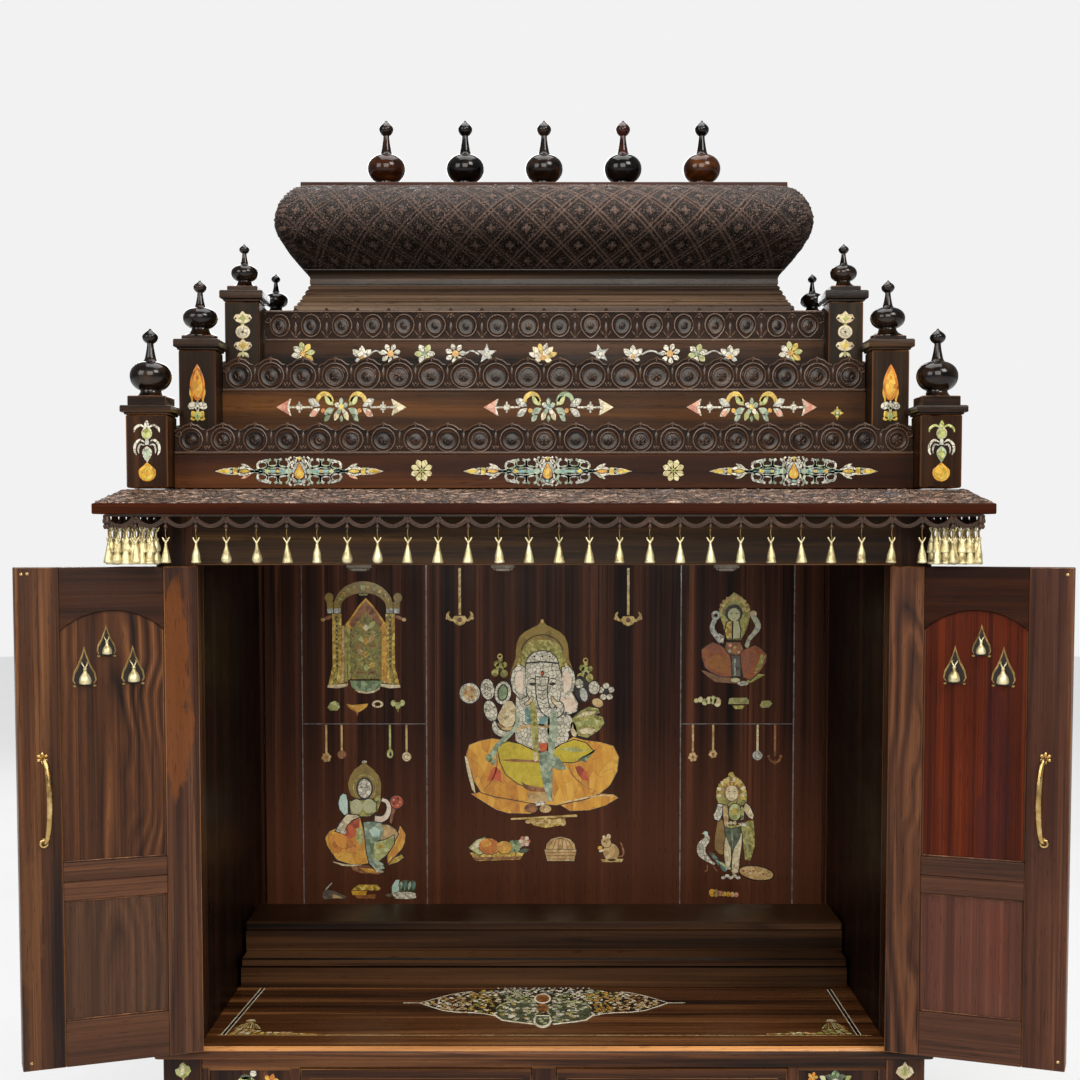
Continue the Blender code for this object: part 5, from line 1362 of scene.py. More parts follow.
def swag_run(length, n, at):
    """Hanging U ribs between little drop posts, drawn along local x from 0, local y down from the top."""
    p = length / n
    tile(b, [(0, 0), (length * 1000, 0), (length * 1000, -2.6), (0, -2.6)], at, 0, rise=-0.2, edge=0.3, sink=VT * 1000 - 0.8)
    for k in range(n):
        x0 = k * p * 1000
        w = p * 1000
        outer, inner, lip = [], [], []
        m = 14
        for i in range(m + 1):
            t = i / m
            dip = sin(pi * t) ** 0.75
            outer.append((x0 + w * t, -7.2 - 9.6 * dip))
            inner.append((x0 + w * (0.07 + 0.86 * t), -2.2 - 10.0 * dip))
            lip.append((x0 + w * (0.03 + 0.94 * t), -4.6 - 9.9 * dip))
        tile(b, outer + inner[::-1], at, 0, rise=0.0, edge=0.7, sink=VT * 1000 - 1.6)
        pipe(b, [(a / 1000, c / 1000, 0.0002) for a, c in lip], 0.0008, 6, 0, at)
    for k in range(n + 1):
        cx = k * p
        drop_at = at @ Matrix.Translation((cx, 0, -VT / 2 + 0.0004))
        up = drop_at @ Matrix(((1, 0, 0, 0), (0, 0, 1, 0), (0, 1, 0, 0), (0, 0, 0, 1)))
        revolve(b, [(0, -0.0184), (0.0011, -0.0181), (0.0024, -0.0160), (0.0027, -0.0145), (0.0017, -0.0126), (0.0015, -0.0116), (0.0030, -0.0102),
                    (0.0034, -0.0085), (0.0030, -0.0068), (0.0024, -0.0052), (0.0026, -0.0010), (0.0, -0.0008)], 12, at=up)


TOPV = z[1]
front_at = facing(x[0], y[0] + 0.0004, TOPV)
swag_run(x[1] - x[0], 29, front_at)
side_len = y[1] - y[0]
NS = round(side_len / PITCH)
left_at = facing(x[0] + 0.0004, y[1], TOPV, (0, -1, 0), (0, 0, 1))
right_at = facing(x[1] - 0.0004, y[0], TOPV, (0, 1, 0), (0, 0, 1))
swag_run(side_len, NS, left_at)
swag_run(side_len, NS, right_at)
b.piece("eave_valance.pierced", [C_VAL], "cabinet", ("eave_valance",), "carved_rosewood")

BELL_MOUTH = FLOOR + 0.6331
BELL_TOP = FLOOR + 0.6600
rnd = Random(7)


def hanging_bell(b, cx, cy, kind, ux, spin_deg):
    """A pale cast bell, its forked hook and the wire it hangs by."""
    h = BELL_TOP - BELL_MOUTH
    k = 1.0 + rnd.uniform(-0.05, 0.05)
    profiles = (
        [(0, 0.03), (0.0050, 0.0), (0.0073, 0.01), (0.0078, 0.055), (0.0074, 0.10), (0.0066, 0.22), (0.0054, 0.38), (0.0040, 0.56), (0.0027, 0.72), (0.0019, 0.84), (0.0017, 0.92), (0.0022, 0.97), (0, 1.0)],
        [(0, 0.03), (0.0048, 0.0), (0.0069, 0.01), (0.0072, 0.08), (0.0066, 0.105), (0.0061, 0.20), (0.0058, 0.36), (0.0043, 0.55), (0.0028, 0.70), (0.0020, 0.82), (0.0018, 0.92), (0.0023, 0.97), (0, 1.0)],
        [(0, 0.02), (0.0026, -0.02), (0.0062, 0.03), (0.0076, 0.12), (0.0077, 0.20), (0.0066, 0.34), (0.0048, 0.50), (0.0031, 0.66), (0.0020, 0.80), (0.0017, 0.92), (0.0022, 0.97), (0, 1.0)],
        [(0, 0.03), (0.0054, 0.0), (0.0064, 0.02), (0.0065, 0.11), (0.0058, 0.13), (0.0056, 0.30), (0.0053, 0.44), (0.0040, 0.60), (0.0026, 0.74), (0.0019, 0.86), (0.0017, 0.93), (0.0022, 0.97), (0, 1.0)],
    )
    tilt = Matrix.Translation((cx, cy, BELL_TOP)) @ Matrix.Rotation(radians(rnd.uniform(-2.5, 2.5)), 4, 'Y') @ Matrix.Rotation(radians(rnd.uniform(-2, 2)), 4, 'X') \
        @ Matrix.Rotation(radians(spin_deg), 4, 'Z') @ Matrix.Translation((0, 0, -h))
    revolve(b, [(r * k * 0.86, t * h) for r, t in profiles[kind]], 18, at=tilt)
    for e in (-1, 1):
        fork = [(0, 0, h * 0.965), (e * 0.0022, 0, h + 0.0012), (e * 0.0034, 0, h + 0.0036), (e * (0.0046 if kind != 1 else 0.0038), 0, h + 0.0052)]
        pipe(b, smooth_line(fork, 3), [0.0011, 0.0011, 0.0011, 0.0010, 0.0010, 0.0010, 0.0010, 0.0009, 0.0007, 0.0006], 6, at=tilt)
    # the wire up to the post
    wire = [(cx, cy, BELL_TOP - 0.0004), (cx + 0.0006, cy, BELL_TOP + 0.004), (cx - 0.0004, cy, BELL_TOP + 0.009), (cx, cy, FLOOR + 0.6765)]
    pipe(b, smooth_line(wire, 3), 0.0006, 5, 1)


def bell_row(name, spots, turn):
    b = Build()
    for i, (cx, cy) in enumerate(spots):
        hanging_bell(b, cx, cy, rnd.choice((0, 0, 0, 1, 2, 3)), None, turn + rnd.uniform(-18, 18))
    b.piece(name, [BRASS_PALE, BRASS_DULL], "cabinet", (), "brass")


yb = y[0] + VT / 2
bell_row("bells_front", [(x[0] + PITCH * k, yb) for k in range(1, 29)], 0)
ps = side_len / NS
for side, sx in (("left", x[0] + VT / 2), ("right", x[1] - VT / 2)):
    bell_row("bells_" + side, [(sx, y[0] + VT / 2 + ps * k * (1 - VT / side_len)) for k in range(0, NS + 1)], 90)

# at each front corner the bells hang in a close bunch
for side, s in (("left", -1), ("right", 1)):
    b = Build()
    for row in range(3):
        for col in range(6):
            for tier in (0, 1):
                cx = s * (abs(x[0]) - 0.0040 - 0.0101 * col - 0.004 * (row % 2))
                cy = yb + 0.004 + 0.0105 * row + 0.003 * tier
                low_end = BELL_TOP
                BELL_TOP, BELL_MOUTH = low_end + 0.0140 * tier - 0.0016, BELL_MOUTH + 0.0140 * tier - 0.0016
                hanging_bell(b, cx, cy, rnd.choice((0, 1, 2, 3)), None, rnd.uniform(-40, 40))
                BELL_TOP, BELL_MOUTH = low_end, BELL_MOUTH - 0.0140 * tier + 0.0016
    b.piece("bells_corner_" + side, [BRASS_PALE, BRASS_DULL], "cabinet", (), "brass")

# catches on short arms behind the head beam, clear of the folded leaves
b = Build()
for cx, w in ((-0.243, 0.017), (-0.054, 0.016), (0.240, 0.017)):
    block(b, (cx - w, cx + w), (BEAM_FACE + 0.0360, BEAM_FACE + 0.0480), (HEAD - 0.0050, HEAD + 0.0012), 0.0010, 0)
    block(b, (cx - w * 0.8, cx + w * 0.8), (BEAM_FACE + 0.0196, BEAM_FACE + 0.0470), (HEAD + 0.0010, HEAD + 0.0032), 0.0005, 0)
    block(b, (cx - w * 0.62, cx + w * 0.62), (BEAM_FACE + 0.0370, BEAM_FACE + 0.0465), (HEAD - 0.0088, HEAD - 0.0046), 0.0009, 0)
    for e in (-0.8, 0.8):
        revolve(b, [(0, -0.0072), (0.0014, -0.0070), (0.0024, -0.0058), (0.0020, -0.0042), (0, -0.0040)], 10, (cx + e * w * 0.86, BEAM_FACE + 0.0420, HEAD - 0.0006))
b.piece("door_catches", [DULL_PLATE], "cabinet", (), "brass")


# ------------------------------------------------------------ newels
def finial_curve(height, radius, foot, foot_r, neck=0.30):
    """(radius, height) of the turned kalash from its foot to the tip: a
    flared foot, a squat globe, a hollow tapering neck and a small bud."""
    R, H = radius, height
    pts = [(0.0, 0.0), (foot_r * R, 0.0), (foot_r * R, 0.016 * H), (foot_r * R - 0.03 * R, 0.022 * H)]
    for i in range(1, 7):
        t = i / 6
        pts.append((R * (0.50 + (foot_r - 0.53) * (1 - t) ** 2.2), H * (0.022 + (foot - 0.022) * t)))
    z0, z1 = foot, 0.515
    mid, half = z0 + (z1 - z0) * 0.50, (z1 - z0) * 0.50
    n = 20
    for i in range(n + 1):
        a = -1.10 + 2.36 * i / n
        w = sin(1.26) if a > 0 else sin(1.10)
        pts.append((R * cos(a) ** 0.80, H * (mid + half * sin(a) / w)))
    pts += [(0.36 * R, 0.520 * H), (0.335 * R, 0.527 * H)]
    for i in range(1, 11):
        t = i / 10
        pts.append((R * (0.155 + (neck - 0.155) * (1 - t) ** 1.45), H * (0.530 + 0.250 * t)))
    for i in range(1, 15):
        t = i / 14
        bulge = sin(pi * min(1.0, t * 0.94)) ** 0.72 if t < 0.5 else cos(pi * (t - 0.5) * 0.98) ** 0.95
        pts.append((R * max(0.06, 0.145 * (1 - t) ** 2 + 0.345 * bulge), H * (0.780 + 0.205 * t)))
    pts += [(0.05 * R, 0.992 * H), (0.0, H)]
    return pts


NEWEL_SPEC = {
    "lower": dict(cap=0.0118, capw=0.0640, pl=0.0122, bulb=0.0262, fin=0.0868, foot=0.10, fr=0.66, top=0.8186),
    "middle": dict(cap=0.0142, capw=0.0590, pl=0.0052, bulb=0.0225, fin=0.0737, foot=0.155, fr=0.98, top=0.9064),
    "upper": dict(cap=0.0147, capw=0.0575, pl=0.0066, bulb=0.0180, fin=0.0585, foot=0.155, fr=0.98, top=0.9776),
}
NEWEL_WOOD = {"lower": W_NEWEL_A, "middle": W_NEWEL_B, "upper": W_NEWEL_C}
for lv in LEVELS:
    sp, w = NEWEL_SPEC[lv], NEWEL[lv]["w"]
    for where in ("front", "back"):
        for side, s in (("left", -1), ("right", 1)):
            node = "newel_%s_%s_%s" % (lv, where, side)
            nz0, nz1 = lo(node).z, hi(node).z
            cx = s * NEWEL[lv]["x"]
            cy = NEWEL[lv]["y"] if where == "front" else NEWEL[lv]["back"]
            top = FLOOR + sp["top"]
            at = Matrix.Translation((cx, cy, 0))
            b = Build()
            h = w / 2
            block(b, (-h, h), (-h, h), (nz0, top), 0.0016, 0, 3, at)
            cw = sp["capw"] / 2
            c = sp["cap"]
            # a square-edged slab under a low step
            prof = [(h + 0.0003, 0.0), (h + 0.0014, 0.05), (h + 0.0014, 0.16), (cw - 0.0016, 0.24), (cw - 0.0003, 0.28), (cw, 0.34), (cw, 0.86),
                    (cw - 0.0005, 0.93), (cw - 0.0016, 0.985), (cw * 0.9, 1.0)]
            verts, faces, fm = [], [], []
            for r, t in prof:
                verts += [(-r, -r, top + t * c), (r, -r, top + t * c), (r, r, top + t * c), (-r, r, top + t * c)]
            for k in range(len(prof) - 1):
                for i in range(4):
                    j = (i + 1) % 4
                    faces.append((4 * k + i, 4 * k + j, 4 * k + 4 + j, 4 * k + 4 + i))
                    fm.append(1)
            faces += [(3, 2, 1, 0), tuple(range(4 * len(prof) - 4, 4 * len(prof)))]
            b.add(verts, faces, fm + [1, 1], False, at)
            zp = top + c
            pw = cw * (0.76 if lv == "lower" else 0.70)
            block(b, (-pw, pw), (-pw, pw), (zp - 0.0005, zp + sp["pl"]), 0.0011, 1, 3, at)
            turn_mat = 2 if where == "front" else 4
            revolve(b, finial_curve(nz1 - zp - sp["pl"] + 0.0006, sp["bulb"], sp["foot"], sp["fr"]), 36, (0, 0, zp + sp["pl"] - 0.0004), turn_mat, at)
            b.piece(node + ".turned", [NEWEL_WOOD[lv], W_CAP, T_DARK, W_POST_WORN, T_BLACK], "cabinet", (node,), "turned_rosewood", sharp=32)

# ------------------------------------------------------------ roof finials
for i, m in zip(range(5), (T_ORANGE, T_BLACK, T_DARK, T_BLACK, T_AMBER)):
    node = "roof_finial_%d" % (i + 1)
    x, y, z = span_of(node)
    cx, cy = (x[0] + x[1]) / 2, (y[0] + y[1]) / 2
    b = Build()
    curve = finial_curve(z[1] - z[0], 0.0268, 0.135, 0.60)
    split = [k for k, (r, h) in enumerate(curve) if h > 0.5 * (z[1] - z[0])][0]
    revolve(b, curve, 44, (cx, cy, z[0]), mats=[0] * split + [1] * (len(curve) - split))
    upper = T_RED if i == 3 else T_DARK if i in (0, 2, 4) else T_BLACK
    b.piece(node + ".turned", [m, upper], "cabinet", (node,), "turned_rosewood", sharp=35)

# ------------------------------------------------------------ roof plinth
x, y, z = span_of("roof_plinth")
ry = (y[0] + y[1]) / 2
PH, PD = (x[1] - x[0]) / 2, (y[1] - y[0]) / 2
b = Build()
flare = FLOOR + 0.9777
band_z = FLOOR + 1.0086
prof = [(0.0, z[0] - flare), (0.0, -0.001), (0.0012, 0.0006), (0.0030, 0.0014)]
# five rolls of uneven width under one leaning line, a narrow quirk between
cuts = [0.0, 0.20, 0.31, 0.55, 0.80, 1.0]
for k in range(5):
    for t, d in ((0.05, 0.0011), (0.14, 0.0002), (0.32, -0.0007), (0.55, -0.0009), (0.78, -0.0004), (0.93, 0.0006)):
        c = cuts[k] + (cuts[k + 1] - cuts[k]) * t
        prof.append((0.0030 + 0.0166 * c ** 0.85 + d, 0.0014 + 0.0295 * c))
prof = [(i, h) for i, h in prof]
rows = [(PH - i, PD - i, flare + h) for i, h in prof]
bh, bd = 0.3205, 0.101
rows += [(bh, bd, band_z + 0.0002), (bh - 0.0002, bd, band_z + 0.0016), (bh + 0.0006, bd + 0.0006, band_z + 0.0024), (bh + 0.0006, bd + 0.0006, band_z + 0.0062)]
WH, WD = 0.328, 0.108
for k in range(1, 9):
    t = k / 8
    f = 1 - cos(t * pi / 2)
    rows.append((bh + (WH - bh) * f, bd + (WD - bd) * f, band_z + 0.0066 + (z[1] - band_z - 0.0066 - 0.0012) * t ** 0.85))
rows.append((WH, WD, z[1]))
verts, faces, fm = [], [], []
nb = len(prof)
for hx, hy, hz in rows:
    verts += [(-hx, ry - hy, hz), (hx, ry - hy, hz), (hx, ry + hy, hz), (-hx, ry + hy, hz)]
for k in range(len(rows) - 1):
    for i in range(4):
        j = (i + 1) % 4
        faces.append((4 * k + i, 4 * k + j, 4 * k + 4 + j, 4 * k + 4 + i))
        fm.append(0 if k < nb else 1)
faces += [(3, 2, 1, 0), tuple(range(4 * len(rows) - 4, 4 * len(rows)))]
b.add(verts, faces, fm + [0, 1], True)
b.piece("roof_plinth.fluted", [W_PLINTH, W_BAND], "cabinet", ("roof_plinth",), "carved_rosewood", sharp=28)

# ------------------------------------------------------------ bombe roof
x, y, z = span_of("roof_bombe")
ZW, ZT = z[0], z[1]
ZB = FLOOR + 1.0928
BH, CH = 0.3643, 0.330
RD = 0.040


def roof_section(k):
    """Half width, half depth and height at k from 0, the waist, to 1, the crown."""
    if k < 0.36:
        t = k / 0.36
        g = sin(t * pi / 2)
        return WH + (BH - WH) * g, WD + (BH - WH) * g, ZW + (ZB - ZW) * t
    t = (k - 0.36) / 0.64
    t = sin(t * pi / 2) ** 1.0
    deep = WD + BH - WH
    hx = CH + (BH - CH) * (1 - t ** 1.5) ** (1 / 1.5)
    hy = (RD + 0.004) + (deep - RD - 0.004) * (1 - t ** 2.1) ** (1 / 2.1)
    return hx, hy, ZB + (ZT - ZB) * t


NR = 104
NF, NSD, NBK, NCR = 545, 118, 100, 5
secs = [roof_section(k / NR) for k in range(NR + 1)]
arc = [0.0]
for p, q in zip(secs, secs[1:]):
    arc.append(arc[-1] + hypot(p[1] - q[1], p[2] - q[2]))
CELL = 0.0478
RR = 0.018


def ring_points(hx, hy):
    """Points round a rounded rectangle with their place along the belly's girth."""
    out = []
    half_f, half_s = BH - RR, (WD + BH - WH) - RR
    girth = 2 * half_f
    for i in range(NF + 1):
        t = i / NF
        out.append((-(hx - RR) + 2 * (hx - RR) * t, -hy, -half_f + girth * t))
    c = RR * pi / 2
    base = half_f
    for i in range(1, NCR):
        a = -pi / 2 + (pi / 2) * i / NCR
        out.append((hx - RR + RR * cos(a), -hy + RR + RR * sin(a), base + c * i / NCR))
    base += c
    for i in range(NSD + 1):
        t = i / NSD
        out.append((hx, -(hy - RR) + 2 * (hy - RR) * t, base + 2 * half_s * t))
    base += 2 * half_s
    for i in range(1, NCR):
        a = (pi / 2) * i / NCR
        out.append((hx - RR + RR * cos(a), hy - RR + RR * sin(a), base + c * i / NCR))
    base += c
    for i in range(NBK + 1):
        t = i / NBK
        out.append((hx - RR - 2 * (hx - RR) * t, hy, base + girth * t))
    base += girth
    for i in range(1, NCR):
        a = pi / 2 + (pi / 2) * i / NCR
        out.append((-(hx - RR) + RR * cos(a), hy - RR + RR * sin(a), base + c * i / NCR))
    base += c
    for i in range(NSD + 1):
        t = i / NSD
        out.append((-hx, (hy - RR) - 2 * (hy - RR) * t, base + 2 * half_s * t))
    base += 2 * half_s
    for i in range(1, NCR):
        a = pi + (pi / 2) * i / NCR
        out.append((-(hx - RR) + RR * cos(a), -(hy - RR) + RR * sin(a), base + c * i / NCR))
    return out


cols = len(ring_points(BH, 0.14))
P = np.zeros((NR + 1, cols, 3))
S = np.zeros((NR + 1, cols))
for r, (hx, hy, hz) in enumerate(secs):
    pts = ring_points(hx, hy)
    P[r, :, 0] = [p[0] for p in pts]
    P[r, :, 1] = [p[1] + ry for p in pts]
    P[r, :, 2] = hz
    S[r, :] = [p[2] for p in pts]
Q = np.array(arc)[:, None] * np.ones((1, cols))
# outward normals from the grid itself
du = np.roll(P, -1, axis=1) - np.roll(P, 1, axis=1)
dv = np.gradient(P, axis=0)
N = np.cross(du, dv)
N /= np.linalg.norm(N, axis=2, keepdims=True) + 1e-12
U1 = (S + (Q - 0.012)) / CELL
U2 = (S - (Q - 0.012)) / CELL


def line_relief(U):
    d = (U - np.round(U)) * CELL * 0.7071
    two = np.exp(-((np.abs(d) - 0.0026) / 0.00105) ** 2)
    return two * 0.0021 - np.exp(-(d / 0.0012) ** 2) * 0.0005


H = np.maximum(line_relief(U1), line_relief(U2))
A = U1 - np.floor(U1) - 0.5
B_ = U2 - np.floor(U2) - 0.5
X_, Y_ = (A + B_) * CELL * 0.5, (A - B_) * CELL * 0.5
rad = np.hypot(X_, Y_)
ang = np.arctan2(Y_, X_)
inner = np.abs(A) + np.abs(B_)
box4 = np.maximum(np.abs(A), np.abs(B_))
H += 0.0003 * np.exp(-((box4 - 0.30) / 0.028) ** 2)
petal = 0.0066 * (0.35 + 0.65 * np.abs(np.cos(2 * ang)))
H += 0.0019 * np.clip(1 - (rad / petal) ** 4, 0, 1) ** 0.5 * (rad < petal)
H += 0.0010 * np.clip(1 - (rad / 0.0016) ** 2, 0, 1)
# some bosses stand prouder than others, and the back is only quilted
luck = np.sin(np.floor(U1) * 12.9898 + np.floor(U2) * 78.233) * 43758.5453
luck -= np.floor(luck)
H = np.where(rad < 0.0085, H * (0.45 + 0.75 * luck), H)
d1, d2 = (U1 - np.round(U1)) * CELL, (U2 - np.round(U2)) * CELL
soft = 0.0015 * np.maximum(np.exp(-(d1 / 0.0065) ** 2), np.exp(-(d2 / 0.0065) ** 2))
H = np.where(N[..., 1] > 0.62, soft, H)
rough = np.zeros_like(H)
for r in range(NR + 1):
    for c in range(cols):
        px, py, pz = P[r, c]
        rough[r, c] = noise.fractal(Vector((px * 260, py * 260, pz * 260)), 0.8, 2.2, 2)
wear = np.clip((np.sin(S * 9.0 + 0.8) + 1) * 0.5, 0.25, 1.0)      # the left of the front is worn nearly smooth
RUB = np.clip(H / 0.0019, 0, 1) * (0.35 + 0.65 * wear)
H = H * (0.45 + 0.55 * wear) + 0.00040 * rough
H[:3] *= np.array([0.0, 0.4, 0.8])[:, None]
H[-3:] *= np.array([0.8, 0.4, 0.0])[:, None]
V = P + N * H[..., None]
verts = [tuple(v) for v in V.reshape(-1, 3)]
faces = [(r * cols + c, r * cols + (c + 1) % cols, (r + 1) * cols + (c + 1) % cols, (r + 1) * cols + c) for r in range(NR) for c in range(cols)]
faces.append(tuple(range(cols))[::-1])
faces.append(tuple(range(NR * cols, (NR + 1) * cols)))
b = Build()
b.add(verts, faces, 0, True)
roof = b.piece("roof_bombe.lattice", [C_ROOF], "cabinet", ("roof_bombe",), "carved_rosewood")
mark = roof.data.attributes.new("rub", "FLOAT", "POINT")
mark.data.foreach_set("value", RUB.reshape(-1).astype(np.float32))


# ------------------------------------------------------------ galleries
def plate(b, pts, at, mat, h0, h1, edge=0.4):
    """A cut-out board: outline in mm, from height h0 to h1, upper edge rounded."""
    if area(pts) < 0:
        pts = pts[::-1]
    n = len(pts)
    verts = [(x * MM, y * MM, h * MM) for ring, h in ((pts, h0), (pts, h1 - edge), (inset(pts, edge), h1)) for x, y in ring]
    faces = [tuple(range(n))[::-1], tuple(range(2 * n, 3 * n))]
    for k in (0, 1):
        for i in range(n):
            j = (i + 1) % n
            faces.append((k * n + i, k * n + j, (k + 1) * n + j, (k + 1) * n + i))
    b.add(verts, faces, mat, False, at)


def hoop(b, cx, cy, rx, ry, wire, z, at, mat=0, n=26, drop_tip=0.0, seg=6):
    """A raised ring; drop_tip pulls its foot down to a point."""
    pts = []
    for i in range(n):
        a = 2 * pi * i / n
        y = ry * sin(a)
        if drop_tip and sin(a) < 0:
            y -= drop_tip * abs(sin(a)) ** 5
        pts.append(((cx + rx * cos(a) * (1 - (0.16 if drop_tip and sin(a) < 0 else 0) * abs(sin(a)) ** 3)) * MM, (cy + y) * MM, z * MM))
    pipe(b, pts, wire * MM, seg, mat, at, closed=True)


def bowl(b, cx, cy, rx, ry, z, at, mat=2, n=20):
    """A dished disc with a raised eye: the polished middle of a ring."""
    rings = [(1.0, 0.0), (0.90, 0.9), (0.72, 0.55), (0.50, 0.5), (0.28, 0.95), (0.12, 1.15)]
    verts = [((cx + rx * f * cos(2 * pi * i / n)) * MM, (cy + ry * f * sin(2 * pi * i / n)) * MM, (z + h) * MM) for f, h in rings for i in range(n)]
    verts.append((cx * MM, cy * MM, (z + 1.2) * MM))
    verts += [((cx + rx * cos(2 * pi * i / n)) * MM, (cy + ry * sin(2 * pi * i / n)) * MM, (z - 1.0) * MM) for i in range(n)]
    m = len(rings)
    faces = [(k * n + i, k * n + (i + 1) % n, (k + 1) * n + (i + 1) % n, (k + 1) * n + i) for k in range(m - 1) for i in range(n)]
    faces += [((m - 1) * n + i, (m - 1) * n + (i + 1) % n, m * n) for i in range(n)]
    low = m * n + 1
    faces += [(low + i, low + (i + 1) % n, (i + 1) % n, i) for i in range(n)]
    faces.append(tuple(range(low, low + n))[::-1])
    b.add(verts, faces, mat, True, at)


def motif(b, cx, cy, r, kind, z, at, mat=0):
    """The small carving inside a ring."""
    if kind == 0:
        for k in range(6):
            a = 90 + 60 * k
            domed(b, leaf(cx + 0.16 * r * cos(radians(a)), cy + 0.16 * r * sin(radians(a)), r * 0.68, r * 0.34, a, 0.6, 5), at @ Matrix.Translation((0, 0, z * MM)), mat, rise=1.1, rings=2)
        domed(b, ell(cx, cy, r * 0.17, n=8), at @ Matrix.Translation((0, 0, z * MM)), mat, rise=1.5, rings=2)
    elif kind == 1:
        up = at @ Matrix.Translation((0, 0, z * MM))
        domed(b, drop(cx, cy - 0.1 * r, r * 0.85, r * 0.42, 90, 8), up, mat, rise=1.3, rings=2)
        for e in (-1, 1):
            domed(b, leaf(cx, cy - 0.55 * r, r * 0.95, r * 0.30, 90 - e * 42, 0.6, 5), up, mat, rise=1.0, rings=2)
            domed(b, leaf(cx, cy - 0.6 * r, r * 0.62, r * 0.26, 90 - e * 88, 0.6, 5), up, mat, rise=0.9, rings=2)
    elif kind == 2:
        hoop(b, cx, cy, r * 0.52, r * 0.52, 0.75, z + 0.2, at, mat, 18)
        domed(b, ell(cx, cy, r * 0.24, n=10), at @ Matrix.Translation((0, 0, z * MM)), mat, rise=1.5, rings=3)
    elif kind == 3:
        up = at @ Matrix.Translation((0, 0, z * MM))
        for k in range(4):
            a = 45 + 90 * k
            domed(b, leaf(cx, cy, r * 0.86, r * 0.30, a, 0.65, 5), up, mat, rise=1.0, rings=2)
        for k in range(4):
            a = 90 * k
            domed(b, leaf(cx, cy, r * 0.60, r * 0.22, a, 0.6, 5), up, mat, rise=1.4, rings=2)
    else:
        up = at @ Matrix.Translation((0, 0, z * MM))
        for e in (-0.5, 0.0, 0.5):
            domed(b, leaf(cx + e * r * 0.3, cy - 0.7 * r, r * (1.35 - abs(e) * 0.5), r * 0.22, 90 - e * 58, 0.62, 5), up, mat, rise=1.1, rings=2)
        domed(b, ell(cx, cy - 0.52 * r, r * 0.20, r * 0.14, n=8), up, mat, rise=1.5, rings=2)


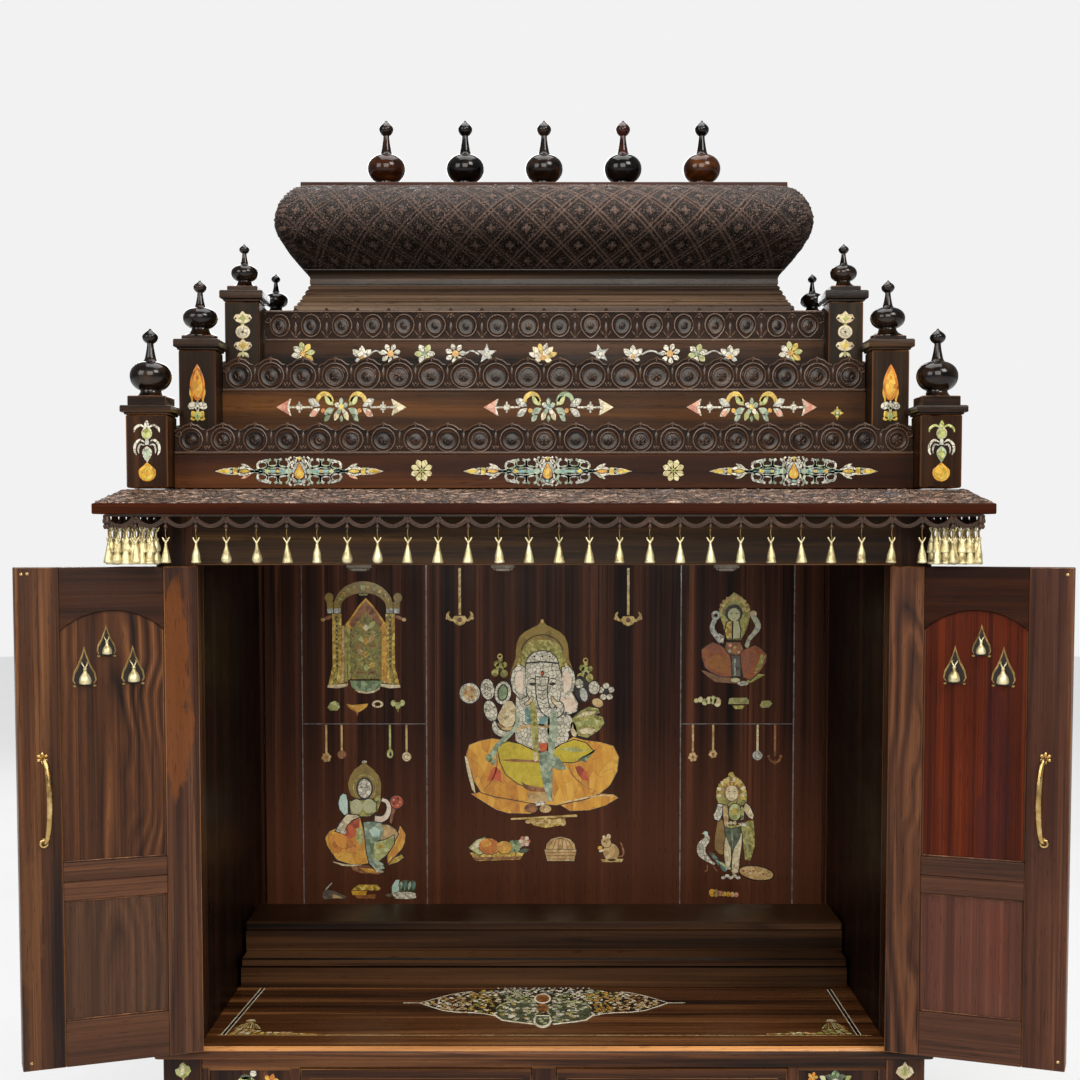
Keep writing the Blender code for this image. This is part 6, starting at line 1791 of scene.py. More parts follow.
def gallery(name, node, at, length, kind, plain=False):
    h = (hi(node).z - lo(node).z) * 1000
    L = length * 1000
    n = max(1, round(L / 41.8))
    p = L / n
    g = Random(len(node) * 31 + int(L))
    b = Build()
    back = -9.6
    face = -3.6
    # outline with its crest
    top = []
    if kind == "ring":
        shape = [(0.0, 0.735), (0.06, 0.79), (0.15, 0.805), (0.22, 0.86), (0.30, 0.92), (0.38, 0.935), (0.44, 0.955), (0.5, 1.0),
                 (0.56, 0.955), (0.62, 0.935), (0.70, 0.92), (0.78, 0.86), (0.85, 0.805), (0.94, 0.79)]
    else:
        shape = [(0.0, 0.985), (0.04, 0.945), (0.08, 0.90), (0.16, 0.885), (0.26, 0.905), (0.36, 0.89), (0.5, 0.905), (0.62, 0.885), (0.74, 0.905), (0.84, 0.885), (0.92, 0.90), (0.96, 0.945)]
    for k in range(n):
        for t, v in shape:
            top.append(((k + t) * p, v * h))
    top.append((L, shape[0][1] * h))
    # the ground plate behind the carving takes the darker painted shade copy (slot 1)
    plate(b, [(0, 0), (L, 0)] + top[::-1], at, 1, back, face, 0.5)
    plate(b, [(0, 0), (L, 0), (L, 3.0), (0, 3.0)], at, 0, face - 0.5, -0.2, 0.7)
    if kind == "ring":
        R = min(0.395 * p, (0.80 * h - 3.4) / 2)
        cy = 3.2 + R
        for k in range(n):
            cx = (k + 0.5) * p
            jx, jy = g.uniform(-0.35, 0.35), g.uniform(-0.3, 0.3)
            hoop(b, cx + jx, cy + jy, R, R * g.uniform(0.97, 1.03), 1.15, face + 0.8, at, 0, 28)
            bowl(b, cx + jx, cy + jy, R * 0.88, R * 0.88, face, at)
            if g.random() < 0.55:
                hoop(b, cx + jx, cy + jy, R * 0.66, R * 0.66, 0.7, face + 1.1, at, 0, 22)
            if not plain:
                motif(b, cx + jx, cy + jy, R * g.uniform(0.42, 0.58), g.choice((0, 1, 1, 2, 3, 4, 4)), face + 1.0, at)
            # the arch over the ring and its fleur
            arc = [((k + t) * p * MM, (v * h - 1.9) * MM, (face + 0.5) * MM) for t, v in shape]
            pipe(b, arc, 1.1 * MM, 6, 0, at)
            up = at @ Matrix.Translation((0, 0, face * MM))
            domed(b, leaf(cx, cy + R + 0.5, max(2.0, h - cy - R - 2.2), 3.2, 90, 0.5, 5), up, 0, rise=1.2, rings=2)
            for x in (k * p,):
                if 0 < k:
                    domed(b, leaf(x, 0.30 * h, 0.40 * h, 3.6, 90, 0.6, 6), up, 0, rise=1.1, rings=2)
                    domed(b, ell(x, 0.22 * h, 1.9, n=10), up, 0, rise=1.3, rings=2)
                    for e in (-1, 1):
                        domed(b, leaf(x, 3.2, 0.22 * h, 2.4, 90 + e * 28, 0.6, 5), up, 0, rise=0.9, rings=2)
    else:
        for k in range(n):
            x0, x1 = k * p, (k + 1) * p
            if k:
                up = at @ Matrix.Translation((0, 0, face * MM))
                domed(b, leaf(x0, 3.4, 0.50 * h, 4.2, 90, 0.6, 6), up, 0, rise=1.3, rings=2)
                domed(b, ell(x0, 0.70 * h, 2.4, 2.0, n=10), up, 0, rise=1.5, rings=2)
                for e in (-1, 1):
                    domed(b, leaf(x0, 3.4, 0.30 * h, 2.6, 90 + e * 34, 0.6, 5), up, 0, rise=1.0, rings=2)
                    domed(b, leaf(x0, 0.83 * h, 0.22 * h, 2.2, -90 + e * 40, 0.6, 5), up, 0, rise=1.0, rings=2)
            cx, cy = (x0 + x1) / 2, 0.455 * h
            rx, ry = 13.2 + g.uniform(-0.7, 0.7), 14.4 + g.uniform(-0.6, 0.6)
            tip = g.choice((0, 0, 2.4, 3.0))
            hoop(b, cx, cy + tip * 0.3, rx, ry, 1.15, face + 0.8, at, 0, 28, drop_tip=tip)
            bowl(b, cx, cy + tip * 0.3, rx * 0.88, ry * 0.88, face, at)
            if g.random() < 0.4:
                hoop(b, cx, cy + tip * 0.3, rx * 0.64, ry * 0.64, 0.65, face + 1.1, at, 0, 22, drop_tip=tip * 0.7)
            if not plain:
                motif(b, cx, cy + tip * 0.3, rx * g.uniform(0.36, 0.5), g.choice((0, 1, 1, 4, 4, 1)), face + 1.0, at)
            up = at @ Matrix.Translation((0, 0, face * MM))
            for e in (-1, 1):
                for f in (-1, 1):
                    domed(b, leaf(cx + e * (p / 2 - 3.0), cy + f * (0.385 * h), 6.0, 2.4, 90 - e * 45 if f < 0 else -90 + e * 45, 0.5, 5), up, 0, rise=0.9, rings=2)
        plate(b, [(0, 0.835 * h), (L, 0.835 * h), (L, 0.90 * h), (0, 0.90 * h)], at, 0, face - 0.4, face + 2.4, 0.9)
    # scroll ends
    for x, e in ((0, 1), (L, -1)):
        curl = []
        for i in range(16):
            a = radians(200 + i * 26)
            r = 4.6 * (1 - i / 19)
            curl.append(((x + e * (5.4 + r * cos(a))) * MM, (0.62 * h + r * sin(a)) * MM, (face + 1.0) * MM))
        pipe(b, curl, [0.0012 * (1 - 0.5 * i / 15) for i in range(16)], 7, 0, at)
    b.piece(name, [C_GALLERY, C_GALLERY_BED_PAINTED_SHADE, C_BOWL], "cabinet", (node,), "carved_rosewood", sharp=38)


for lv in LEVELS:
    kind = "oval" if lv == "upper" else "ring"
    node = "gallery_%s_front" % lv
    x, y, z = span_of(node)
    gallery(node + ".carved", node, facing(x[0], y[0], z[0]), x[1] - x[0], kind)
    for side, s in (("left", -1), ("right", 1)):
        node = "gallery_%s_%s" % (lv, side)
        x, y, z = span_of(node)
        at = facing(x[0], y[1], z[0], (0, -1, 0)) if s < 0 else facing(x[1], y[0], z[0], (0, 1, 0))
        gallery(node + ".carved", node, at, y[1] - y[0], kind)


# ------------------------------------------------------------ inlay on the tiers
ROSETTE = inlaid("inlay_rosette", ["#a99c68", "#cfc48e", "#ddd4a6", "#b8ac78"], 120.0, 0.6, seed=40.0, crack=0.05)
FRONT_MATS = [PEARL, PEARL_GREY, BONE, YELLOW, ORANGE, AMBER, CORAL, GREEN, LIME, TURQ, RED, INK, GOLD, SAGE, ROSETTE]
(i_PEARL, i_GREY, i_BONE, i_YEL, i_ORG, i_AMB, i_COR, i_GRN, i_LIM, i_TUR, i_RED, i_INK, i_GLD, i_SAG, i_ROSE) = range(len(FRONT_MATS))


def arabesque(b, at, alt=0):
    """A long pearl and turquoise panel: 106 mm to each side of its amber drop."""
    for e in (-1, 1):
        def E(pts):
            return pts if e > 0 else mirror(pts)
        # turquoise bar tapering to a pearl point
        tile(b, E([(8, -2.2), (62, -1.8), (86, -2.6), (86, 2.6), (62, 1.8), (8, 2.2)]), at, i_TUR)
        tile(b, E([(86, -4.6), (97, -3.4), (108, 0), (97, 3.4), (86, 4.6), (82, 0)]), at, i_GREY)
        tile(b, E(leaf(88, 0, 17, 6.0, 0, 0.4)), at, i_YEL, rise=0.5)
        tile(b, E(ell(82, 0, 3.4, 3.8, n=14)), at, i_YEL, rise=0.5)
        # pointed eye with a yellow heart
        tile(b, E(leaf(56, 0, 29, 12.5, 0, 0.5, 10)), at, i_PEARL)
        tile(b, E(leaf(61, 0, 18, 6.8, 0, 0.5, 8)), at, i_INK, rise=0.4)
        tile(b, E(leaf(62.5, 0, 15, 4.8, 0, 0.5, 8)), at, i_YEL if alt != 1 else i_AMB, rise=0.55)
        # loops of the interlace
        for cx, cy, rx, ry, w, m in ((20, 9.6, 7.2, 6.2, 3.3, i_GREY), (20, -9.6, 7.2, 6.2, 3.3, i_SAG), (34, 10.0, 6.6, 5.4, 3.2, i_SAG), (34, -10.0, 6.6, 5.4, 3.2, i_GREY),
                                     (47, 7.0, 6.4, 5.6, 3.0, i_PEARL), (47, -7.0, 6.4, 5.6, 3.0, i_GREY), (8.6, 14.2, 4.4, 4.2, 2.4, i_PEARL), (8.6, -14.2, 4.4, 4.2, 2.4, i_GREY)):
            gap = 38
            start = 90 if cy > 0 else 270
            pts = []
            N = 16
            for i in range(N + 1):
                a = radians(start + gap / 2 + (360 - gap) * i / N)
                pts.append((cx + rx * cos(a), cy + ry * sin(a)))
            tile(b, E(ribbon(pts, w, taper=False)), at, m)
        tile(b, E(ribbon([(9, 0), (20, 5.4), (34, 6.2), (47, 3), (57, 0)], 3.4, False)), at, i_SAG)
        tile(b, E(ribbon([(9, 0), (20, -5.4), (34, -6.2), (47, -3), (57, 0)], 3.4, False)), at, i_GREY)
        tile(b, E(ribbon([(27, 4), (27, 15.5)], 3.0, False)), at, i_GREY)
        tile(b, E(ribbon([(27, -4), (27, -15.5)], 3.0, False)), at, i_SAG)
        tile(b, E(ell(13.5, 0, 4.6, 3.4, n=14)), at, i_SAG, rise=0.45)
        tile(b, E(leaf(38, 15.2, 15, 3.6, -18, 0.5)), at, i_GREY)
        tile(b, E(leaf(38, -15.2, 15, 3.6, 18, 0.5)), at, i_GREY)
        tile(b, E(ell(41, 0, 3.2, 2.4, n=12)), at, i_YEL if alt else i_LIM, rise=0.5)
        tile(b, E(ell(27.5, 0, 2.2, 1.9, n=10)), at, i_GRN if alt == 1 else i_AMB, rise=0.5)
        tile(b, E(leaf(62, 4.0, 14, 3.6, 24, 0.5)), at, i_PEARL)
        tile(b, E(leaf(62, -4.0, 14, 3.6, -24, 0.5)), at, i_COR if alt == 0 else i_PEARL)
        tile(b, E(leaf(79, 4.2, 11, 3.0, -12, 0.5)), at, i_LIM)
        tile(b, E(leaf(79, -4.2, 11, 3.0, 12, 0.5)), at, i_BONE)
    # the middle: pearl loops round an amber drop
    tile(b, band(0, 8.0, 8.2, 10.6, -28, 208, 18), at, i_PEARL)
    tile(b, band(0, -8.0, 7.4, 9.8, 152, 388, 18), at, i_PEARL)
    tile(b, ell(0, 0.6, 8.2, 11.6, n=22), at, i_GREY)
    tile(b, drop(0, 12.6, 23.5, 14.6, -90, 14), at, i_INK, rise=0.42)
    tile(b, drop(0, 11.4, 21.2, 12.4, -90, 14), at, i_AMB, rise=0.62)
    tile(b, drop(0, 5.6, 12.5, 6.6, -90, 12), at, i_YEL, rise=0.75)
    tile(b, leaf(0, 13.0, 6.0, 4.0, 90), at, i_YEL, rise=0.5)
    tile(b, ell(0, -12.6, 3.0, 2.0, n=12), at, i_TUR, rise=0.5)


def rosette8(b, at, r=14.5):
    for k in range(8):
        tile(b, leaf(2.6 * cos(radians(45 * k + 22.5)), 2.6 * sin(radians(45 * k + 22.5)), r - 2.6, r * 0.50, 45 * k + 22.5, 0.62, 7), at, i_ROSE)
    tile(b, ell(0, 0, 3.1, n=14), at, i_LIM, rise=0.6)
    tile(b, ell(0, 0, 1.2, n=10), at, i_INK, rise=0.75)


def arrow_spray(b, at, alt=0):
    """Two arrows pointing outward from a cluster of leaves, 84 mm to each side."""
    for e in (-1, 1):
        def E(pts):
            return pts if e > 0 else mirror(pts)
        m = i_COR if (e < 0 or alt == 2) else i_BONE
        tile(b, E([(68, -8.0), (71, -1.2), (71, 1.2), (68, 8.0), (86, 0)]), at, m, rise=0.5)
        tile(b, E([(66.0, -8.6), (68.4, -8.2), (71.2, -1.4), (71.2, 1.4), (68.4, 8.2), (66.0, 8.6), (68.6, 1.2), (68.6, -1.2)]), at, i_PEARL)
        tile(b, E([(38, -1.0), (69, -1.0), (69, 1.0), (38, 1.0)]), at, i_PEARL)
        tile(b, E([(54, -5.6), (56.4, -5.6), (56.4, 5.6), (54, 5.6)]), at, i_GREY, rise=0.45)
        tile(b, E([(51.4, -2.6), (58.8, -2.6), (58.8, 2.6), (51.4, 2.6)]), at, i_PEARL, rise=0.55)
        tile(b, E(leaf(28, 1, 17, 8.0, 24, 0.55)), at, i_GREY)
        tile(b, E(leaf(28, -1, 16, 7.0, -30, 0.55)), at, i_PEARL)
        tile(b, E(ell(36, -6.4, 4.4, 3.2, -20, n=14)), at, i_COR if alt != 1 else i_GREY, rise=0.5)
        tile(b, E(ell(36, 5.2, 4.2, 2.8, 20, n=14)), at, i_PEARL, rise=0.5)
        # the curled yellow leaf over the cluster
        tile(b, E(band(22, 3.5, 7.6, 12.6, 12, 168, 14)), at, i_YEL if alt != 1 else (i_GRN if e > 0 else i_YEL))
        tile(b, E(leaf(10, 2, 15, 8.4, 38, 0.55)), at, i_LIM)
        tile(b, E(leaf(9, -1, 15, 7.6, -24, 0.55)), at, i_SAG)
        tile(b, E(leaf(14, -6, 12, 6.0, -44, 0.55)), at, i_SAG if alt else i_GRN, rise=0.3)
        tile(b, E(leaf(3, -2, 13, 6.4, -62, 0.55)), at, i_BONE if alt != 2 else i_LIM)
        tile(b, E(ell(24, -3.4, 3.0, 2.4, n=12)), at, i_ORG if alt == 0 else i_AMB, rise=0.55)
    for k in range(5):
        tile(b, leaf(0, 0.5, 9.4, 5.4, 90 + 72 * k, 0.6), at, i_PEARL if k % 2 else i_SAG, rise=0.6)
    tile(b, ell(0, 0.5, 3.2, n=14), at, i_TUR if alt == 1 else i_YEL, rise=0.8)
    tile(b, leaf(0, -8, 7, 4.6, -90), at, i_GRN)


def blossom(b, at, kind, turn=0.0):
    """The small flowers on the top tier."""
    if kind == "daisy":
        for k in range(7):
            a = turn + 360 / 7 * k
            tile(b, leaf(2.4 * cos(radians(a)), 2.4 * sin(radians(a)), 8.4, 5.0, a, 0.6), at, i_PEARL)
        tile(b, ell(0, 0, 3.4, n=14), at, i_AMB, rise=0.6)
    elif kind == "star":
        tile(b, star(0, 0, 10.5, 4.4, 5, 90 + turn), at, i_GREY)
        tile(b, ell(0, 0, 2.2, n=10), at, i_PEARL, rise=0.6)
    elif kind == "green":
        for k in range(6):
            a = turn + 60 * k
            tile(b, leaf(1.5 * cos(radians(a)), 1.5 * sin(radians(a)), 9.0, 6.0, a, 0.55), at, i_LIM if k % 2 else i_PEARL)
        tile(b, ell(0, 0, 3.0, n=12), at, i_GRN, rise=0.6)
    elif kind == "fan":
        for k in range(6):
            a = turn + 20 + 28 * k
            tile(b, leaf(0, -5, 15.5, 5.6, a, 0.62), at, (i_YEL, i_BONE, i_PEARL)[k % 3])
        for e in (-1, 1):
            tile(b, leaf(0, -5, 10, 5.0, 90 + e * 112, 0.6), at, i_BONE)
        tile(b, ell(0, -4.5, 3.0, n=12), at, i_AMB, rise=0.6)
    elif kind == "split":
        for k in range(8):
            a = turn + 45 * k
            tile(b, leaf(1.6 * cos(radians(a)), 1.6 * sin(radians(a)), 10.6, 5.6, a, 0.6), at, i_PEARL if 270 > (a % 360) > 100 else (i_YEL if k % 2 else i_LIM))
        tile(b, ell(0, 0, 3.0, n=12), at, i_AMB, rise=0.6)
    else:
        for k in range(3):
            tile(b, leaf(0, -4, 13, 6.2, 90 + (k - 1) * 46, 0.6), at, i_PEARL)
        tile(b, leaf(0, -4, 7.5, 4.4, 200, 0.6), at, i_GREY)
        tile(b, leaf(0, -4, 7.5, 4.4, -20, 0.6), at, i_GREY)
        tile(b, ell(0, -3, 2.4, n=10), at, i_AMB, rise=0.6)


def on_tier(lv, xm, zm):
    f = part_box("tier_" + lv)[0]
    return front_face(xm, f.y, zm)


b = Build()
TZ = {lv: (lo("tier_" + lv).z, hi("tier_" + lv).z) for lv in LEVELS}
zl = TZ["lower"][0] + (TZ["lower"][1] - TZ["lower"][0]) * 0.50
for cx, alt in ((-0.313, 0), (0.0045, 1), (0.3195, 2)):
    arabesque(b, on_tier("lower", cx, zl), alt)
for cx in (-0.1565, 0.1655):
    rosette8(b, on_tier("lower", cx, zl + 0.0010))
b.piece("inlay_tier_lower", FRONT_MATS, "cabinet", (), "rosewood")

# what shows above the gallery in front of it
b = Build()
gz = hi("gallery_lower_front").z
zm = gz + (TZ["middle"][1] - gz) * 0.52
for cx, alt in ((-0.2675, 0), (0.0060, 1), (0.2740, 2)):
    arrow_spray(b, on_tier("middle", cx, zm) @ Matrix.Diagonal((1.0, 1.30, 1.0, 1.0)), alt)
small = on_tier("middle", 0.3870, zm - 0.0075)
tile(b, star(0, 0, 9.0, 4.0, 4, 90), small, i_YEL)
tile(b, star(0, 0, 6.5, 3.0, 4, 45), small, i_GRN, rise=0.5)
tile(b, ell(0, 0, 2.0, n=10), small, i_BONE, rise=0.7)
b.piece("inlay_tier_middle", FRONT_MATS, "cabinet", (), "rosewood")

b = Build()
gz = hi("gallery_middle_front").z
zm = gz + (TZ["upper"][1] - gz) * 0.34
for cx, kind, turn, dz in ((-0.3260, "split", 10, 0), (-0.2465, "tri", 0, -1), (-0.2080, "daisy", 14, 0), (-0.1615, "green", 0, 0), (-0.1200, "daisy", 5, 0), (-0.0775, "star", 0, 0),
                           (-0.0015, "fan", 0, 1), (0.0755, "star", 12, 0), (0.1205, "tri", 0, 0), (0.1705, "daisy", 20, 0), (0.2080, "green", 15, 0), (0.2520, "tri", 0, 0), (0.3340, "split", -80, 1)):
    blossom(b, on_tier("upper", cx, zm + dz * 0.001) @ Matrix.Diagonal((1.34, 1.34, 1.0, 1.0)), kind, turn)
for x0, x1 in ((-0.236, -0.219), (-0.108, -0.088), (0.132, 0.158), (0.219, 0.241)):
    at = on_tier("upper", (x0 + x1) / 2, zm)
    w = (x1 - x0) * 500
    tile(b, ribbon([(-w, -1), (-w * 0.3, 3.5), (w * 0.3, 3.5), (w, -1)], 2.2, False), at, i_GREY)
b.piece("inlay_tier_upper", FRONT_MATS, "cabinet", (), "rosewood")

# ------------------------------------------------------------ inlay on the newels
b = Build()
for s in (-1, 1):
    for lv in LEVELS:
        nz = lo("newel_%s_front_left" % lv).z
        top = FLOOR + NEWEL_SPEC[lv]["top"]
        yf = NEWEL[lv]["y"] - NEWEL[lv]["w"] / 2
        cx = s * NEWEL[lv]["x"]
        if lv == "lower":
            at = front_face(cx + 0.0003, yf, (nz + top) / 2 - 0.001)
            # pearl fleur, wings, tulip and a hanging drop
            tile(b, leaf(0, 28, 12, 6.0, 90, 0.5), at, i_PEARL if s < 0 else i_LIM)
            both(b, ribbon([(1.5, 30), (8, 33.5), (14.5, 30), (16, 24.5)], 3.2), at, i_PEARL if s < 0 else i_LIM)
            tile(b, ell(0, 23.5, 6.6, 7.6, n=18), at, i_PEARL)
            tile(b, ell(0, 23.0, 6.0, 6.8, n=16), at, i_LIM, rise=0.55)
            tile(b, [(-2.0, 16), (2.0, 16), (2.6, 9), (-2.6, 9)], at, i_GREY)
            both(b, ribbon([(2.6, 12), (9, 15.0), (14.6, 9.5), (15.5, 1.5), (13.2, -4)], 3.4), at, i_PEARL)
            both(b, ribbon([(3.0, 8.5), (8.4, 9.4), (10.8, 4.0), (10.4, -2)], 2.4), at, i_GREY)
            tile(b, leaf(0, -13.5, 21, 12.5, 90, 0.6, 9), at, i_PEARL if s < 0 else i_SAG)
            tile(b, leaf(0, -12.2, 17, 9.4, 90, 0.6, 8), at, i_SAG if s < 0 else i_LIM, rise=0.55)
            tile(b, drop(0, -12.8, 24, 22.0, -90, 14), at, i_AMB)
            tile(b, drop(0, -17.0, 18, 16.0, -90, 14), at, i_YEL, rise=0.55)
            tile(b, drop(0, -20.5, 10, 7.0, -90, 12), at, i_AMB, rise=0.7)
        elif lv == "middle":
            zmid = (FLOOR + 0.7710 + top) / 2 + 0.0185
            at = front_face(cx, yf, zmid)
            tile(b, leaf(0, -17, 48, 19.5, 90, 0.42, 14), at, i_ORG)
            both(b, ribbon([(8.6, 3), (9.2, -6), (7.0, -14), (7.8, -19)], 2.8), at, i_AMB)
            tile(b, leaf(0, -13, 38, 13.0, 90, 0.42, 12), at, i_AMB, rise=0.55)
            tile(b, ell(0, 13.5, 2.0, 3.0, n=12), at, i_ORG, rise=0.7)
            both(b, ell(6.8, -22.4, 6.0, 4.6, -28, n=16), at, i_PEARL)
            tile(b, drop(0, -15.0, 13, 7.2, -90, 12), at, i_PEARL)
            tile(b, [(-1.6, -24), (1.6, -24), (1.6, -31), (-1.6, -31)], at, i_BONE)
            both(b, leaf(0, -41.5, 14.5, 8.6, 58, 0.55), at, i_YEL)
            tile(b, leaf(0, -43.0, 15, 8.0, 90, 0.55), at, i_LIM, rise=0.55)
            both(b, ell(6.2, -39.0, 3.4, 2.8, n=12), at, i_YEL)
            tile(b, leaf(0, -40, 7, 3.4, 90, 0.5), at, i_GRN, rise=0.7)
        else:
            at = front_face(cx + s * -0.0010, yf, top - 0.041)
            for dy, m in ((19, i_BONE), (-17.5, i_YEL)):
                tile(b, [(0, dy + 9.5), (4.2, dy + 5.2), (9.6, dy + 4.6), (12.2, dy), (8.6, dy - 4.4), (3.6, dy - 6.6), (-3.6, dy - 6.6), (-8.6, dy - 4.4), (-12.2, dy), (-9.6, dy + 4.6), (-4.2, dy + 5.2)],
                     at, i_BONE)
                tile(b, star(0, dy, 6.4, 3.2, 4, 90), at, i_LIM if dy > 0 else i_YEL, rise=0.55)
                both(b, ell(9.4, dy - 0.4, 1.6, n=8), at, i_INK, rise=0.55)
            tile(b, ell(0, 0.8, 9.6, 8.8, n=20), at, i_BONE)
            tile(b, ell(0, 0.8, 7.4, 6.6, n=18), at, i_GREY, rise=0.5)
            for k in range(5):
                tile(b, leaf(0, 0.8, 6.6, 3.6, 90 + 72 * k, 0.6), at, i_BONE, rise=0.62)
            tile(b, ell(0, 0.8, 1.6, n=10), at, i_INK, rise=0.78)
            tile(b, [(-2.4, 11.8), (2.4, 11.8), (1.6, 9.4), (-1.6, 9.4)], at, i_LIM)
            both(b, leaf(2, -26, 9, 4.4, -52, 0.5), at, i_BONE)
            tile(b, leaf(0, -24, 9, 4.4, -90, 0.5), at, i_LIM)
b.piece("inlay_newels", FRONT_MATS, "cabinet", (), "rosewood")


# ------------------------------------------------------------ inlay on the back wall
WALL_MATS = [PEARL, PEARL_GREY, BONE, YELLOW, GOLD, OLIVE, ORANGE, AMBER, RED, CORAL, GREEN, LIME, SAGE, TURQ, BROWN, TAN, INK, SILVER, GILT, HALO, LOTUS, CLOTH,
             ROSE, MOSAIC, SAGE_PALE, AQUA, GREY_DARK, GREEN_DARK, LOTUS_DARK, ROSE_DARK, ORANGE_DARK, TAN_DARK, LIME_DARK, GOLD_DARK]
(w_PEARL, w_GREY, w_BONE, w_YEL, w_GOLD, w_OLI, w_ORG, w_AMB, w_RED, w_COR, w_GRN, w_LIM, w_SAG, w_TUR, w_BRN, w_TAN, w_INK, w_SIL, w_GLT, w_HALO, w_LOT, w_CLO,
 w_ROSE, w_MOS, w_SAGP, w_AQUA, w_GREY_D, w_GRN_D, w_LOT_D, w_ROSE_D, w_ORG_D, w_TAN_D, w_LIM_D, w_GOLD_D) = range(len(WALL_MATS))
UNIT = 1.61                                     # the figures are laid out in units of 1.61 mm


def only_used(b, name, mats):
    """Make the piece with just the finishes its faces take."""
    used = sorted(set(b.m))
    b.m = [used.index(m) for m in b.m]
    b.piece(name, [mats[i] for i in used], "cabinet", (), "rosewood")


class Panel:
    """Inlay laid on the back wall about a centre, in units."""

    def __init__(self, x, z):
        self.b = Build()
        self.at = facing(x, BACK, z)

    def put(self, pts, mat, lift=0.0, rise=0.45, edge=0.30):
        pts = [(x * UNIT, y * UNIT) for x, y in pts]
        tile(self.b, pts, self.at, mat, rise=rise + lift, edge=edge)

    def outlined(self, pts, mat, lift=0.0, line=0.95):
        """A piece let into a thin dark bed."""
        if area(pts) < 0:
            pts = pts[::-1]
        self.put(inset(pts, -line), w_INK, lift, rise=0.50)
        self.put(pts, mat, lift + 0.12)

    def pair(self, pts, mat, **kw):
        self.put(pts, mat, **kw)
        self.put(mirror(pts, 0), mat, **kw)

    def done(self, name):
        only_used(self.b, name, WALL_MATS)


def lamp_head(p, x, y, r, mat, top, kind=0, stem=w_TAN, w=2.1):
    """A hanging inlaid lamp: a thin stem and a small worked head."""
    p.put([(x - w / 2, y + r * 0.6), (x + w / 2, y + r * 0.6), (x + w / 2, top), (x - w / 2, top)], stem, rise=0.35)
    if kind == 0:
        for k in range(6):
            a = 60 * k + 10
            p.put(ell(x + r * 0.60 * cos(radians(a)), y + r * 0.60 * sin(radians(a)), r * 0.36, n=9), mat, 0.1)
        p.put(ell(x, y, r * 0.34, n=10), w_BRN, 0.2)
    elif kind == 1:
        p.put(ell(x, y, r * 0.72, r * 1.05, n=14), mat)
        p.put(ell(x + r * 0.1, y - r * 0.15, r * 0.30, r * 0.5, n=10), w_INK, 0.15)
    elif kind == 2:
        p.put(ell(x, y, r, n=16), mat)
        p.put(band(x, y, r * 0.45, r * 0.62, 20, 300, 12), w_BRN, 0.15)
    else:
        p.put(band(x, y + r * 0.5, r * 0.72, r * 1.05, 195, 345, 12), mat)
        for e in (-1, 1):
            p.put(ell(x + e * r * 0.95, y + r * 0.55, r * 0.26, n=9), mat, 0.1)
        p.put(drop(x, y + r * 0.2, r * 0.95, r * 0.55, -90, 8), mat, 0.12)


# the arrangement in the middle: a seated elephant-headed figure on a lotus
p = Panel(0.0, 0.5284)
half = [(0, 102), (-1.6, 98.5), (-4.2, 95.5), (-11, 92), (-17.5, 88.5), (-22.4, 84), (-25.4, 77), (-26.4, 69), (-26.6, 62), (-28.6, 56), (-31.4, 49), (-32.6, 40), (-30, 33), (-22, 30)]
halo = [(x - 1.8, y) for x, y in half + [(-x, y) for x, y in half[:0:-1]]]
p.put(halo, w_HALO, rise=0.35)
inner = [(x * 0.80 - 1.8, 34 + (y - 34) * 0.80) for x, y in half[3:-1]]
inner = inner + [(-1.8 * 2 - x, y) for x, y in inner[::-1]]
p.put(inner, w_OLI, 0.10)
p.put(band(-1.8, 66, 20.6, 21.8, 12, 168, 20, 0.92), w_INK, 0.2)
p.put(band(-1.8, 66, 15.0, 15.9, 14, 166, 18, 0.90), w_GLT, 0.2)
p.put(ell(-1.8, 99.0, 1.9, n=12), w_GLT, 0.2)
for e in (-1, 1):
    for k in range(5):
        y = 60 - 5.2 * k
        p.put(spin(ell(-1.8 + e * (22.8 + k * 1.1), y, 1.5, 2.6, n=9), -1.8 + e * 22.8, y, e * 12), w_GLT if k % 2 else w_OLI, 0.2)
# upper hands with what they hold
for e, (x, y) in ((-1, (-44, 51.5)), (1, (41.5, 47.5))):
    for dx, dy, r in ((-5, -4, 3.6), (4, -5, 3.8), (0, 2, 4.2), (-3.5, 5, 2.8), (4.5, 4, 2.6), (0.5, 9, 2.4)):
        p.put(ell(x + dx, y + dy, r, r * 1.1, n=12), w_OLI if (dx + dy) % 2 else w_LIM if e > 0 else w_OLI, 0.05)
    p.put(band(x, y + 12.4, 1.4, 2.8, 0, 359, 12), w_GLT, 0.1)
    p.put(ell(x + 0.5, y - 1, 2.0, 2.4, n=10), w_INK, 0.2)
p.outlined(ell(-56.4, 31.0, 6.8, 10.4, 8), w_PEARL)
for dx, dy in ((-1.8, 4.2), (1.5, 0), (-1.2, -4.4)):
    p.put(band(-56.2 + dx, 31 + dy, 1.3, 2.2, 0, 359, 10), w_INK, 0.25)
p.outlined(ell(-41.1, 27.4, 8.2, 11.6, -8, n=24), w_PEARL, 0.05)
p.put(ell(-41.1, 27.6, 5.6, 8.8, -8, n=22), w_INK, 0.2)
p.put(ell(-41.1, 27.6, 4.4, 7.4, -8, n=18), w_GRN, 0.3)
p.outlined(ell(-74.3, 27.0, 10.2, n=26), w_PEARL)
p.put(ell(-74.3, 27.0, 7.2, n=22), w_TAN, 0.2)
for k in range(6):
    a = radians(60 * k)
    p.put(ell(-74.3 + 4.1 * cos(a), 27.0 + 4.1 * sin(a), 1.5, n=9), w_BRN if k % 2 else w_GREY, 0.3)
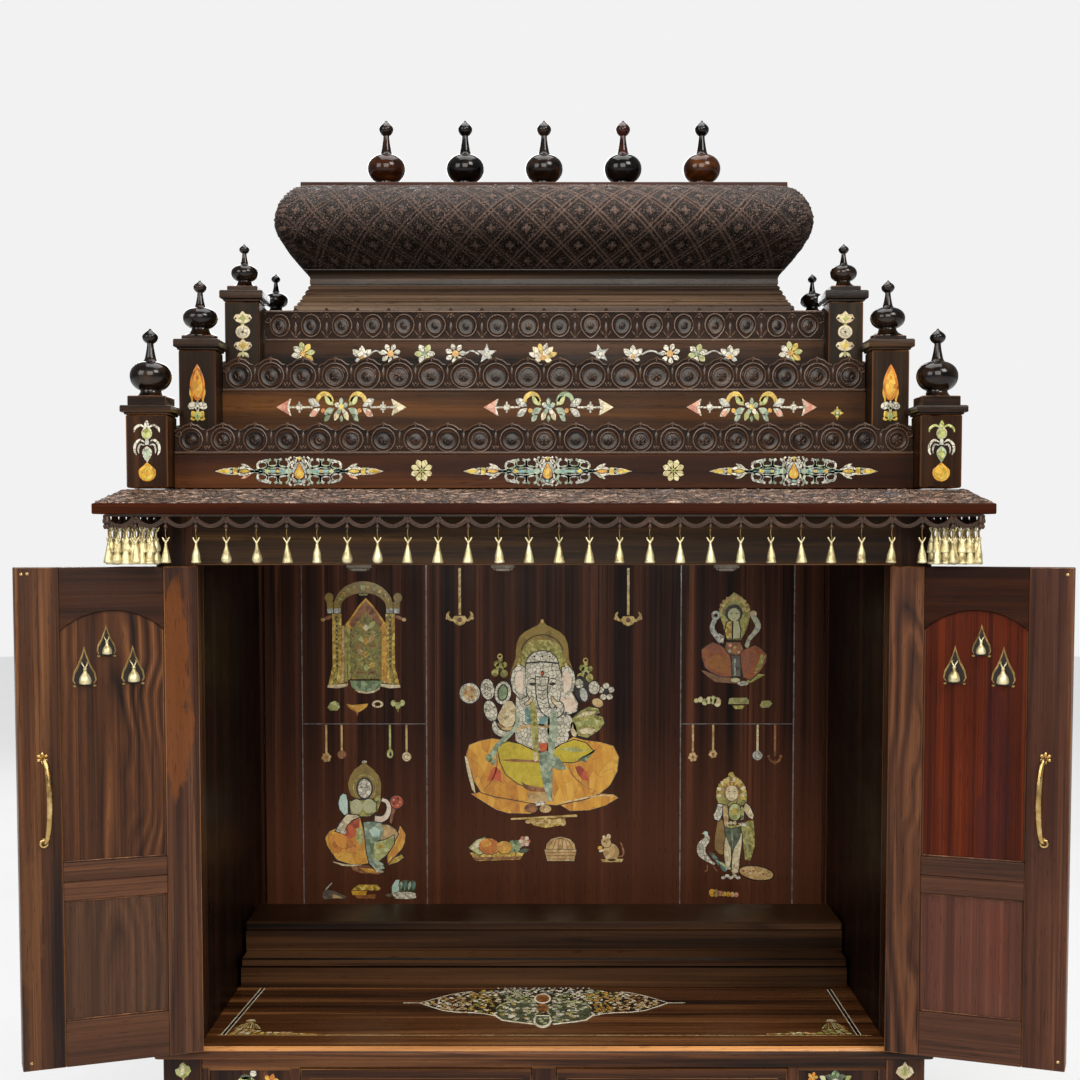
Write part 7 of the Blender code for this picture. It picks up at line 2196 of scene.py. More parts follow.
p.outlined(ell(-53.4, 9.4, 6.4, 10.6, 16), w_PEARL)
p.outlined([(-38, 20), (-32, 19), (-27.5, 12), (-27.8, 2), (-31, -6), (-38, -7.5), (-44, -4), (-47, 3), (-43, 11)], w_BONE)
p.outlined(ribbon([(-50, 0), (-48.5, -9), (-41, -14), (-30, -12.5)], 6.4), w_PEARL)
p.outlined(ribbon([(-47, -3), (-40, -8.5), (-30, -8.5), (-22, -12)], 3.4), w_TAN, 0.06)
p.outlined(ell(38.0, 31.0, 7.2, 13.0, 14, n=24), w_INK)
p.put(ell(35.2, 36.6, 4.2, 4.8, 14), w_PEARL, 0.2)
p.put(ell(39.6, 25.6, 3.8, 7.0, 14), w_GREY, 0.25)
p.outlined(ell(50.0, 32.6, 5.6, 6.6), w_PEARL)
for k in range(5):
    a = radians(72 * k + 20)
    p.put(ell(62.2 + 5.2 * cos(a), 28.4 + 6.2 * sin(a), 3.2, 3.0, n=10), w_PEARL, 0.05)
p.put(ell(62.2, 28.4, 3.0, 3.6, n=10), w_INK, 0.2)
p.outlined(ell(53.6, 17.4, 5.8, 4.4, -24), w_TAN)
# the open leaf in the right hand
p.outlined([(28, 1.5), (35, 8), (44, 13.5), (54, 12), (56, 7.5), (51, 5.5), (59, 3), (60.4, -3.4), (56, -9.4), (50, -13.6), (43, -18), (34, -15.6), (29.4, -8)], w_OLI)
p.put([(31, 2), (40, 8.5), (52, 9.0), (50, 6.2), (42, 4.4)], w_BONE, 0.2)
p.put([(31, -2.6), (44, 1.2), (57, -0.2), (55, -5.2), (43, -4.8), (33, -7)], w_LIM, 0.2)
p.put([(34, -9.6), (44, -7.6), (53, -9.4), (47, -14), (38, -14)], w_BONE, 0.2)
p.outlined(ell(20.6, -3.6, 8.2, 9.6, -18), w_PEARL)
p.outlined(ell(16.8, -17.2, 8.6, 7.0, 32), w_PEARL, 0.05)
p.outlined(ell(29.6, -9.4, 3.2, 8.0, 10), w_BONE)
# trunk and shoulders
p.outlined([(-28, 24), (-20, 30), (16, 30), (23, 38), (27, 30), (34, 17), (33, 9), (25, 5.6), (15, 6), (13, -6), (14, -27), (2, -32), (-20, -28), (-28.6, -20), (-29, -6)], w_PEARL)
p.outlined([(17, 33), (22, 38), (28, 27), (33, 15.5), (31, 9.5), (24, 7.6), (15, 12)], w_ROSE, 0.06)
p.put([(-27, -11), (-14, -8), (2, -9), (14, -13), (13, -29), (0, -31), (-14, -27), (-24, -21)], w_ROSE, 0.08)
p.put(ribbon([(-28, -9), (-12, -5.4), (4, -6.4), (14, -10)], 3.4, False), w_TAN, 0.2)
p.put(drop(4, 4, 22, 12, -72, 10), w_BONE, 0.12)
p.put([(-19.6, 11.5), (-13.6, 14.5), (-12.6, -5.5), (-19, -2)], w_TUR, 0.2)
p.put([(-6, -5.5), (-4.2, 2.4), (2, 5.6), (4.2, 0), (0, -6)], w_TUR, 0.2)
# head: a broad brow, two ears and the curled trunk
p.outlined([(-19, 53), (-25, 56), (-31.4, 50), (-33.4, 40), (-31, 29), (-24, 21), (-17.6, 24)], w_PEARL, 0.10)
p.outlined([(-20.5, 48), (-25, 50), (-28.6, 45), (-29.2, 38), (-27, 30), (-21.4, 26)], w_ROSE, 0.16, 0.6)
p.outlined([(18, 53), (24, 55), (30, 48), (31.4, 39), (29, 29), (22, 21), (16.4, 24)], w_PEARL, 0.10)
p.outlined([(19.2, 48), (23.6, 49.6), (27.2, 44), (27.6, 37), (25.4, 30), (20, 26)], w_ROSE, 0.16, 0.6)
p.outlined([(-18.2, 57.8), (-16.0, 62.5), (-10, 68), (-1.6, 69.6), (6.6, 68), (12.4, 62.5), (14.2, 57.6), (-2, 59.2)], w_PEARL, 0.12)
for x in (-9.5, -1.8, 5.8):
    p.put(ell(x, 63.8, 1.2, n=8), w_INK, 0.3)
head = [(-18.0, 56.6), (-2, 58), (14, 56.4), (17.2, 46), (17.4, 32), (15.4, 20), (9.6, 12.5), (1.6, 9.4), (-6, 11.6), (-12.4, 17.4), (-17.2, 28), (-18.8, 42)]
p.outlined(head, w_PEARL, 0.14)
for x in (-11.2, 8.4):
    p.put(leaf(x - 4.0, 36, 8.0, 3.4, 4, 0.5, 7), w_INK, 0.42)
    p.put(ribbon([(x - 4.4, 40.4), (x, 42), (x + 4.4, 40.2)], 1.2), w_INK, 0.42)
p.put(leaf(-1.4, 43.4, 7.2, 3.6, 90, 0.5, 7), w_INK, 0.42)
p.put(leaf(-1.4, 44.2, 5.0, 1.9, 90, 0.5, 7), w_RED, 0.52)
p.outlined(ribbon([(-2.0, 43), (-2.4, 32), (-1.6, 21), (1.6, 11), (8.6, 6.0), (15.4, 8.6), (16.0, 15.0), (11.6, 16.0)], lambda s: 12.4 * (1 - 0.60 * s)), w_PEARL, 0.30)
for k, (x, y) in enumerate(((-2.2, 35), (-2.3, 30.4), (-2.1, 26), (-1.4, 21.6), (0.2, 17.2), (2.6, 13.2))):
    p.put(ribbon([(x - 4.6 + k * 0.3, y + 0.8), (x, y - 0.8), (x + 4.6 - k * 0.3, y + 0.4)], 1.0, False), w_INK, 0.62)
for e in (-1, 1):
    p.outlined(ribbon([(-2 + e * 9.5, 24), (-2 + e * 12.6, 18.0), (-2 + e * 17.4, 16.0)], 3.8), w_BONE, 0.36, 0.7)
# the lotus seat
lotus = [(-78, -35), (-75, -25), (-64, -20.6), (-51.7, -18.4), (-40, -20), (-26, -24), (0, -34), (22, -22), (29, -16.8), (40, -20), (56, -22), (69.5, -26), (74.9, -37), (73.4, -52), (66, -66), (55.5, -74.5),
         (40, -80), (12, -86), (-12, -84), (-32, -80), (-50, -77), (-63, -73), (-70, -62), (-74, -48)]
p.outlined([(-73.4, -74.3), (-60, -72), (-40, -76), (-12, -82), (-6, -90), (-14, -94.6), (-36, -94), (-48, -90.5), (-60, -83)], w_LOT)
p.outlined([(74.6, -78.4), (70, -75), (56, -74), (38, -78), (14, -84), (26, -91.8), (46, -91.0), (62, -86)], w_LOT)
p.outlined(lotus, w_LOT, 0.08)
# painted highlight: a pale bone strip along the lotus's left outer edge
p.put([(-79.6, -36), (-76.6, -37.5), (-70.6, -62), (-68.6, -74), (-72.2, -70), (-77, -52)], w_BONE, 0.2)
p.put(ribbon([(-63, -73.5), (-52, -60), (-47, -44), (-49, -26)], 1.0), w_BRN, 0.25)
p.put(ribbon([(56, -73.5), (40, -66), (28, -54), (24, -40)], 1.0), w_BRN, 0.25)
p.put(ribbon([(14, -84), (34, -80), (56, -76), (73, -77)], 1.4), w_BONE, 0.25)
p.put([(-57.6, -62), (-53, -50), (-48.6, -46.6), (-43.4, -51), (-42, -64), (-49, -60)], w_RED, 0.25)
p.put([(30.6, -46.6), (36, -45.6), (44.6, -53), (45, -61.4), (38, -60.4), (33.4, -54)], w_RED, 0.25)
# the folded yellow cloth
p.outlined([(-47, -26), (-36, -21.6), (-24, -24), (-12, -30), (-2, -34), (1, -50), (0, -68), (-12, -69.6), (-26, -64), (-38, -55), (-44, -42)], w_CLO, 0.2)
p.put([(-44, -40), (-30, -39), (-3, -40.5), (-3, -43), (-30, -42.2)], w_BRN, 0.5)
p.outlined([(8, -31), (18, -24), (30, -19.6), (42, -23), (49, -30.6), (42, -38), (30, -42.6), (14, -42)], w_CLO, 0.2)
p.put([(14, -29), (30, -27), (44, -31), (30, -32.4)], w_LIM, 0.5)
p.put([(33, -40.5), (39, -36), (50, -32.5), (52.6, -29), (47, -35.6), (42, -42.4)], w_GRN, 0.5)
# scarves and belt
p.put([(-14.6, 18.5), (-8.4, 18.5), (-5.6, -10), (-5.4, -33), (-11, -30), (-12.6, -8)], w_OLI, 0.55)
p.put([(-5.8, -23.4), (4.4, -23.0), (4.4, -31), (-3.4, -32)], w_RED, 0.6)
p.put([(-11.6, -32), (-6.8, -32), (-6.2, -41), (-9.4, -42)], w_BONE, 0.55)
p.put(ribbon([(-25.6, 8), (-27, -4), (-34, -14), (-45, -24), (-51, -33), (-55, -41)], lambda s: 3.4 + 3.0 * s), w_SAG, 0.55)
p.put(ell(-55.0, -38.4, 3.4, 4.2, 30), w_GRN, 0.65)
p.put([(-51, -40), (-46, -38), (-49.6, -45.4), (-53, -45)], w_SAG, 0.65)
p.put([(6.0, 8.4), (12.6, 9.0), (13.6, -8), (10.6, -28), (8.6, -50), (8.4, -82), (4.6, -82.4), (-0.6, -66), (-5.4, -40), (-5.0, -33), (2.4, -31), (5.2, -12)], w_SAG, 0.6)
p.put([(8.6, -35), (14.6, -37.4), (23.4, -49.4), (14, -50.4), (6, -45.5)], w_SAG, 0.55)
p.put(ell(9.4, 9.6, 3.2, 2.6), w_GREY, 0.72)
p.put([(-23, -61.6), (-18, -64.8), (0, -68), (2, -72.5), (-14, -72), (-20.6, -68)], w_BRN, 0.4)
p.put([(-17.5, -73), (1.6, -72.5), (3.8, -80), (0, -86), (-15, -82)], w_TAN, 0.4)
p.put([(-9, -82), (1, -81.4), (1.6, -86), (-8.2, -86.4)], w_PEARL, 0.5)
p.put(ell(-13, -89, 7.0, 4.6), w_BRN, 0.45)
p.put(ell(1.4, -89.6, 6.0, 4.0), w_TAN, 0.5)
# footboard
p.put([(-33.6, -99.0), (33.4, -95.2), (33.4, -97.6), (-33.6, -100.8)], w_GLT, 0.1)
for k in range(9):
    p.put(ell(-16 + 4.4 * k, -102.6 + 1.1 * sin(k * 2.1), 2.9, 2.1 + (k % 3) * 0.7, n=9), w_GLT if k % 3 else w_TAN, 0.15)
p.put([(-17, -100.6), (22, -99), (18, -106), (2, -109), (-10, -106.4)], w_GOLD, 0.05)
p.done("inlay_figure_middle")

# offerings below the middle figure
p = Panel(0.0, 0.5284)
# a dish of fruit, a leaf and flowers
p.put([(-75, -134), (-19, -133), (-24, -141), (-68, -142.5)], w_GOLD, 0.02)
p.put([(-73, -138.5), (-22, -137.5), (-23.6, -140.4), (-69, -142)], w_BRN, 0.12)
p.outlined([(-76, -129), (-68, -121), (-58, -117.5), (-64, -126), (-56, -134), (-66, -136)], w_LIM, 0.06, 0.6)
p.put(leaf(-74, -131, 20, 6.0, 36, 0.5), w_BONE, 0.22)
p.outlined(ell(-55, -127.5, 10.5, 8.2, -8), w_ORG, 0.14, 0.6)
p.outlined(ell(-40, -128.5, 7.8, 6.6), w_AMB, 0.2, 0.6)
p.put(ell(-57, -125, 4.4, 2.8, 10), w_LOT, 0.32)
for k in range(6):
    a = radians(60 * k)
    p.put(ell(-29.5 + 4.6 * cos(a), -127.5 + 4.2 * sin(a), 3.0, 2.6, n=9), w_GRN, 0.26)
    p.put(ell(-19.5 + 3.6 * cos(a), -122.5 + 3.4 * sin(a), 2.5, 2.2, n=9), w_ROSE if k % 2 else w_COR, 0.2)
p.put(ell(-29.5, -127.5, 2.2, n=9), w_LIM, 0.4)
p.put(ell(-19.5, -122.5, 1.9, n=9), w_TAN, 0.34)
p.put(leaf(-26, -133.5, 12, 4.6, 14, 0.5), w_GRN_D, 0.3)
# a domed basket
dome = [(1.5, -131), (2.5, -125), (7, -120), (16.5, -117.6), (26, -120), (30.8, -125), (31.8, -131)]
p.outlined(dome, w_TAN, 0.10, 0.6)
for k in range(6):
    p.put(ribbon([(4 + 5 * k, -130.2), (8.6 + 3.2 * k, -122), (16.4, -118.6)], 0.9, False), w_BRN, 0.3)
p.outlined([(0.2, -130.6), (33, -130.6), (30.4, -142.5), (3.2, -142.5)], w_TAN, 0.2, 0.6)
for k in range(3):
    p.put([(1.2 + k, -133.0 - 3.4 * k), (32 - k, -133.0 - 3.4 * k), (31.8 - k, -134.0 - 3.4 * k), (1.4 + k, -134.0 - 3.4 * k)], w_BRN, 0.4)
# a small mouse sitting up
p.outlined(ell(67.5, -133.6, 8.2, 9.2, 12), w_TAN, 0.08, 0.6)
p.outlined(ell(62.4, -123.4, 5.0, 5.6, 30), w_TAN, 0.16, 0.6)
p.put(ell(64.8, -117.9, 2.3, 2.9, -10), w_BONE, 0.26)
p.put(ell(60.4, -118.7, 1.8, 2.4, 14), w_BONE, 0.26)
p.put(ell(60.6, -122.8, 0.9, n=8), w_INK, 0.4)
p.put(leaf(62.5, -130.2, 8, 3.2, 200, 0.6), w_BONE, 0.3)
p.put(ell(56.4, -129.2, 2.4, 2.2), w_AMB, 0.34)
p.put(ribbon([(73, -138.5), (79.5, -136.5), (79.0, -128), (76.4, -123)], 2.0), w_BRN, 0.2)
p.put([(57, -140.6), (80, -140.2), (78, -143.6), (59, -143.6)], w_GLT, 0.2)
# the two hanging lamps
for x, y in ((-84.0, 99.5), (84.0, 99.0)):
    p.put([(x - 1.25, y + 6), (x + 1.25, y + 6), (x + 1.25, 152), (x - 1.25, 152)], w_GLT, rise=0.3)
    p.put([(x - 5, y + 5), (x + 5, y + 5), (x + 7.6, y + 1.5), (x + 4.6, y - 3.0), (x, y - 5.0), (x - 4.6, y - 3.0), (x - 7.6, y + 1.5)], w_GLT)
    for e in (-1, 1):
        p.put(ribbon([(x + e * 4, y), (x + e * 9.4, y + 1.4), (x + e * 12.2, y + 5.6), (x + e * 10.2, y + 9.4)], 3.0), w_GLT, 0.1)
        p.put(ell(x + e * 12.6, y + 2.8, 1.7, n=9), w_TAN, 0.15)
    p.put(ell(x, y + 1.0, 2.4, 2.6), w_BRN, 0.2)
p.done("inlay_offerings_middle")

# left, above: an arched shrine between two columns
p = Panel(-0.2897, 0.6573)
p.put([(29.5 * cos(radians(a)), 33 + 26 * sin(radians(a))) for a in range(180, -1, -10)] + [(22.4 * cos(radians(a)), 33 + 14.2 * sin(radians(a))) for a in range(0, 181, 10)], w_HALO)
p.put(band(0, 33, 25.6, 26.6, 8, 172, 18, 0.78), w_OLI, 0.15)
for a in range(20, 170, 15):
    p.put(ell(25.6 * cos(radians(a)), 33 + 20.6 * sin(radians(a)), 1.6, 2.4, a - 90, n=9), w_OLI if a % 2 else w_GOLD, 0.2)
p.put([(-5, 46.4), (5, 46.4), (3.4, 44.6), (-3.4, 44.6)], w_LIM, 0.1)
p.put(ell(0, 52.5, 2.4, 3.0), w_LIM, 0.25)
for e in (-1, 1):
    def E(pts):
        return pts if e < 0 else mirror(pts)
    p.put(E(ell(-34.2, 42.4, 4.4, 5.0)), w_HALO)
    p.put(E([(-36.6, 38.4), (-29.8, 38.4), (-30.2, 26.8), (-36, 26.8)]), w_HALO, 0.04)
    p.put(E([(-29.4, 38.4), (-22.2, 38.0), (-22.6, 26.8), (-29.2, 26.8)]), w_HALO, 0.04)
    p.put(E([(-36.2, 31.8), (-29.9, 31.8), (-30.2, 26.8), (-36, 26.8)]), w_GREY, 0.15)
    p.put(E([(-29.3, 31.8), (-22.5, 31.8), (-22.6, 26.8), (-29.2, 26.8)]), w_GREY, 0.15)
    p.put(E(leaf(-30, 24.5, 11.0, 4.0, 200)), w_BRN)
    p.put(E(ell(-40.4, 20.6, 2.2, 1.8)), w_TAN, 0.1)
    # the column: five slips, flaring at the foot
    slips = ((-31.2, -27.8, w_GOLD), (-27.6, -25.6, w_OLI), (-25.4, -22.0, w_GOLD), (-21.8, -19.2, w_TAN), (-19.0, -16.6, w_OLI))
    for n, (a, c, m) in enumerate(slips):
        top = 26.4 if n < 3 else 14.5
        fa, fc = -18 + (a + 18) * 1.34, -18 + (c + 18) * 1.34
        p.put(E([(a, top), (c, top), (c, -26), (fc, -44.8 + n * 0.6), (fa, -44.8 + n * 0.6), (a, -26)]), m)
    for k in range(12):
        p.put(E(ell(-26.6, 23 - 4.4 * k, 0.8, 1.3, n=7)), w_INK, 0.2)
    p.put(E([(-36.2, -45.0), (-15.8, -43.4), (-16.4, -46.2), (-26, -48.2), (-36.4, -47.4)]), w_BONE, 0.1)
p.put([(2.4, 42.2), (7.4, 37.4), (14, 29), (19.6, 20.8), (22.6, 16.4), (19.4, 11), (-15.6, 11), (-18.4, 15.6), (-12, 24), (-4.6, 35)], w_AMB, 0.08)
p.put([(2.4, 40), (12, 28.4), (19.4, 17.4), (17, 13), (-12, 13), (-14.6, 16.4), (-5.5, 30.5)], w_BRN, 0.16)
p.put([(2.2, 28.6), (7.4, 22.4), (15.6, 14), (18.0, 8), (17.6, -39), (-12.6, -39), (-13.0, 8), (-9, 14), (-3, 22.4)], w_MOS, 0.24)
p.put([(18.4, 14), (22.8, 15.4), (22.6, -42), (17.8, -40)], w_AMB, 0.2)
p.put([(-13.2, 12), (-17.2, 14.4), (-15.8, -40), (-12.8, -38)], w_OLI, 0.2)
for k in range(4):
    y = 16 - 13.4 * k
    for e in (-1, 1):
        p.put(leaf(2.4 + e * 1.5, y - 5, 11.5, 5.0, 90 - e * 44, 0.55, 6), (w_GOLD, w_LIM, w_TAN, w_OLI)[(k + (e > 0)) % 4], 0.32)
        p.put(leaf(2.4 + e * 2, y - 7.5, 8.5, 3.6, 90 - e * 96, 0.55, 6), (w_OLI, w_BRN)[k % 2], 0.32)
    p.put(ell(2.4, y - 3.4, 2.3, 3.4), (w_BONE, w_AMB, w_GOLD, w_LIM)[k % 4], 0.42)
p.put([(-13.8, -40.4), (17.6, -40.4), (16.4, -47), (11, -50.8), (2.4, -52.4), (-6, -50.8), (-12.2, -47)], w_GRN, 0.25)
p.put([(-7, -50.0), (2.4, -51.6), (11.6, -50.0), (16, -46.6), (15.6, -49.2), (10, -52.6), (2.4, -53.6), (-5, -52.6), (-9.4, -50.2)], w_BONE, 0.35)
p.put([(-30.4 - 6.2, -67.4), (-33.6, -62.6), (-29.6, -60.8), (-25.4, -62.8), (-24.2, -67.2), (-26.8, -70.4), (-34, -70.4)], w_LIM)
p.put([(-17.6, -63.6), (-12, -65), (-2, -64), (4.4, -63.4), (2.6, -67), (-1.8, -70.4), (-6.6, -72.6), (-11.4, -70.2), (-15.6, -67.2)], w_AMB)
p.put([(-8.6, -72), (-5.2, -72), (-6.8, -76.4)], w_BRN)
p.put(band(13.6, -64, 2.9, 5.7, 0, 359, 20, 0.66), w_BONE)
for x, y in ((29.4, -63.2), (33.8, -65.6), (38.2, -63.0)):
    p.put(ell(x, y, 2.7, 3.2 if x < 33 or x > 34 else 3.8), w_LIM)
p.put([(33.0, -68.4), (34.8, -68.4), (33.9, -73)], w_OLI)
p.done("inlay_left_upper")

# left, below: a seated figure with a halo, on a lotus
p = Panel(-0.2900, 0.3752)
for x, y, r, m, kind in ((-37.9, 57.6, 5.2, w_TAN, 0), (-22.4, 60.5, 4.4, w_BRN, 2), (25.9, 61.4, 4.6, w_LIM, 1), (42.5, 58.2, 4.6, w_BONE, 2)):
    lamp_head(p, x, y, r, m, 90.4, kind, w_TAN if m != w_LIM else w_LIM)
p.put([(0, 53), (-4, 49.6), (-10.3, 45), (-14.6, 38), (-16.4, 31), (-15.8, 24.6), (-13.4, 19), (-8, 16), (8, 16), (12.6, 17), (16.4, 21), (17.0, 31), (14.8, 38.6), (9.4, 45), (3.8, 49.4)], w_HALO)
p.put([(10.4, 17), (16.4, 20), (16.0, 12), (13, 3), (9.4, 2.0), (8.6, 10)], w_OLI, 0.05)
p.put(band(0.2, 27, 10.6, 11.8, -40, 220, 20, 1.16), w_OLI, 0.15)
p.put(ell(0.2, 53.0, 2.6, 1.4), w_PEARL, 0.2)
p.put(ell(0.2, 26.4, 8.6, 11.4), w_INK, 0.12)
p.put(ell(0.2, 26.3, 7.0, 9.8), w_PEARL, 0.22)
for x in (-2.6, 3.0):
    p.put(leaf(x - 1.6, 27.6, 3.2, 1.3, 0, 0.5, 6), w_INK, 0.4)
p.put(leaf(0.2, 23, 3.6, 1.2, 90, 0.5, 6), w_GREY, 0.4)
p.put(leaf(-1.6, 20.8, 3.6, 1.1, 0, 0.5, 6), w_RED, 0.4)
p.outlined([(-15, 13.4), (-6, 14.6), (6, 14.4), (12, 12), (11.8, 3), (5, -2), (-5, -2), (-13.6, 1)], w_OLI, 0.1)
p.outlined(ell(-8.0, 8.0, 6.4, 7.4), w_SAGP, 0.16)
p.outlined(ell(4.6, 8.4, 6.4, 7.4), w_SAGP, 0.16)
p.outlined([(-21.3, 21), (-18.2, 20), (-16.8, 13), (-16.8, 0), (-20.4, -0.6), (-25, 5), (-26, 12), (-24.4, 18.4)], w_AQUA, 0.1)
p.outlined(ribbon([(10.2, -4.6), (17, -4.8), (22, -1.6), (24.6, 6), (22.6, 12.6), (17.4, 15.2)], lambda s: 6.6 - 3.4 * s), w_ROSE, 0.2)
p.outlined(ell(32.2, 12.6, 6.5), w_RED, 0.1)
for k in range(5):
    a = radians(72 * k)
    p.put(ell(32.2 + 3.5 * cos(a), 12.6 + 3.5 * sin(a), 1.3, n=8), w_INK if k % 2 else w_COR, 0.3)
p.put(ribbon([(30, 7), (27.6, 0), (26.2, -9)], lambda s: 4.6 - 2.4 * s), w_BRN)
lot = [(-39.8, -24), (-35.6, -17.2), (-27, -13.6), (-18.4, -10.6), (-11, -6), (-4.6, -3.3), (-1.2, -16), (0.6, -30), (4.0, -49.4), (-4, -51), (-14.9, -50.4), (-27.6, -46.4), (-34, -38), (-38, -31)]
p.outlined(lot, w_LOT, 0.1)
p.put([(-22, -13), (-11, -6), (-4.6, -3.8), (-5.4, -14), (-9, -22), (-17, -27), (-24, -22)], w_RED, 0.3)
p.put([(-36, -22), (-26, -18), (-15, -24), (-8, -32), (-12, -40), (-26, -38), (-34, -30)], w_ORG, 0.32)
p.put(ribbon([(-28, -45), (-18, -38), (-8, -40), (-1, -48)], 1.2), w_AMB, 0.45)
p.outlined([(-29.5, -17), (-24, -8), (-18, 0), (-8, -0.6), (-4.6, -2), (-13, -6), (-18, -12), (-21, -19.4)], w_BONE, 0.3)
for x, y, r in ((-23.4, -10.4, 2.4), (-26, -15.6, 2.2), (-21.0, -17.6, 2.6)):
    p.put(ell(x, y, r, n=11), w_PEARL, 0.5)
p.put([(-8.6, -14), (-2.4, -13), (-1.6, -24), (-3, -33), (-8.4, -26)], w_LIM, 0.42)
p.outlined([(-1, -8), (8, -7), (17, -9), (19, -17), (17, -24.6), (11, -28), (9.6, -45), (18.6, -50), (20, -55), (12, -57), (4.6, -50), (2, -40), (0.4, -24)], w_SAG, 0.36)
p.put([(4, -16), (10, -12), (16, -16), (15, -22), (8, -23)], w_AQUA, 0.55)
p.put([(5.4, -24), (9.2, -24), (8.8, -46), (5, -44)], w_GRN, 0.55)
p.outlined([(17.4, -10), (24, -10.6), (31, -15), (34, -20), (29.4, -28), (24, -30), (16, -26)], w_TAN, 0.3)
p.outlined([(9.4, -28), (20, -26), (29.4, -21), (29.6, -30), (22, -41), (14, -47.6), (9, -46)], w_LIM, 0.4)
p.put([(12.6, -31), (19, -30), (18, -34), (12, -35)], w_YEL, 0.6)
p.outlined([(35.6, -11.2), (37.4, -14), (41.2, -20), (40.4, -28), (37.4, -35), (30, -43), (23, -50), (22.6, -42), (28.4, -30), (33, -20)], w_LOT, 0.2)
p.outlined([(23.4, -51.4), (28, -45), (37, -40.4), (39.4, -43.6), (33, -48.6)], w_YEL, 0.3)
p.put(ribbon([(-32.4, -48.0), (-20, -51.4), (-3, -51.4)], 2.0), w_BONE, 0.4)
p.put([(-14, -52.6), (3.6, -51.4), (10, -56.4), (17.6, -58), (14, -61), (-2, -60), (-12.6, -57)], w_BRN, 0.2)
p.put([(-6, -54), (8, -55), (14, -59.6), (2, -59)], w_AMB, 0.3)
p.put([(8, -53), (18.6, -57.6), (18, -59.4), (12, -58.6)], w_PEARL, 0.5)
p.put([(-43, -84.4), (-42, -78.4), (-38.6, -76), (-30, -78.4), (-19, -83.4), (-20, -86), (-41, -86.2)], w_GREY_D, 0.05)
p.put(ribbon([(-40, -77), (-36.4, -72.8), (-33, -69.4)], 1.5), w_GREY, 0.1)
p.put([(-33, -81), (-26, -82.6), (-22, -85.2), (-33, -85.2)], w_TAN, 0.15)
p.put([(-10, -73.6), (-6, -71.4), (12, -71.6), (15.6, -75), (14, -77.2), (-13.6, -77.2)], w_GOLD)
p.put([(-13.8, -77.8), (2, -77.8), (0.6, -82), (-12.6, -82)], w_AMB, 0.05)
p.put([(-10, -82.4), (11, -81), (10, -85.6), (-8, -85.6)], w_BRN)
p.put([(27, -80), (27, -73), (31, -66.6), (34.6, -66.4), (33.6, -72), (35, -78)], w_AQUA)
p.put([(34, -78), (35, -68.6), (39, -66.6), (46, -67), (50.6, -68), (51, -76), (49, -79)], w_GRN_D, 0.05)
for k in range(4):
    p.put(leaf(35.6 + k * 4.0, -77.6, 9.8, 3.8, 84 - k * 3, 0.6, 6), w_TUR if k % 2 else w_SAG, 0.15)
p.put([(26.6, -80.4), (33, -79), (44, -78.6), (50.6, -80), (51.4, -84.6), (46, -86.2), (31, -85.6)], w_PEARL, 0.1)
p.put(ell(23.2, -82.4, 3.2, 1.6), w_GREY_D)
p.done("inlay_left_lower")

# right, above: a seated figure with two raised arms
p = Panel(0.3055, 0.6573)
p.put([(-0.4, 47.8), (-6.9, 42.4), (-11, 39.4), (-14.2, 35.4), (-15.2, 28.5), (-13.6, 22), (-10.8, 14), (-9.8, 6), (-7, 0.4), (6, 0), (10, 6), (13.6, 15), (16.4, 26.2), (15.2, 34.3), (9.4, 41.2), (4, 45.4)], w_OLI)
p.put(band(-0.2, 30, 10.4, 12.2, -8, 188, 20, 1.05), w_GOLD, 0.12)
for a in range(0, 181, 20):
    p.put(ell(-0.2 + 13.2 * cos(radians(a)), 31 + 12.0 * sin(radians(a)), 1.5, 2.2, a - 90, n=8), w_TAN, 0.2)
p.put(ell(-0.4, 27, 8.8, 9.0), w_INK, 0.2)
p.put(ell(-0.4, 25.6, 6.3, 6.6), w_SAGP, 0.3)
for x in (-2.8, 2.2):
    p.put(leaf(x - 1.3, 26.8, 2.8, 1.1, 0, 0.5, 6), w_INK, 0.45)
p.put(leaf(-1.8, 21.8, 3.0, 1.0, 0, 0.5, 6), w_BRN, 0.45)
p.outlined([(-7.4, 18), (-2.2, 20), (-2.4, 1.4), (-7.6, 1.8), (-9.4, 9)], w_GOLD, 0.2)
p.outlined([(-1.0, 20), (4.4, 19), (6.2, 10), (5.4, 1.8), (-1.4, 1.4)], w_SAGP, 0.2)
p.put(band(-18.4, 25.0, 1.8, 4.6, 0, 359, 14), w_GREY, 0.1)
p.put(ribbon([(-18.6, 22.4), (-22.2, 13), (-19.6, 6.6), (-12.4, -1.6)], lambda s: 4.4 + 1.4 * s), w_GREY, 0.14)
p.put([(-15.4, 7), (-9.6, 4), (-11, -3.6), (-14.6, -1)], w_PEARL, 0.3)
p.put(ell(18.8, 26.4, 3.4, 3.2), w_BONE, 0.1)
p.put(ribbon([(18.4, 24.6), (23.6, 15.0), (20.8, 8), (15.0, 1.6), (12.6, -5.6)], lambda s: 4.8 + 1.0 * sin(6 * s)), w_GREY, 0.14)
for x, y in ((20.4, 21), (23.2, 15), (20.6, 8.4), (16, 2.6), (13, -5)):
    p.put(ell(x, y, 2.3, 2.5, n=10), w_SAGP, 0.32)
p.outlined([(-32.4, -9.6), (-27.4, -5.4), (-21.4, -2.1), (-14.6, -4.6), (-9.2, -8.5), (-4, -15), (-2.4, -26), (-1.7, -36.2), (-9, -36.6), (-16.2, -35.1), (-24, -31), (-28.9, -27), (-31.8, -17.7)], w_LOT_D, 0.12)
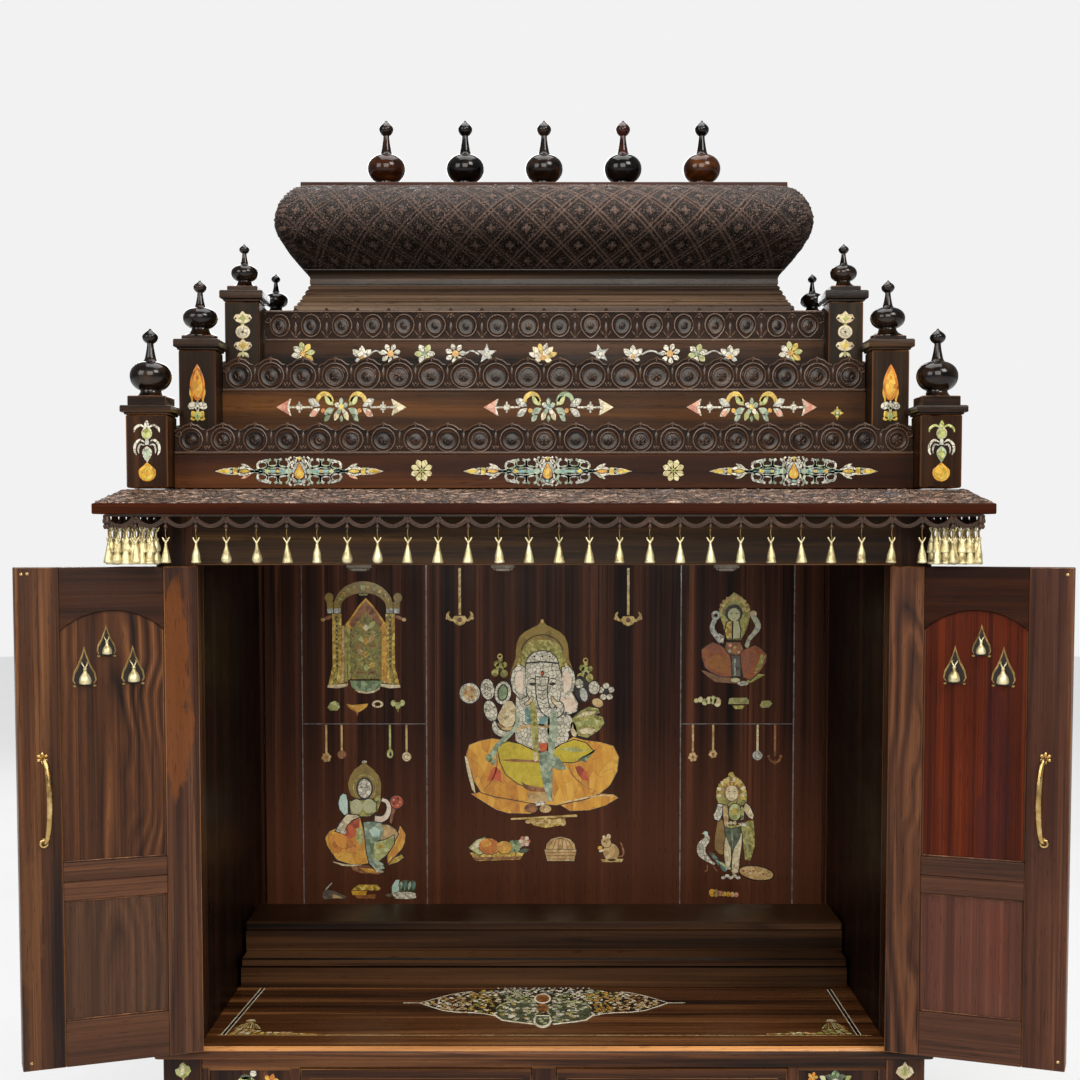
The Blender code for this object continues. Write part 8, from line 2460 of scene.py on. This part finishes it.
p.put([(-29, -8), (-21.4, -3), (-13.6, -5.6), (-12, -11.4), (-22, -13)], w_ROSE_D, 0.3)
p.put([(-27, -18), (-16, -14), (-7, -20), (-5, -33), (-15, -32.4), (-24, -27.4)], w_ORG_D, 0.3)
p.outlined([(5.6, -12), (12, -8.4), (20.8, -5), (27, -8.6), (32.4, -14.3), (32, -21), (28.9, -27), (23, -34.4), (16.2, -39.7), (9.2, -36.8), (7, -24)], w_LOT_D, 0.12)
p.put([(9, -13), (18, -8), (21, -17), (16, -32), (10, -34)], w_ROSE_D, 0.3)
p.put([(27, -13), (31, -16), (28, -26), (20, -34), (24, -22)], w_OLI, 0.3)
p.outlined([(-8, -2), (6, -2), (9, -9), (4, -15), (-4, -15), (-9, -8)], w_BRN, 0.2)
for x, y, m in ((-4, -5, w_COR), (0.6, -7, w_TAN), (4.4, -11.6, w_COR), (-4.4, -11, w_SAG)):
    p.put(ell(x, y, 2.0, 1.8, n=9), m, 0.42)
p.outlined([(-2.6, -15), (6, -16), (6.6, -36), (-1.6, -36.6)], w_GREY_D, 0.3)
p.put([(-0.6, -18), (1.6, -18), (2.0, -35), (0, -35)], w_SAG, 0.5)
p.put([(-33, -29.9), (-28, -31), (-16, -35.8), (-4, -37.4), (4.6, -38.6), (4.6, -43.6), (-6, -42.8), (-18.5, -42), (-27, -36)], w_TAN_D, 0.1)
p.put([(31.4, -34.5), (24, -33.6), (14, -38), (12, -43), (17, -42.4)], w_OLI, 0.15)
p.put(ell(1.4, -39.8, 4.6, 2.2), w_SAGP, 0.3)
p.put(ell(9.0, -43.2, 5.6, 2.4), w_PEARL, 0.3)
for k in range(6):
    p.put(ell(-37.4 + 4.2 * k, -60.6 + 1.4 * sin(k * 2.2), 2.5 + 0.25 * k, 2.4 + 0.5 * k, n=10), w_BONE if k % 2 else w_LIM, 0.1)
p.put([(-5.2, -61.6), (-4.4, -58.4), (-1, -57.6), (13, -57.6), (15.2, -60), (15, -64), (-5.6, -64)], w_LIM_D)
p.put([(-1.6, -65.4), (11.4, -65.4), (8.6, -69), (1.6, -69)], w_OLI)
p.put([(26, -65.4), (28.4, -60.6), (36, -60.4), (38.6, -63.6), (35, -67.4), (28, -67.8)], w_LIM_D)
p.put(ell(31.6, -64.4, 2.0, 1.6), w_OLI, 0.2)
p.done("inlay_right_upper")

# right, below: a standing figure with a peacock
p = Panel(0.3045, 0.3590)
for x, y, r, m, kind in ((-40, 68, 5.0, w_TAN, 0), (-19.8, 71, 4.6, w_TAN, 0), (24.7, 69.6, 4.9, w_GREY, 2), (42.2, 65, 6.4, w_BRN, 3)):
    lamp_head(p, x, y, r, m, 100.6, kind, (w_TAN, w_TAN, w_BONE, w_BRN)[(x > -30) + (x > 0) + (x > 40)])
for e, pts in ((-1, [(-14, 7.4), (-8.2, 2), (-7.2, -18), (-7.4, -31), (-13, -30), (-17.6, -25), (-17.4, -12)]), (1, [(9, -1.4), (15, 3.4), (21.2, 4), (22.4, -10), (22.6, -22), (18.4, -37), (13.2, -36), (11, -20)])):
    p.put(pts, w_GOLD_D if e < 0 else w_OLI)
p.put([(12.4, -8), (15.4, -6), (17, -34), (15, -35)], w_LIM_D, 0.15)
p.put([(-1.3, 52.2), (-5, 48), (-9.4, 45.4), (-13.6, 40.6), (-16.4, 33), (-16.6, 27.6), (-13.8, 20.6), (-7, 18), (8, 18), (14, 22), (14.6, 31), (12.6, 38.4), (8, 45), (3.2, 48.4)], w_OLI, 0.05)
for a in range(-20, 201, 14):
    p.put(ell(-1.2 + 12.6 * cos(radians(a)), 31.4 + 14.2 * sin(radians(a)), 2.0, 2.8, a - 90, n=9), w_BONE if (a // 14) % 2 else w_GOLD, 0.16)
p.put(band(-1.3, 50.0, 1.2, 3.0, 0, 359, 12), w_GOLD, 0.2)
p.put(ell(-0.8, 33, 8.4, 10.2), w_BRN, 0.22)
p.put(ell(-0.8, 31.6, 6.5, 8.0), w_BONE, 0.32)
for x in (-3.4, 2.2):
    p.put(leaf(x - 1.5, 33, 3.0, 1.2, 0, 0.5, 6), w_INK, 0.48)
p.put(leaf(-2.4, 26.6, 3.4, 1.1, 0, 0.5, 6), w_RED, 0.48)
for k in range(5):
    p.put(leaf(-0.8 + (k - 2) * 3.0, 38.4, 5.4, 2.6, 90 - (k - 2) * 14, 0.5, 6), w_GOLD if k % 2 else w_YEL, 0.4)
p.outlined([(-14.6, 21), (-9.6, 20), (-10.6, 9), (-13.4, 3.6), (-17.6, 5), (-19, 9.4), (-16.6, 14)], w_PEARL, 0.14)
p.outlined([(13, 22), (17.6, 18), (21.6, 9), (20.4, 5), (16.4, 7), (11, 15)], w_BONE, 0.14)
p.outlined([(-9.4, 20), (-5, 19), (-3.8, 6), (-4.4, -1.6), (-7.8, -1.4), (-9.2, 8)], w_TAN, 0.18)
p.outlined(ell(2.4, 12.4, 6.3, 8.6), w_LIM, 0.22)
p.outlined([(8.8, 19), (12, 16), (11.4, 5), (8, 4)], w_OLI, 0.16)
p.put(ell(2.4, 13.2, 2.6, 3.6), w_YEL, 0.48)
p.put([(-8, -1.4), (8.4, -0.6), (8.8, -4.6), (-7.8, -4.6)], w_OLI, 0.3)
for x in (-1.4, 2.4, -5):
    p.put(ell(x, 1.6 - abs(x) * 0.1, 1.9, n=9), w_BONE, 0.45)
p.put([(5.6, 1.2), (10.4, 1.8), (15.6, 1.4), (14.8, -2.2), (8.6, -1.6)], w_PEARL, 0.4)
p.outlined([(-6.4, -12), (-1.4, -24), (-0.8, -36), (-2.8, -46), (-6.8, -41), (-8.2, -30), (-8.0, -20)], w_BONE, 0.24)
p.outlined([(9.4, -8), (9.6, -20), (7.6, -34), (6.8, -46), (2.4, -49), (-0.4, -45), (0.4, -30), (3.4, -18)], w_BONE, 0.26)
p.outlined([(-7.4, -3), (-2, -4.6), (8, -3), (8.8, -12), (5.6, -19), (0.2, -27.6), (-3.8, -20), (-6.6, -11)], w_GRN_D, 0.3)
p.put([(-2.0, -6), (1.2, -6), (0.4, -24)], w_GRN, 0.5)
p.put([(-7, -44.6), (-3, -43.4), (-2.4, -46), (-8.6, -46.6)], w_PEARL, 0.35)
p.put([(-1, -46.4), (5.8, -45.2), (6.4, -48.6), (1, -50.6)], w_BONE, 0.4)
p.put(ribbon([(-26.2, -9.6), (-25.6, -15), (-30.6, -22), (-30.4, -29.4), (-24.6, -35.4), (-17.6, -40.6)], lambda s: 2.6 + 6.0 * sin(pi * min(1, s * 1.1)) ** 1.0), w_PEARL, 0.15)
p.put(ell(-26.8, -9.0, 2.4, 2.0), w_AQUA, 0.25)
p.put([(-28.6, -8.6), (-31.2, -9.4), (-28.8, -10)], w_GLT, 0.2)
for k in range(6):
    p.put(leaf(-24 + k * 2.4, -28 - k * 2.6, 9.4, 4.0, -34 - k * 3, 0.6, 6), w_TUR if k % 2 else w_GRN_D, 0.2 + 0.03 * k)
for k in range(5):
    p.put(ell(-11 + k * 2.1, -39.5 - k * 1.3, 1.8, 1.5, n=8), w_SAGP, 0.4)
p.put(ribbon([(-25, -40), (-25, -46.4), (-27.6, -48)], 1.0), w_BRN)
p.put(ribbon([(-19, -42), (-16, -46.6), (-13.6, -47.4)], 1.0), w_BRN)
p.outlined(spin(ell(24.4, -49.4, 17.4, 6.8), 24.4, -49.4, -9), w_TAN, 0.1)
for k in range(9):
    p.put(ell(11.6 + k * 3.3, -47.2 - k * 0.55 + 1.7 * sin(k * 2.6), 1.5, 1.2, n=8), (w_BRN, w_COR, w_BONE)[k % 3], 0.32)
p.outlined(ell(36.6, -51.2, 4.8, 4.6), w_TAN, 0.16)
p.put(band(36.6, -51.2, 1.6, 2.6, 0, 359, 12), w_BRN, 0.36)
for k in range(5):
    p.put(ell(-8.6 + k * 3.7, -53.4 + (1.0 if k % 2 else -0.8), 2.4, 1.7, n=9), w_PEARL, 0.2)
for k in range(7):
    p.put(ell(-20 + k * 4.1, -69.6 - 0.35 * k, 3.0 - 0.14 * k, 2.9 + (1.2 if k < 2 else -0.2), n=10), (w_AMB, w_TAN, w_COR, w_GOLD)[k % 4], 0.08)
p.done("inlay_right_lower")

# ------------------------------------------------------------ the inlaid lines
b = Build()
bz0, bz1 = FLOOR + 0.003, HEAD - 0.0005
for x, w in ((-0.389, 1.7), (-0.189, 2.0), (0.220, 2.0), (0.402, 2.2)):
    tile(b, [(-w / 2, 0), (w / 2, 0), (w / 2, (bz1 - bz0) * 1000), (-w / 2, (bz1 - bz0) * 1000)], facing(x, BACK, bz0), w_SIL, rise=0.25, edge=0.15)
for x0, x1 in ((-0.3876, -0.1905), (0.2215, 0.4004)):
    tile(b, [(0, -0.7), ((x1 - x0) * 1000, -0.7), ((x1 - x0) * 1000, 0.7), (0, 0.7)], facing(x0, BACK, 0.5222), w_SIL, rise=0.25, edge=0.15)
only_used(b, "inlay_wall_lines", WALL_MATS)

# ------------------------------------------------------------ inlay on the shrine floor
FL_MATS = [CREAM_LINE, PEARL_GREY, BONE, GOLD, OLIVE, GREEN, SAGE_PALE, BROWN, TAN, AMBER, INK, GREEN_DARK, SILVER, LIME, ORANGE, PEARL, TURQ]
(f_LINE, f_GREY, f_BONE, f_GOLD, f_OLI, f_GRN, f_SAG, f_BRN, f_TAN, f_AMB, f_INK, f_GRD, f_SIL, f_LIM, f_ORG, f_PEARL, f_TUR) = range(len(FL_MATS))


def scroll(cx, cy, r, turn, hand=1, w=1.3, turns=1.35):
    """A little inlaid volute."""
    pts = []
    for i in range(11):
        t = i / 10
        a = radians(turn) + hand * t * 2 * pi * turns
        q = r * (1 - 0.80 * t)
        pts.append((cx + q * cos(a), cy + q * sin(a)))
    line = [Vector((x, y, 0)) for x, y in pts]
    line = smooth_line(line, 2)
    a, c = [], []
    for i, p in enumerate(line):
        t = (line[min(i + 1, len(line) - 1)] - line[max(i - 1, 0)]).normalized()
        k = 0.5 * w * (0.6 + 0.4 * (1 - i / len(line)))
        a.append((p.x - t.y * k, p.y + t.x * k))
        c.append((p.x + t.y * k, p.y - t.x * k))
    return c + a[::-1]


def strip(pts, w):
    """A flat even strip along straight or curved points."""
    line = [Vector((x, y, 0)) for x, y in pts]
    a, c = [], []
    for i, p in enumerate(line):
        t = (line[min(i + 1, len(line) - 1)] - line[max(i - 1, 0)]).normalized()
        a.append((p.x - t.y * w / 2, p.y + t.x * w / 2))
        c.append((p.x + t.y * w / 2, p.y - t.x * w / 2))
    return c + a[::-1]


g = Random(7)
b = Build()
at = flat_top(0.0, FY + 0.185, FLOOR)
boat = [(-177, 0), (-160, 17), (-137, 40), (-120, 51), (-105, 57), (-86, 64), (-68, 70), (-34, 74), (0, 75), (34, 74), (68, 70), (90, 63), (112, 56), (130, 48), (150, 31), (164, 15), (177, 0),
        (162, -16), (142, -36), (122, -44), (100, -46), (85, -50), (66, -62), (0, -66), (-66, -62), (-85, -50), (-100, -46), (-122, -44), (-142, -36), (-162, -16)]


def inside(x, y, pts):
    hit = False
    for (x0, y0), (x1, y1) in zip(pts, pts[1:] + pts[:1]):
        if (y0 > y) != (y1 > y) and x < (x1 - x0) * (y - y0) / (y1 - y0) + x0:
            hit = not hit
    return hit


tile(b, boat, at, f_INK, rise=0.15)
tile(b, strip([(-201, 0.5), (-177, 0)], 1.5), at, f_LINE, rise=0.3)
tile(b, strip([(201, 0.5), (177, 0)], 1.5), at, f_LINE, rise=0.3)
low = [(-177, 0), (-162, -16), (-142, -36), (-122, -44), (-100, -46), (-85, -50), (-66, -62)]
tile(b, strip(low, 2.2), at, f_LINE, rise=0.4)
tile(b, strip([(-x, y) for x, y in low], 2.2), at, f_LINE, rise=0.4)
tile(b, strip([(-177, 0), (-160, 17), (-137, 40), (-120, 51), (-105, 57)], 1.4), at, f_LINE, rise=0.35)
tile(b, strip([(177, 0), (164, 15), (150, 31), (130, 48), (112, 56)], 1.4), at, f_LINE, rise=0.35)
tile(b, strip([(-150, 26), (-152, -24)], 1.6), at, f_LINE, rise=0.4)
# the scrollwork: rows of small volutes, leaves and seeds
row = 0
y = -56.0
while y < 70:
    step = 9.4
    x = -172 + (row % 2) * step / 2
    while x < 173:
        px, py = x + g.uniform(-1.4, 1.4), y + g.uniform(-1.3, 1.3)
        ok = all(inside(px + dx, py + dy, boat) for dx, dy in ((-5, 0), (5, 0), (0, 5), (0, -5)))
        hole = (abs(px) < 13 and -60 < py < 46) or (py < -2 and abs(px) < 72)
        if ok and not hole:
            far = abs(px)
            if py > 44 and far < 75:
                tones = (f_GREY, f_LINE, f_SAG, f_GREY)
            elif far < 62:
                tones = (f_SAG, f_LIM, f_LINE, f_GRN)
            elif far < 104:
                tones = (f_AMB, f_GOLD, f_LINE, f_OLI, f_TAN)
            else:
                tones = (f_BONE, f_TAN, f_LINE, f_TAN, f_BRN)
            kind = g.random()
            m = g.choice(tones)
            if kind < 0.56:
                tile(b, scroll(px, py, g.uniform(3.6, 4.9), g.uniform(0, 360), g.choice((-1, 1)), 1.5), at, m, rise=0.4, edge=0.2)
            elif kind < 0.80:
                tile(b, leaf(px - 3, py, g.uniform(7, 9.4), 3.8, g.uniform(0, 360), 0.5, 6), at, m, rise=0.4, edge=0.25)
            else:
                tile(b, ell(px, py, g.uniform(1.7, 2.6), g.uniform(1.5, 2.6), n=9), at, m, rise=0.45, edge=0.25)
                tile(b, ribbon([(px - 4.6, py - 2), (px, py + 3.2), (px + 4.4, py - 1.5)], 1.2), at, g.choice(tones), rise=0.4, edge=0.2)
        x += step
    y += 8.1
    row += 1
# small points standing along the back edge
for k in range(17):
    x = -66 + k * 8.2
    tile(b, leaf(x, 70.5 - abs(x) * 0.02, 7.6, 2.8, 90 + g.uniform(-38, 38), 0.5, 6), at, f_GREY if k % 3 else f_LINE, rise=0.35)
# the two front lobes
for e in (-1, 1):
    lobe = [(3, -14), (16, 2), (34, 5), (50, 1), (62, -8), (67, -26), (68, -44), (64, -62), (57, -78), (44, -85), (26, -92), (12, -97), (4, -92)]
    lobe = [(e * x, y) for x, y in lobe]
    tile(b, lobe, at, f_GRD, rise=0.32)
    edge = [(e * 12, -1)] + [(e * x, y) for x, y in ((16, 2), (34, 5), (50, 1), (62, -8), (67, -26))]
    tile(b, strip(edge, 2.0), at, f_SAG, rise=0.55)
    edge = [(e * x, y) for x, y in ((66, -46), (70, -52), (66, -63), (58, -80), (44, -87), (26, -94), (12, -99))]
    tile(b, strip(edge, 3.0), at, f_LINE, rise=0.6)
    for i in range(46):
        for _ in range(12):
            px, py = g.uniform(5, 64), g.uniform(-90, 1)
            if all(inside(e * px + dx, py + dy, lobe) for dx, dy in ((-5.2, 0), (5.2, 0), (0, 5.2), (0, -5.2))):
                break
        else:
            continue
        m = g.choice((f_SAG, f_GOLD, f_LINE, f_LINE, f_BONE, f_GREY))
        if i % 3:
            tile(b, scroll(e * px, py, g.uniform(3.6, 5.0), g.uniform(0, 360), g.choice((-1, 1)), 1.4), at, m, rise=0.55, edge=0.2)
        else:
            tile(b, leaf(e * px, py, 7.0, 3.2, g.uniform(0, 360), 0.5, 6), at, m, rise=0.55, edge=0.25)
# the two brown balls and the loop in front
tile(b, ell(-2, 21, 12.4, 23.5, n=24), at, f_LINE, rise=0.6)
tile(b, ell(-2, 20, 9.8, 20.0, n=24), at, f_BRN, rise=0.85)
tile(b, ell(-2, -26, 8.6, 21.0, n=24), at, f_BRN, rise=0.8)
tile(b, strip([(-12, -8), (-9, -14), (-9, -46), (-13, -56)], 2.0), at, f_SAG, rise=0.7)
tile(b, strip([(8, -8), (5.4, -14), (5.4, -46), (9, -56)], 2.0), at, f_SAG, rise=0.7)
tile(b, ell(-2, -80, 11.0, 26.0, n=24), at, f_GRD, rise=0.62)
tile(b, band(-2, -82, 9.6, 12.6, 150, 390, 22, 2.6), at, f_LINE, rise=0.95)
tile(b, strip([(-12, -62), (8, -62)], 2.6), at, f_LINE, rise=0.95)
for x, y in ((-6, -76), (2, -74), (-3, -88), (2, -95)):
    tile(b, scroll(x, y, 3.8, g.uniform(0, 360), 1, 1.3), at, f_SAG, rise=0.9, edge=0.2)

# the border line, the two double lines and the gilt sprays in the corners
at = flat_top(0.0, FY, FLOOR)
tile(b, [(-437, 39.2), (437, 37.4), (437, 38.9), (-437, 40.7)], at, f_TAN, rise=0.2, edge=0.15)
for (x0, y0), (x1, y1) in (((-429, 41), (-414, 259)), ((421, 40), (419, 252))):
    d = 1.9
    tile(b, [(x0 - d, y0), (x0 + d, y0), (x1 + d, y1), (x1 - d, y1)], at, f_INK, rise=0.12)
    for q in (-d - 0.9, d + 0.9):
        tile(b, [(x0 + q - 0.7, y0), (x0 + q + 0.7, y0), (x1 + q + 0.7, y1), (x1 + q - 0.7, y1)], at, f_LINE, rise=0.3, edge=0.15)
for e, x0, tones in ((1, -424, (f_TAN, f_GOLD, f_BONE)), (-1, 416, (f_BRN, f_TAN, f_OLI, f_LIM, f_BONE))):
    def C(x, y):
        return (x0 + e * x, 42 + y)
    for k in range(9):
        a0, a1 = 4 + k * 4.2, 12 + k * 2.3
        tile(b, [C(a0, 26), C(a0 + 2.4, 26), C(a1 + 1.4, 56 - abs(k - 4) * 3.0), C(a1, 56 - abs(k - 4) * 3.0)], at, tones[k % len(tones)], rise=0.4, edge=0.2)
    tile(b, [C(14, 58), C(28, 58), C(25, 66), C(18, 66)], at, tones[-1], rise=0.4)
    for r in range(4):
        width = 104 - r * 17
        n = int(width / 9)
        for k in range(n):
            px = 3 + r * 1.6 + k * 9.2 + g.uniform(-0.8, 0.8)
            fade = 1 - 0.62 * k / n
            if r > 1 and k > n * 0.55:
                continue
            tile(b, [C(*q) for q in leaf(px, 3.2 + r * 6.4 * (0.55 + 0.45 * fade), 8.8, 4.6 * fade + 0.6, g.uniform(-14, 14), 0.5, 6)], at, g.choice(tones), rise=0.4, edge=0.25)
    tile(b, strip([C(100, 1.6), C(108, 2.6), C(118, 1.0)], 1.6), at, tones[1 % len(tones)], rise=0.3)
only_used(b, "inlay_shrine_floor", FL_MATS)

# ------------------------------------------------------------ inlay on the base
b = Build()
for s in (-1, 1):
    box0, box1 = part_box("base_end_" + ("left" if s < 0 else "right"))
    cx = (box0.x + box1.x) / 2
    top = box1.z
    at = front_face(cx - 0.001 * s, box0.y, top)
    # a climbing stem of pale leaves down each front leg
    for k in range(3):
        y = -12 - 32 * k
        if s < 0:
            tile(b, [(0, y + 6), (4, y + 2), (8.6, y), (10.4, y - 6), (6, y - 12), (1, y - 16), (-4, y - 14), (-9, y - 11), (-10.6, y - 4), (-6, y - 2), (-4, y + 3)], at, f_LIM)
            tile(b, leaf(0, y + 3, 16, 5.4, -96, 0.5, 7), at, f_BONE, rise=0.5)
        else:
            tile(b, [(0, y + 7), (3.4, y + 1.6), (9, y - 1), (12, y - 8), (6, y - 14), (0, y - 17), (-6, y - 14), (-12, y - 8), (-9, y - 1), (-3.4, y + 1.6)], at, f_BONE)
            tile(b, [(0, y + 2), (2.6, y - 2.4), (6, y - 8), (0, y - 12.6), (-6, y - 8), (-2.6, y - 2.4)], at, f_LIM, rise=0.5)
            tile(b, ell(0, y - 7, 2.0, 2.6, n=10), at, f_OLI, rise=0.65)
        both(b, leaf(0, y - 18, 12, 4.6, -38, 0.5, 7), at, f_LIM if s > 0 else f_SAG)
        tile(b, strip([(0, y - 15), (0.8, y - 22), (0, y - 27)], 1.6), at, f_BONE)
f0, f1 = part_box("base_front_frame")
xm = (PX0 + PX1) / 2
for s in (-1, 1):
    at = front_face(s * xm, f0.y + 0.004, op1)
    if s < 0:
        # a spray with a pale bud, green leaves and an orange flower
        tile(b, ell(4, -9, 4.6, 4.2, n=16), at, f_PEARL, rise=0.5)
        for a, l, w, m in ((200, 22, 9, f_LIM), (232, 26, 10, f_GRN), (262, 24, 10, f_SAG), (292, 24, 9, f_LIM), (180, 16, 7, f_GRD)):
            tile(b, leaf(2, -14, l, w, a, 0.55, 8), at, m)
        for k in range(6):
            tile(b, leaf(27, -20, 11, 6.4, 60 * k + 12, 0.6, 7), at, f_ORG if k % 2 else f_AMB)
        tile(b, ell(27, -20, 3.4, n=12), at, f_BRN, rise=0.6)
        for k in range(6):
            tile(b, leaf(-14, -60, 12, 6.6, 60 * k, 0.6, 7), at, f_LIM if k % 2 else f_BONE)
        tile(b, ell(-14, -60, 3.4, n=12), at, f_AMB, rise=0.6)
    else:
        for k in range(6):
            tile(b, leaf(-3, -20, 16, 10.4, 60 * k + 30, 0.6, 8), at, f_GRN if k % 2 else f_GRD)
        tile(b, ell(-3, -20, 4.6, n=14), at, f_PEARL, rise=0.6)
        for a, l, m in ((150, 15, f_SAG), (30, 15, f_LIM)):
            tile(b, leaf(-3 + (8 if a < 90 else -8), -20, l, 7, a, 0.55, 8), at, m)
        for k in range(5):
            tile(b, leaf(-33, -14, 7.4, 4.4, 72 * k, 0.6, 6), at, f_ORG if k % 2 else f_AMB)
        tile(b, ell(-24, -24, 3.0, 2.6, n=12), at, f_LIM)
        for k in range(6):
            tile(b, leaf(16, -62, 12, 6.6, 60 * k, 0.6, 7), at, f_ORG if k % 2 else f_BONE)
        tile(b, ell(16, -62, 3.4, n=12), at, f_GRN, rise=0.6)
    tile(b, strip([(2, -30), (-1, -44), (4, -58), (-2, -74), (2, -86)], 1.9), at, f_OLI)
    for k, (x, y) in enumerate(((0, -38), (1, -50), (3, -58), (0, -68), (0, -78))):
        e = 1 if (k + (s > 0)) % 2 else -1
        tile(b, leaf(x, y, 17, 6.6, 90 - e * 64, 0.55, 8), at, (f_GRN, f_LIM, f_SAG)[k % 3])
only_used(b, "inlay_base", FL_MATS)


# ------------------------------------------------------------ floor, light, camera
me = bpy.data.meshes.new("studio_floor")
bm = bmesh.new()
bmesh.ops.create_circle(bm, cap_ends=True, cap_tris=False, segments=96, radius=9.0)
bm.to_mesh(me)
bm.free()
floor = bpy.data.objects.new("studio_floor", me)
bpy.context.scene.collection.objects.link(floor)
m = Mat("studio_floor")
patchy = m.noise(m.coord((1, 1, 1)), 3.0, 2.0, 0.5)
paper = m.ramp(patchy, [(0.3, (0.245, 0.245, 0.245, 1)), (0.7, (0.265, 0.265, 0.265, 1))])
m.bsdf.inputs["Emission Strength"].default_value = 0.66
m.bsdf.inputs["Emission Color"].default_value = (1, 1, 1, 1)
me.materials.append(m.done(paper, m.span(patchy, 0.3, 0.7, 0.85, 0.92), specular=0.0))

scene = bpy.context.scene
world = bpy.data.worlds.new("studio")
scene.world = world
world.use_nodes = True
t = world.node_tree
bg = t.nodes["Background"]
bg.inputs["Color"].default_value = (0.92, 0.95, 1.0, 1.0)
bg.inputs["Strength"].default_value = 0.20
back = t.nodes.new("ShaderNodeBackground")
back.inputs["Color"].default_value = rgb("#f2f2f2")
back.inputs["Strength"].default_value = 1.0
path = t.nodes.new("ShaderNodeLightPath")
blend = t.nodes.new("ShaderNodeMixShader")
t.links.new(path.outputs["Is Camera Ray"], blend.inputs["Fac"])
t.links.new(bg.outputs["Background"], blend.inputs[1])
t.links.new(back.outputs["Background"], blend.inputs[2])
t.links.new(blend.outputs["Shader"], t.nodes["World Output"].inputs["Surface"])


def lamp(name, where, aim, size, power, colour=(1, 1, 1), shape="RECTANGLE", size_y=None):
    l = bpy.data.lights.new(name, "AREA")
    l.shape = shape
    l.size = size
    if shape == "RECTANGLE":
        l.size_y = size_y or size
    l.energy = power
    l.color = colour
    o = bpy.data.objects.new(name, l)
    scene.collection.objects.link(o)
    o.location = where
    o.rotation_euler = (Vector(aim) - Vector(where)).to_track_quat("-Z", "Y").to_euler()
    return o


lamp("key_softbox", (1.7, -2.3, 2.9), (0, 0, 0.95), 1.2, 64, (1.0, 0.965, 0.92))
lamp("fill_softbox", (-2.4, -2.3, 2.0), (0, 0, 0.8), 1.5, 40, (0.97, 0.98, 1.0))
lamp("front_softbox", (0.0, -3.0, 1.9), (0, 0, 0.5), 1.6, 52, (1.0, 0.94, 0.86))
lamp("shrine_softbox", (0, BEAM_FACE + 0.10, HEAD - 0.02), (0, BACK, 0.42), 0.7, 1.1, (1.0, 0.95, 0.88), size_y=0.10)
lamp("top_softbox", (0.0, 0.1, 3.4), (0, 0, 0.9), 2.2, 60, (1.0, 0.99, 0.97))
lamp("back_softbox", (-0.6, 3.2, 2.3), (0, 0, 0.8), 2.2, 60, (0.97, 0.98, 1.0))

cam = bpy.data.cameras.new("camera")
cam.sensor_width = 36.0
cam.lens = 53.333
cam.shift_x = -0.0037
cam.shift_y = 0.0762
cam.clip_start = 0.05
cam.clip_end = 60
camera = bpy.data.objects.new("camera", cam)
scene.collection.objects.link(camera)
camera.location = (0.0, -2.2596, 0.8340)
camera.rotation_euler = (radians(86.7), 0, 0)
scene.camera = camera
scene.view_settings.view_transform = "Standard"
scene.view_settings.look = "None"
scene.view_settings.exposure = 0.0
scene.view_settings.gamma = 1.0
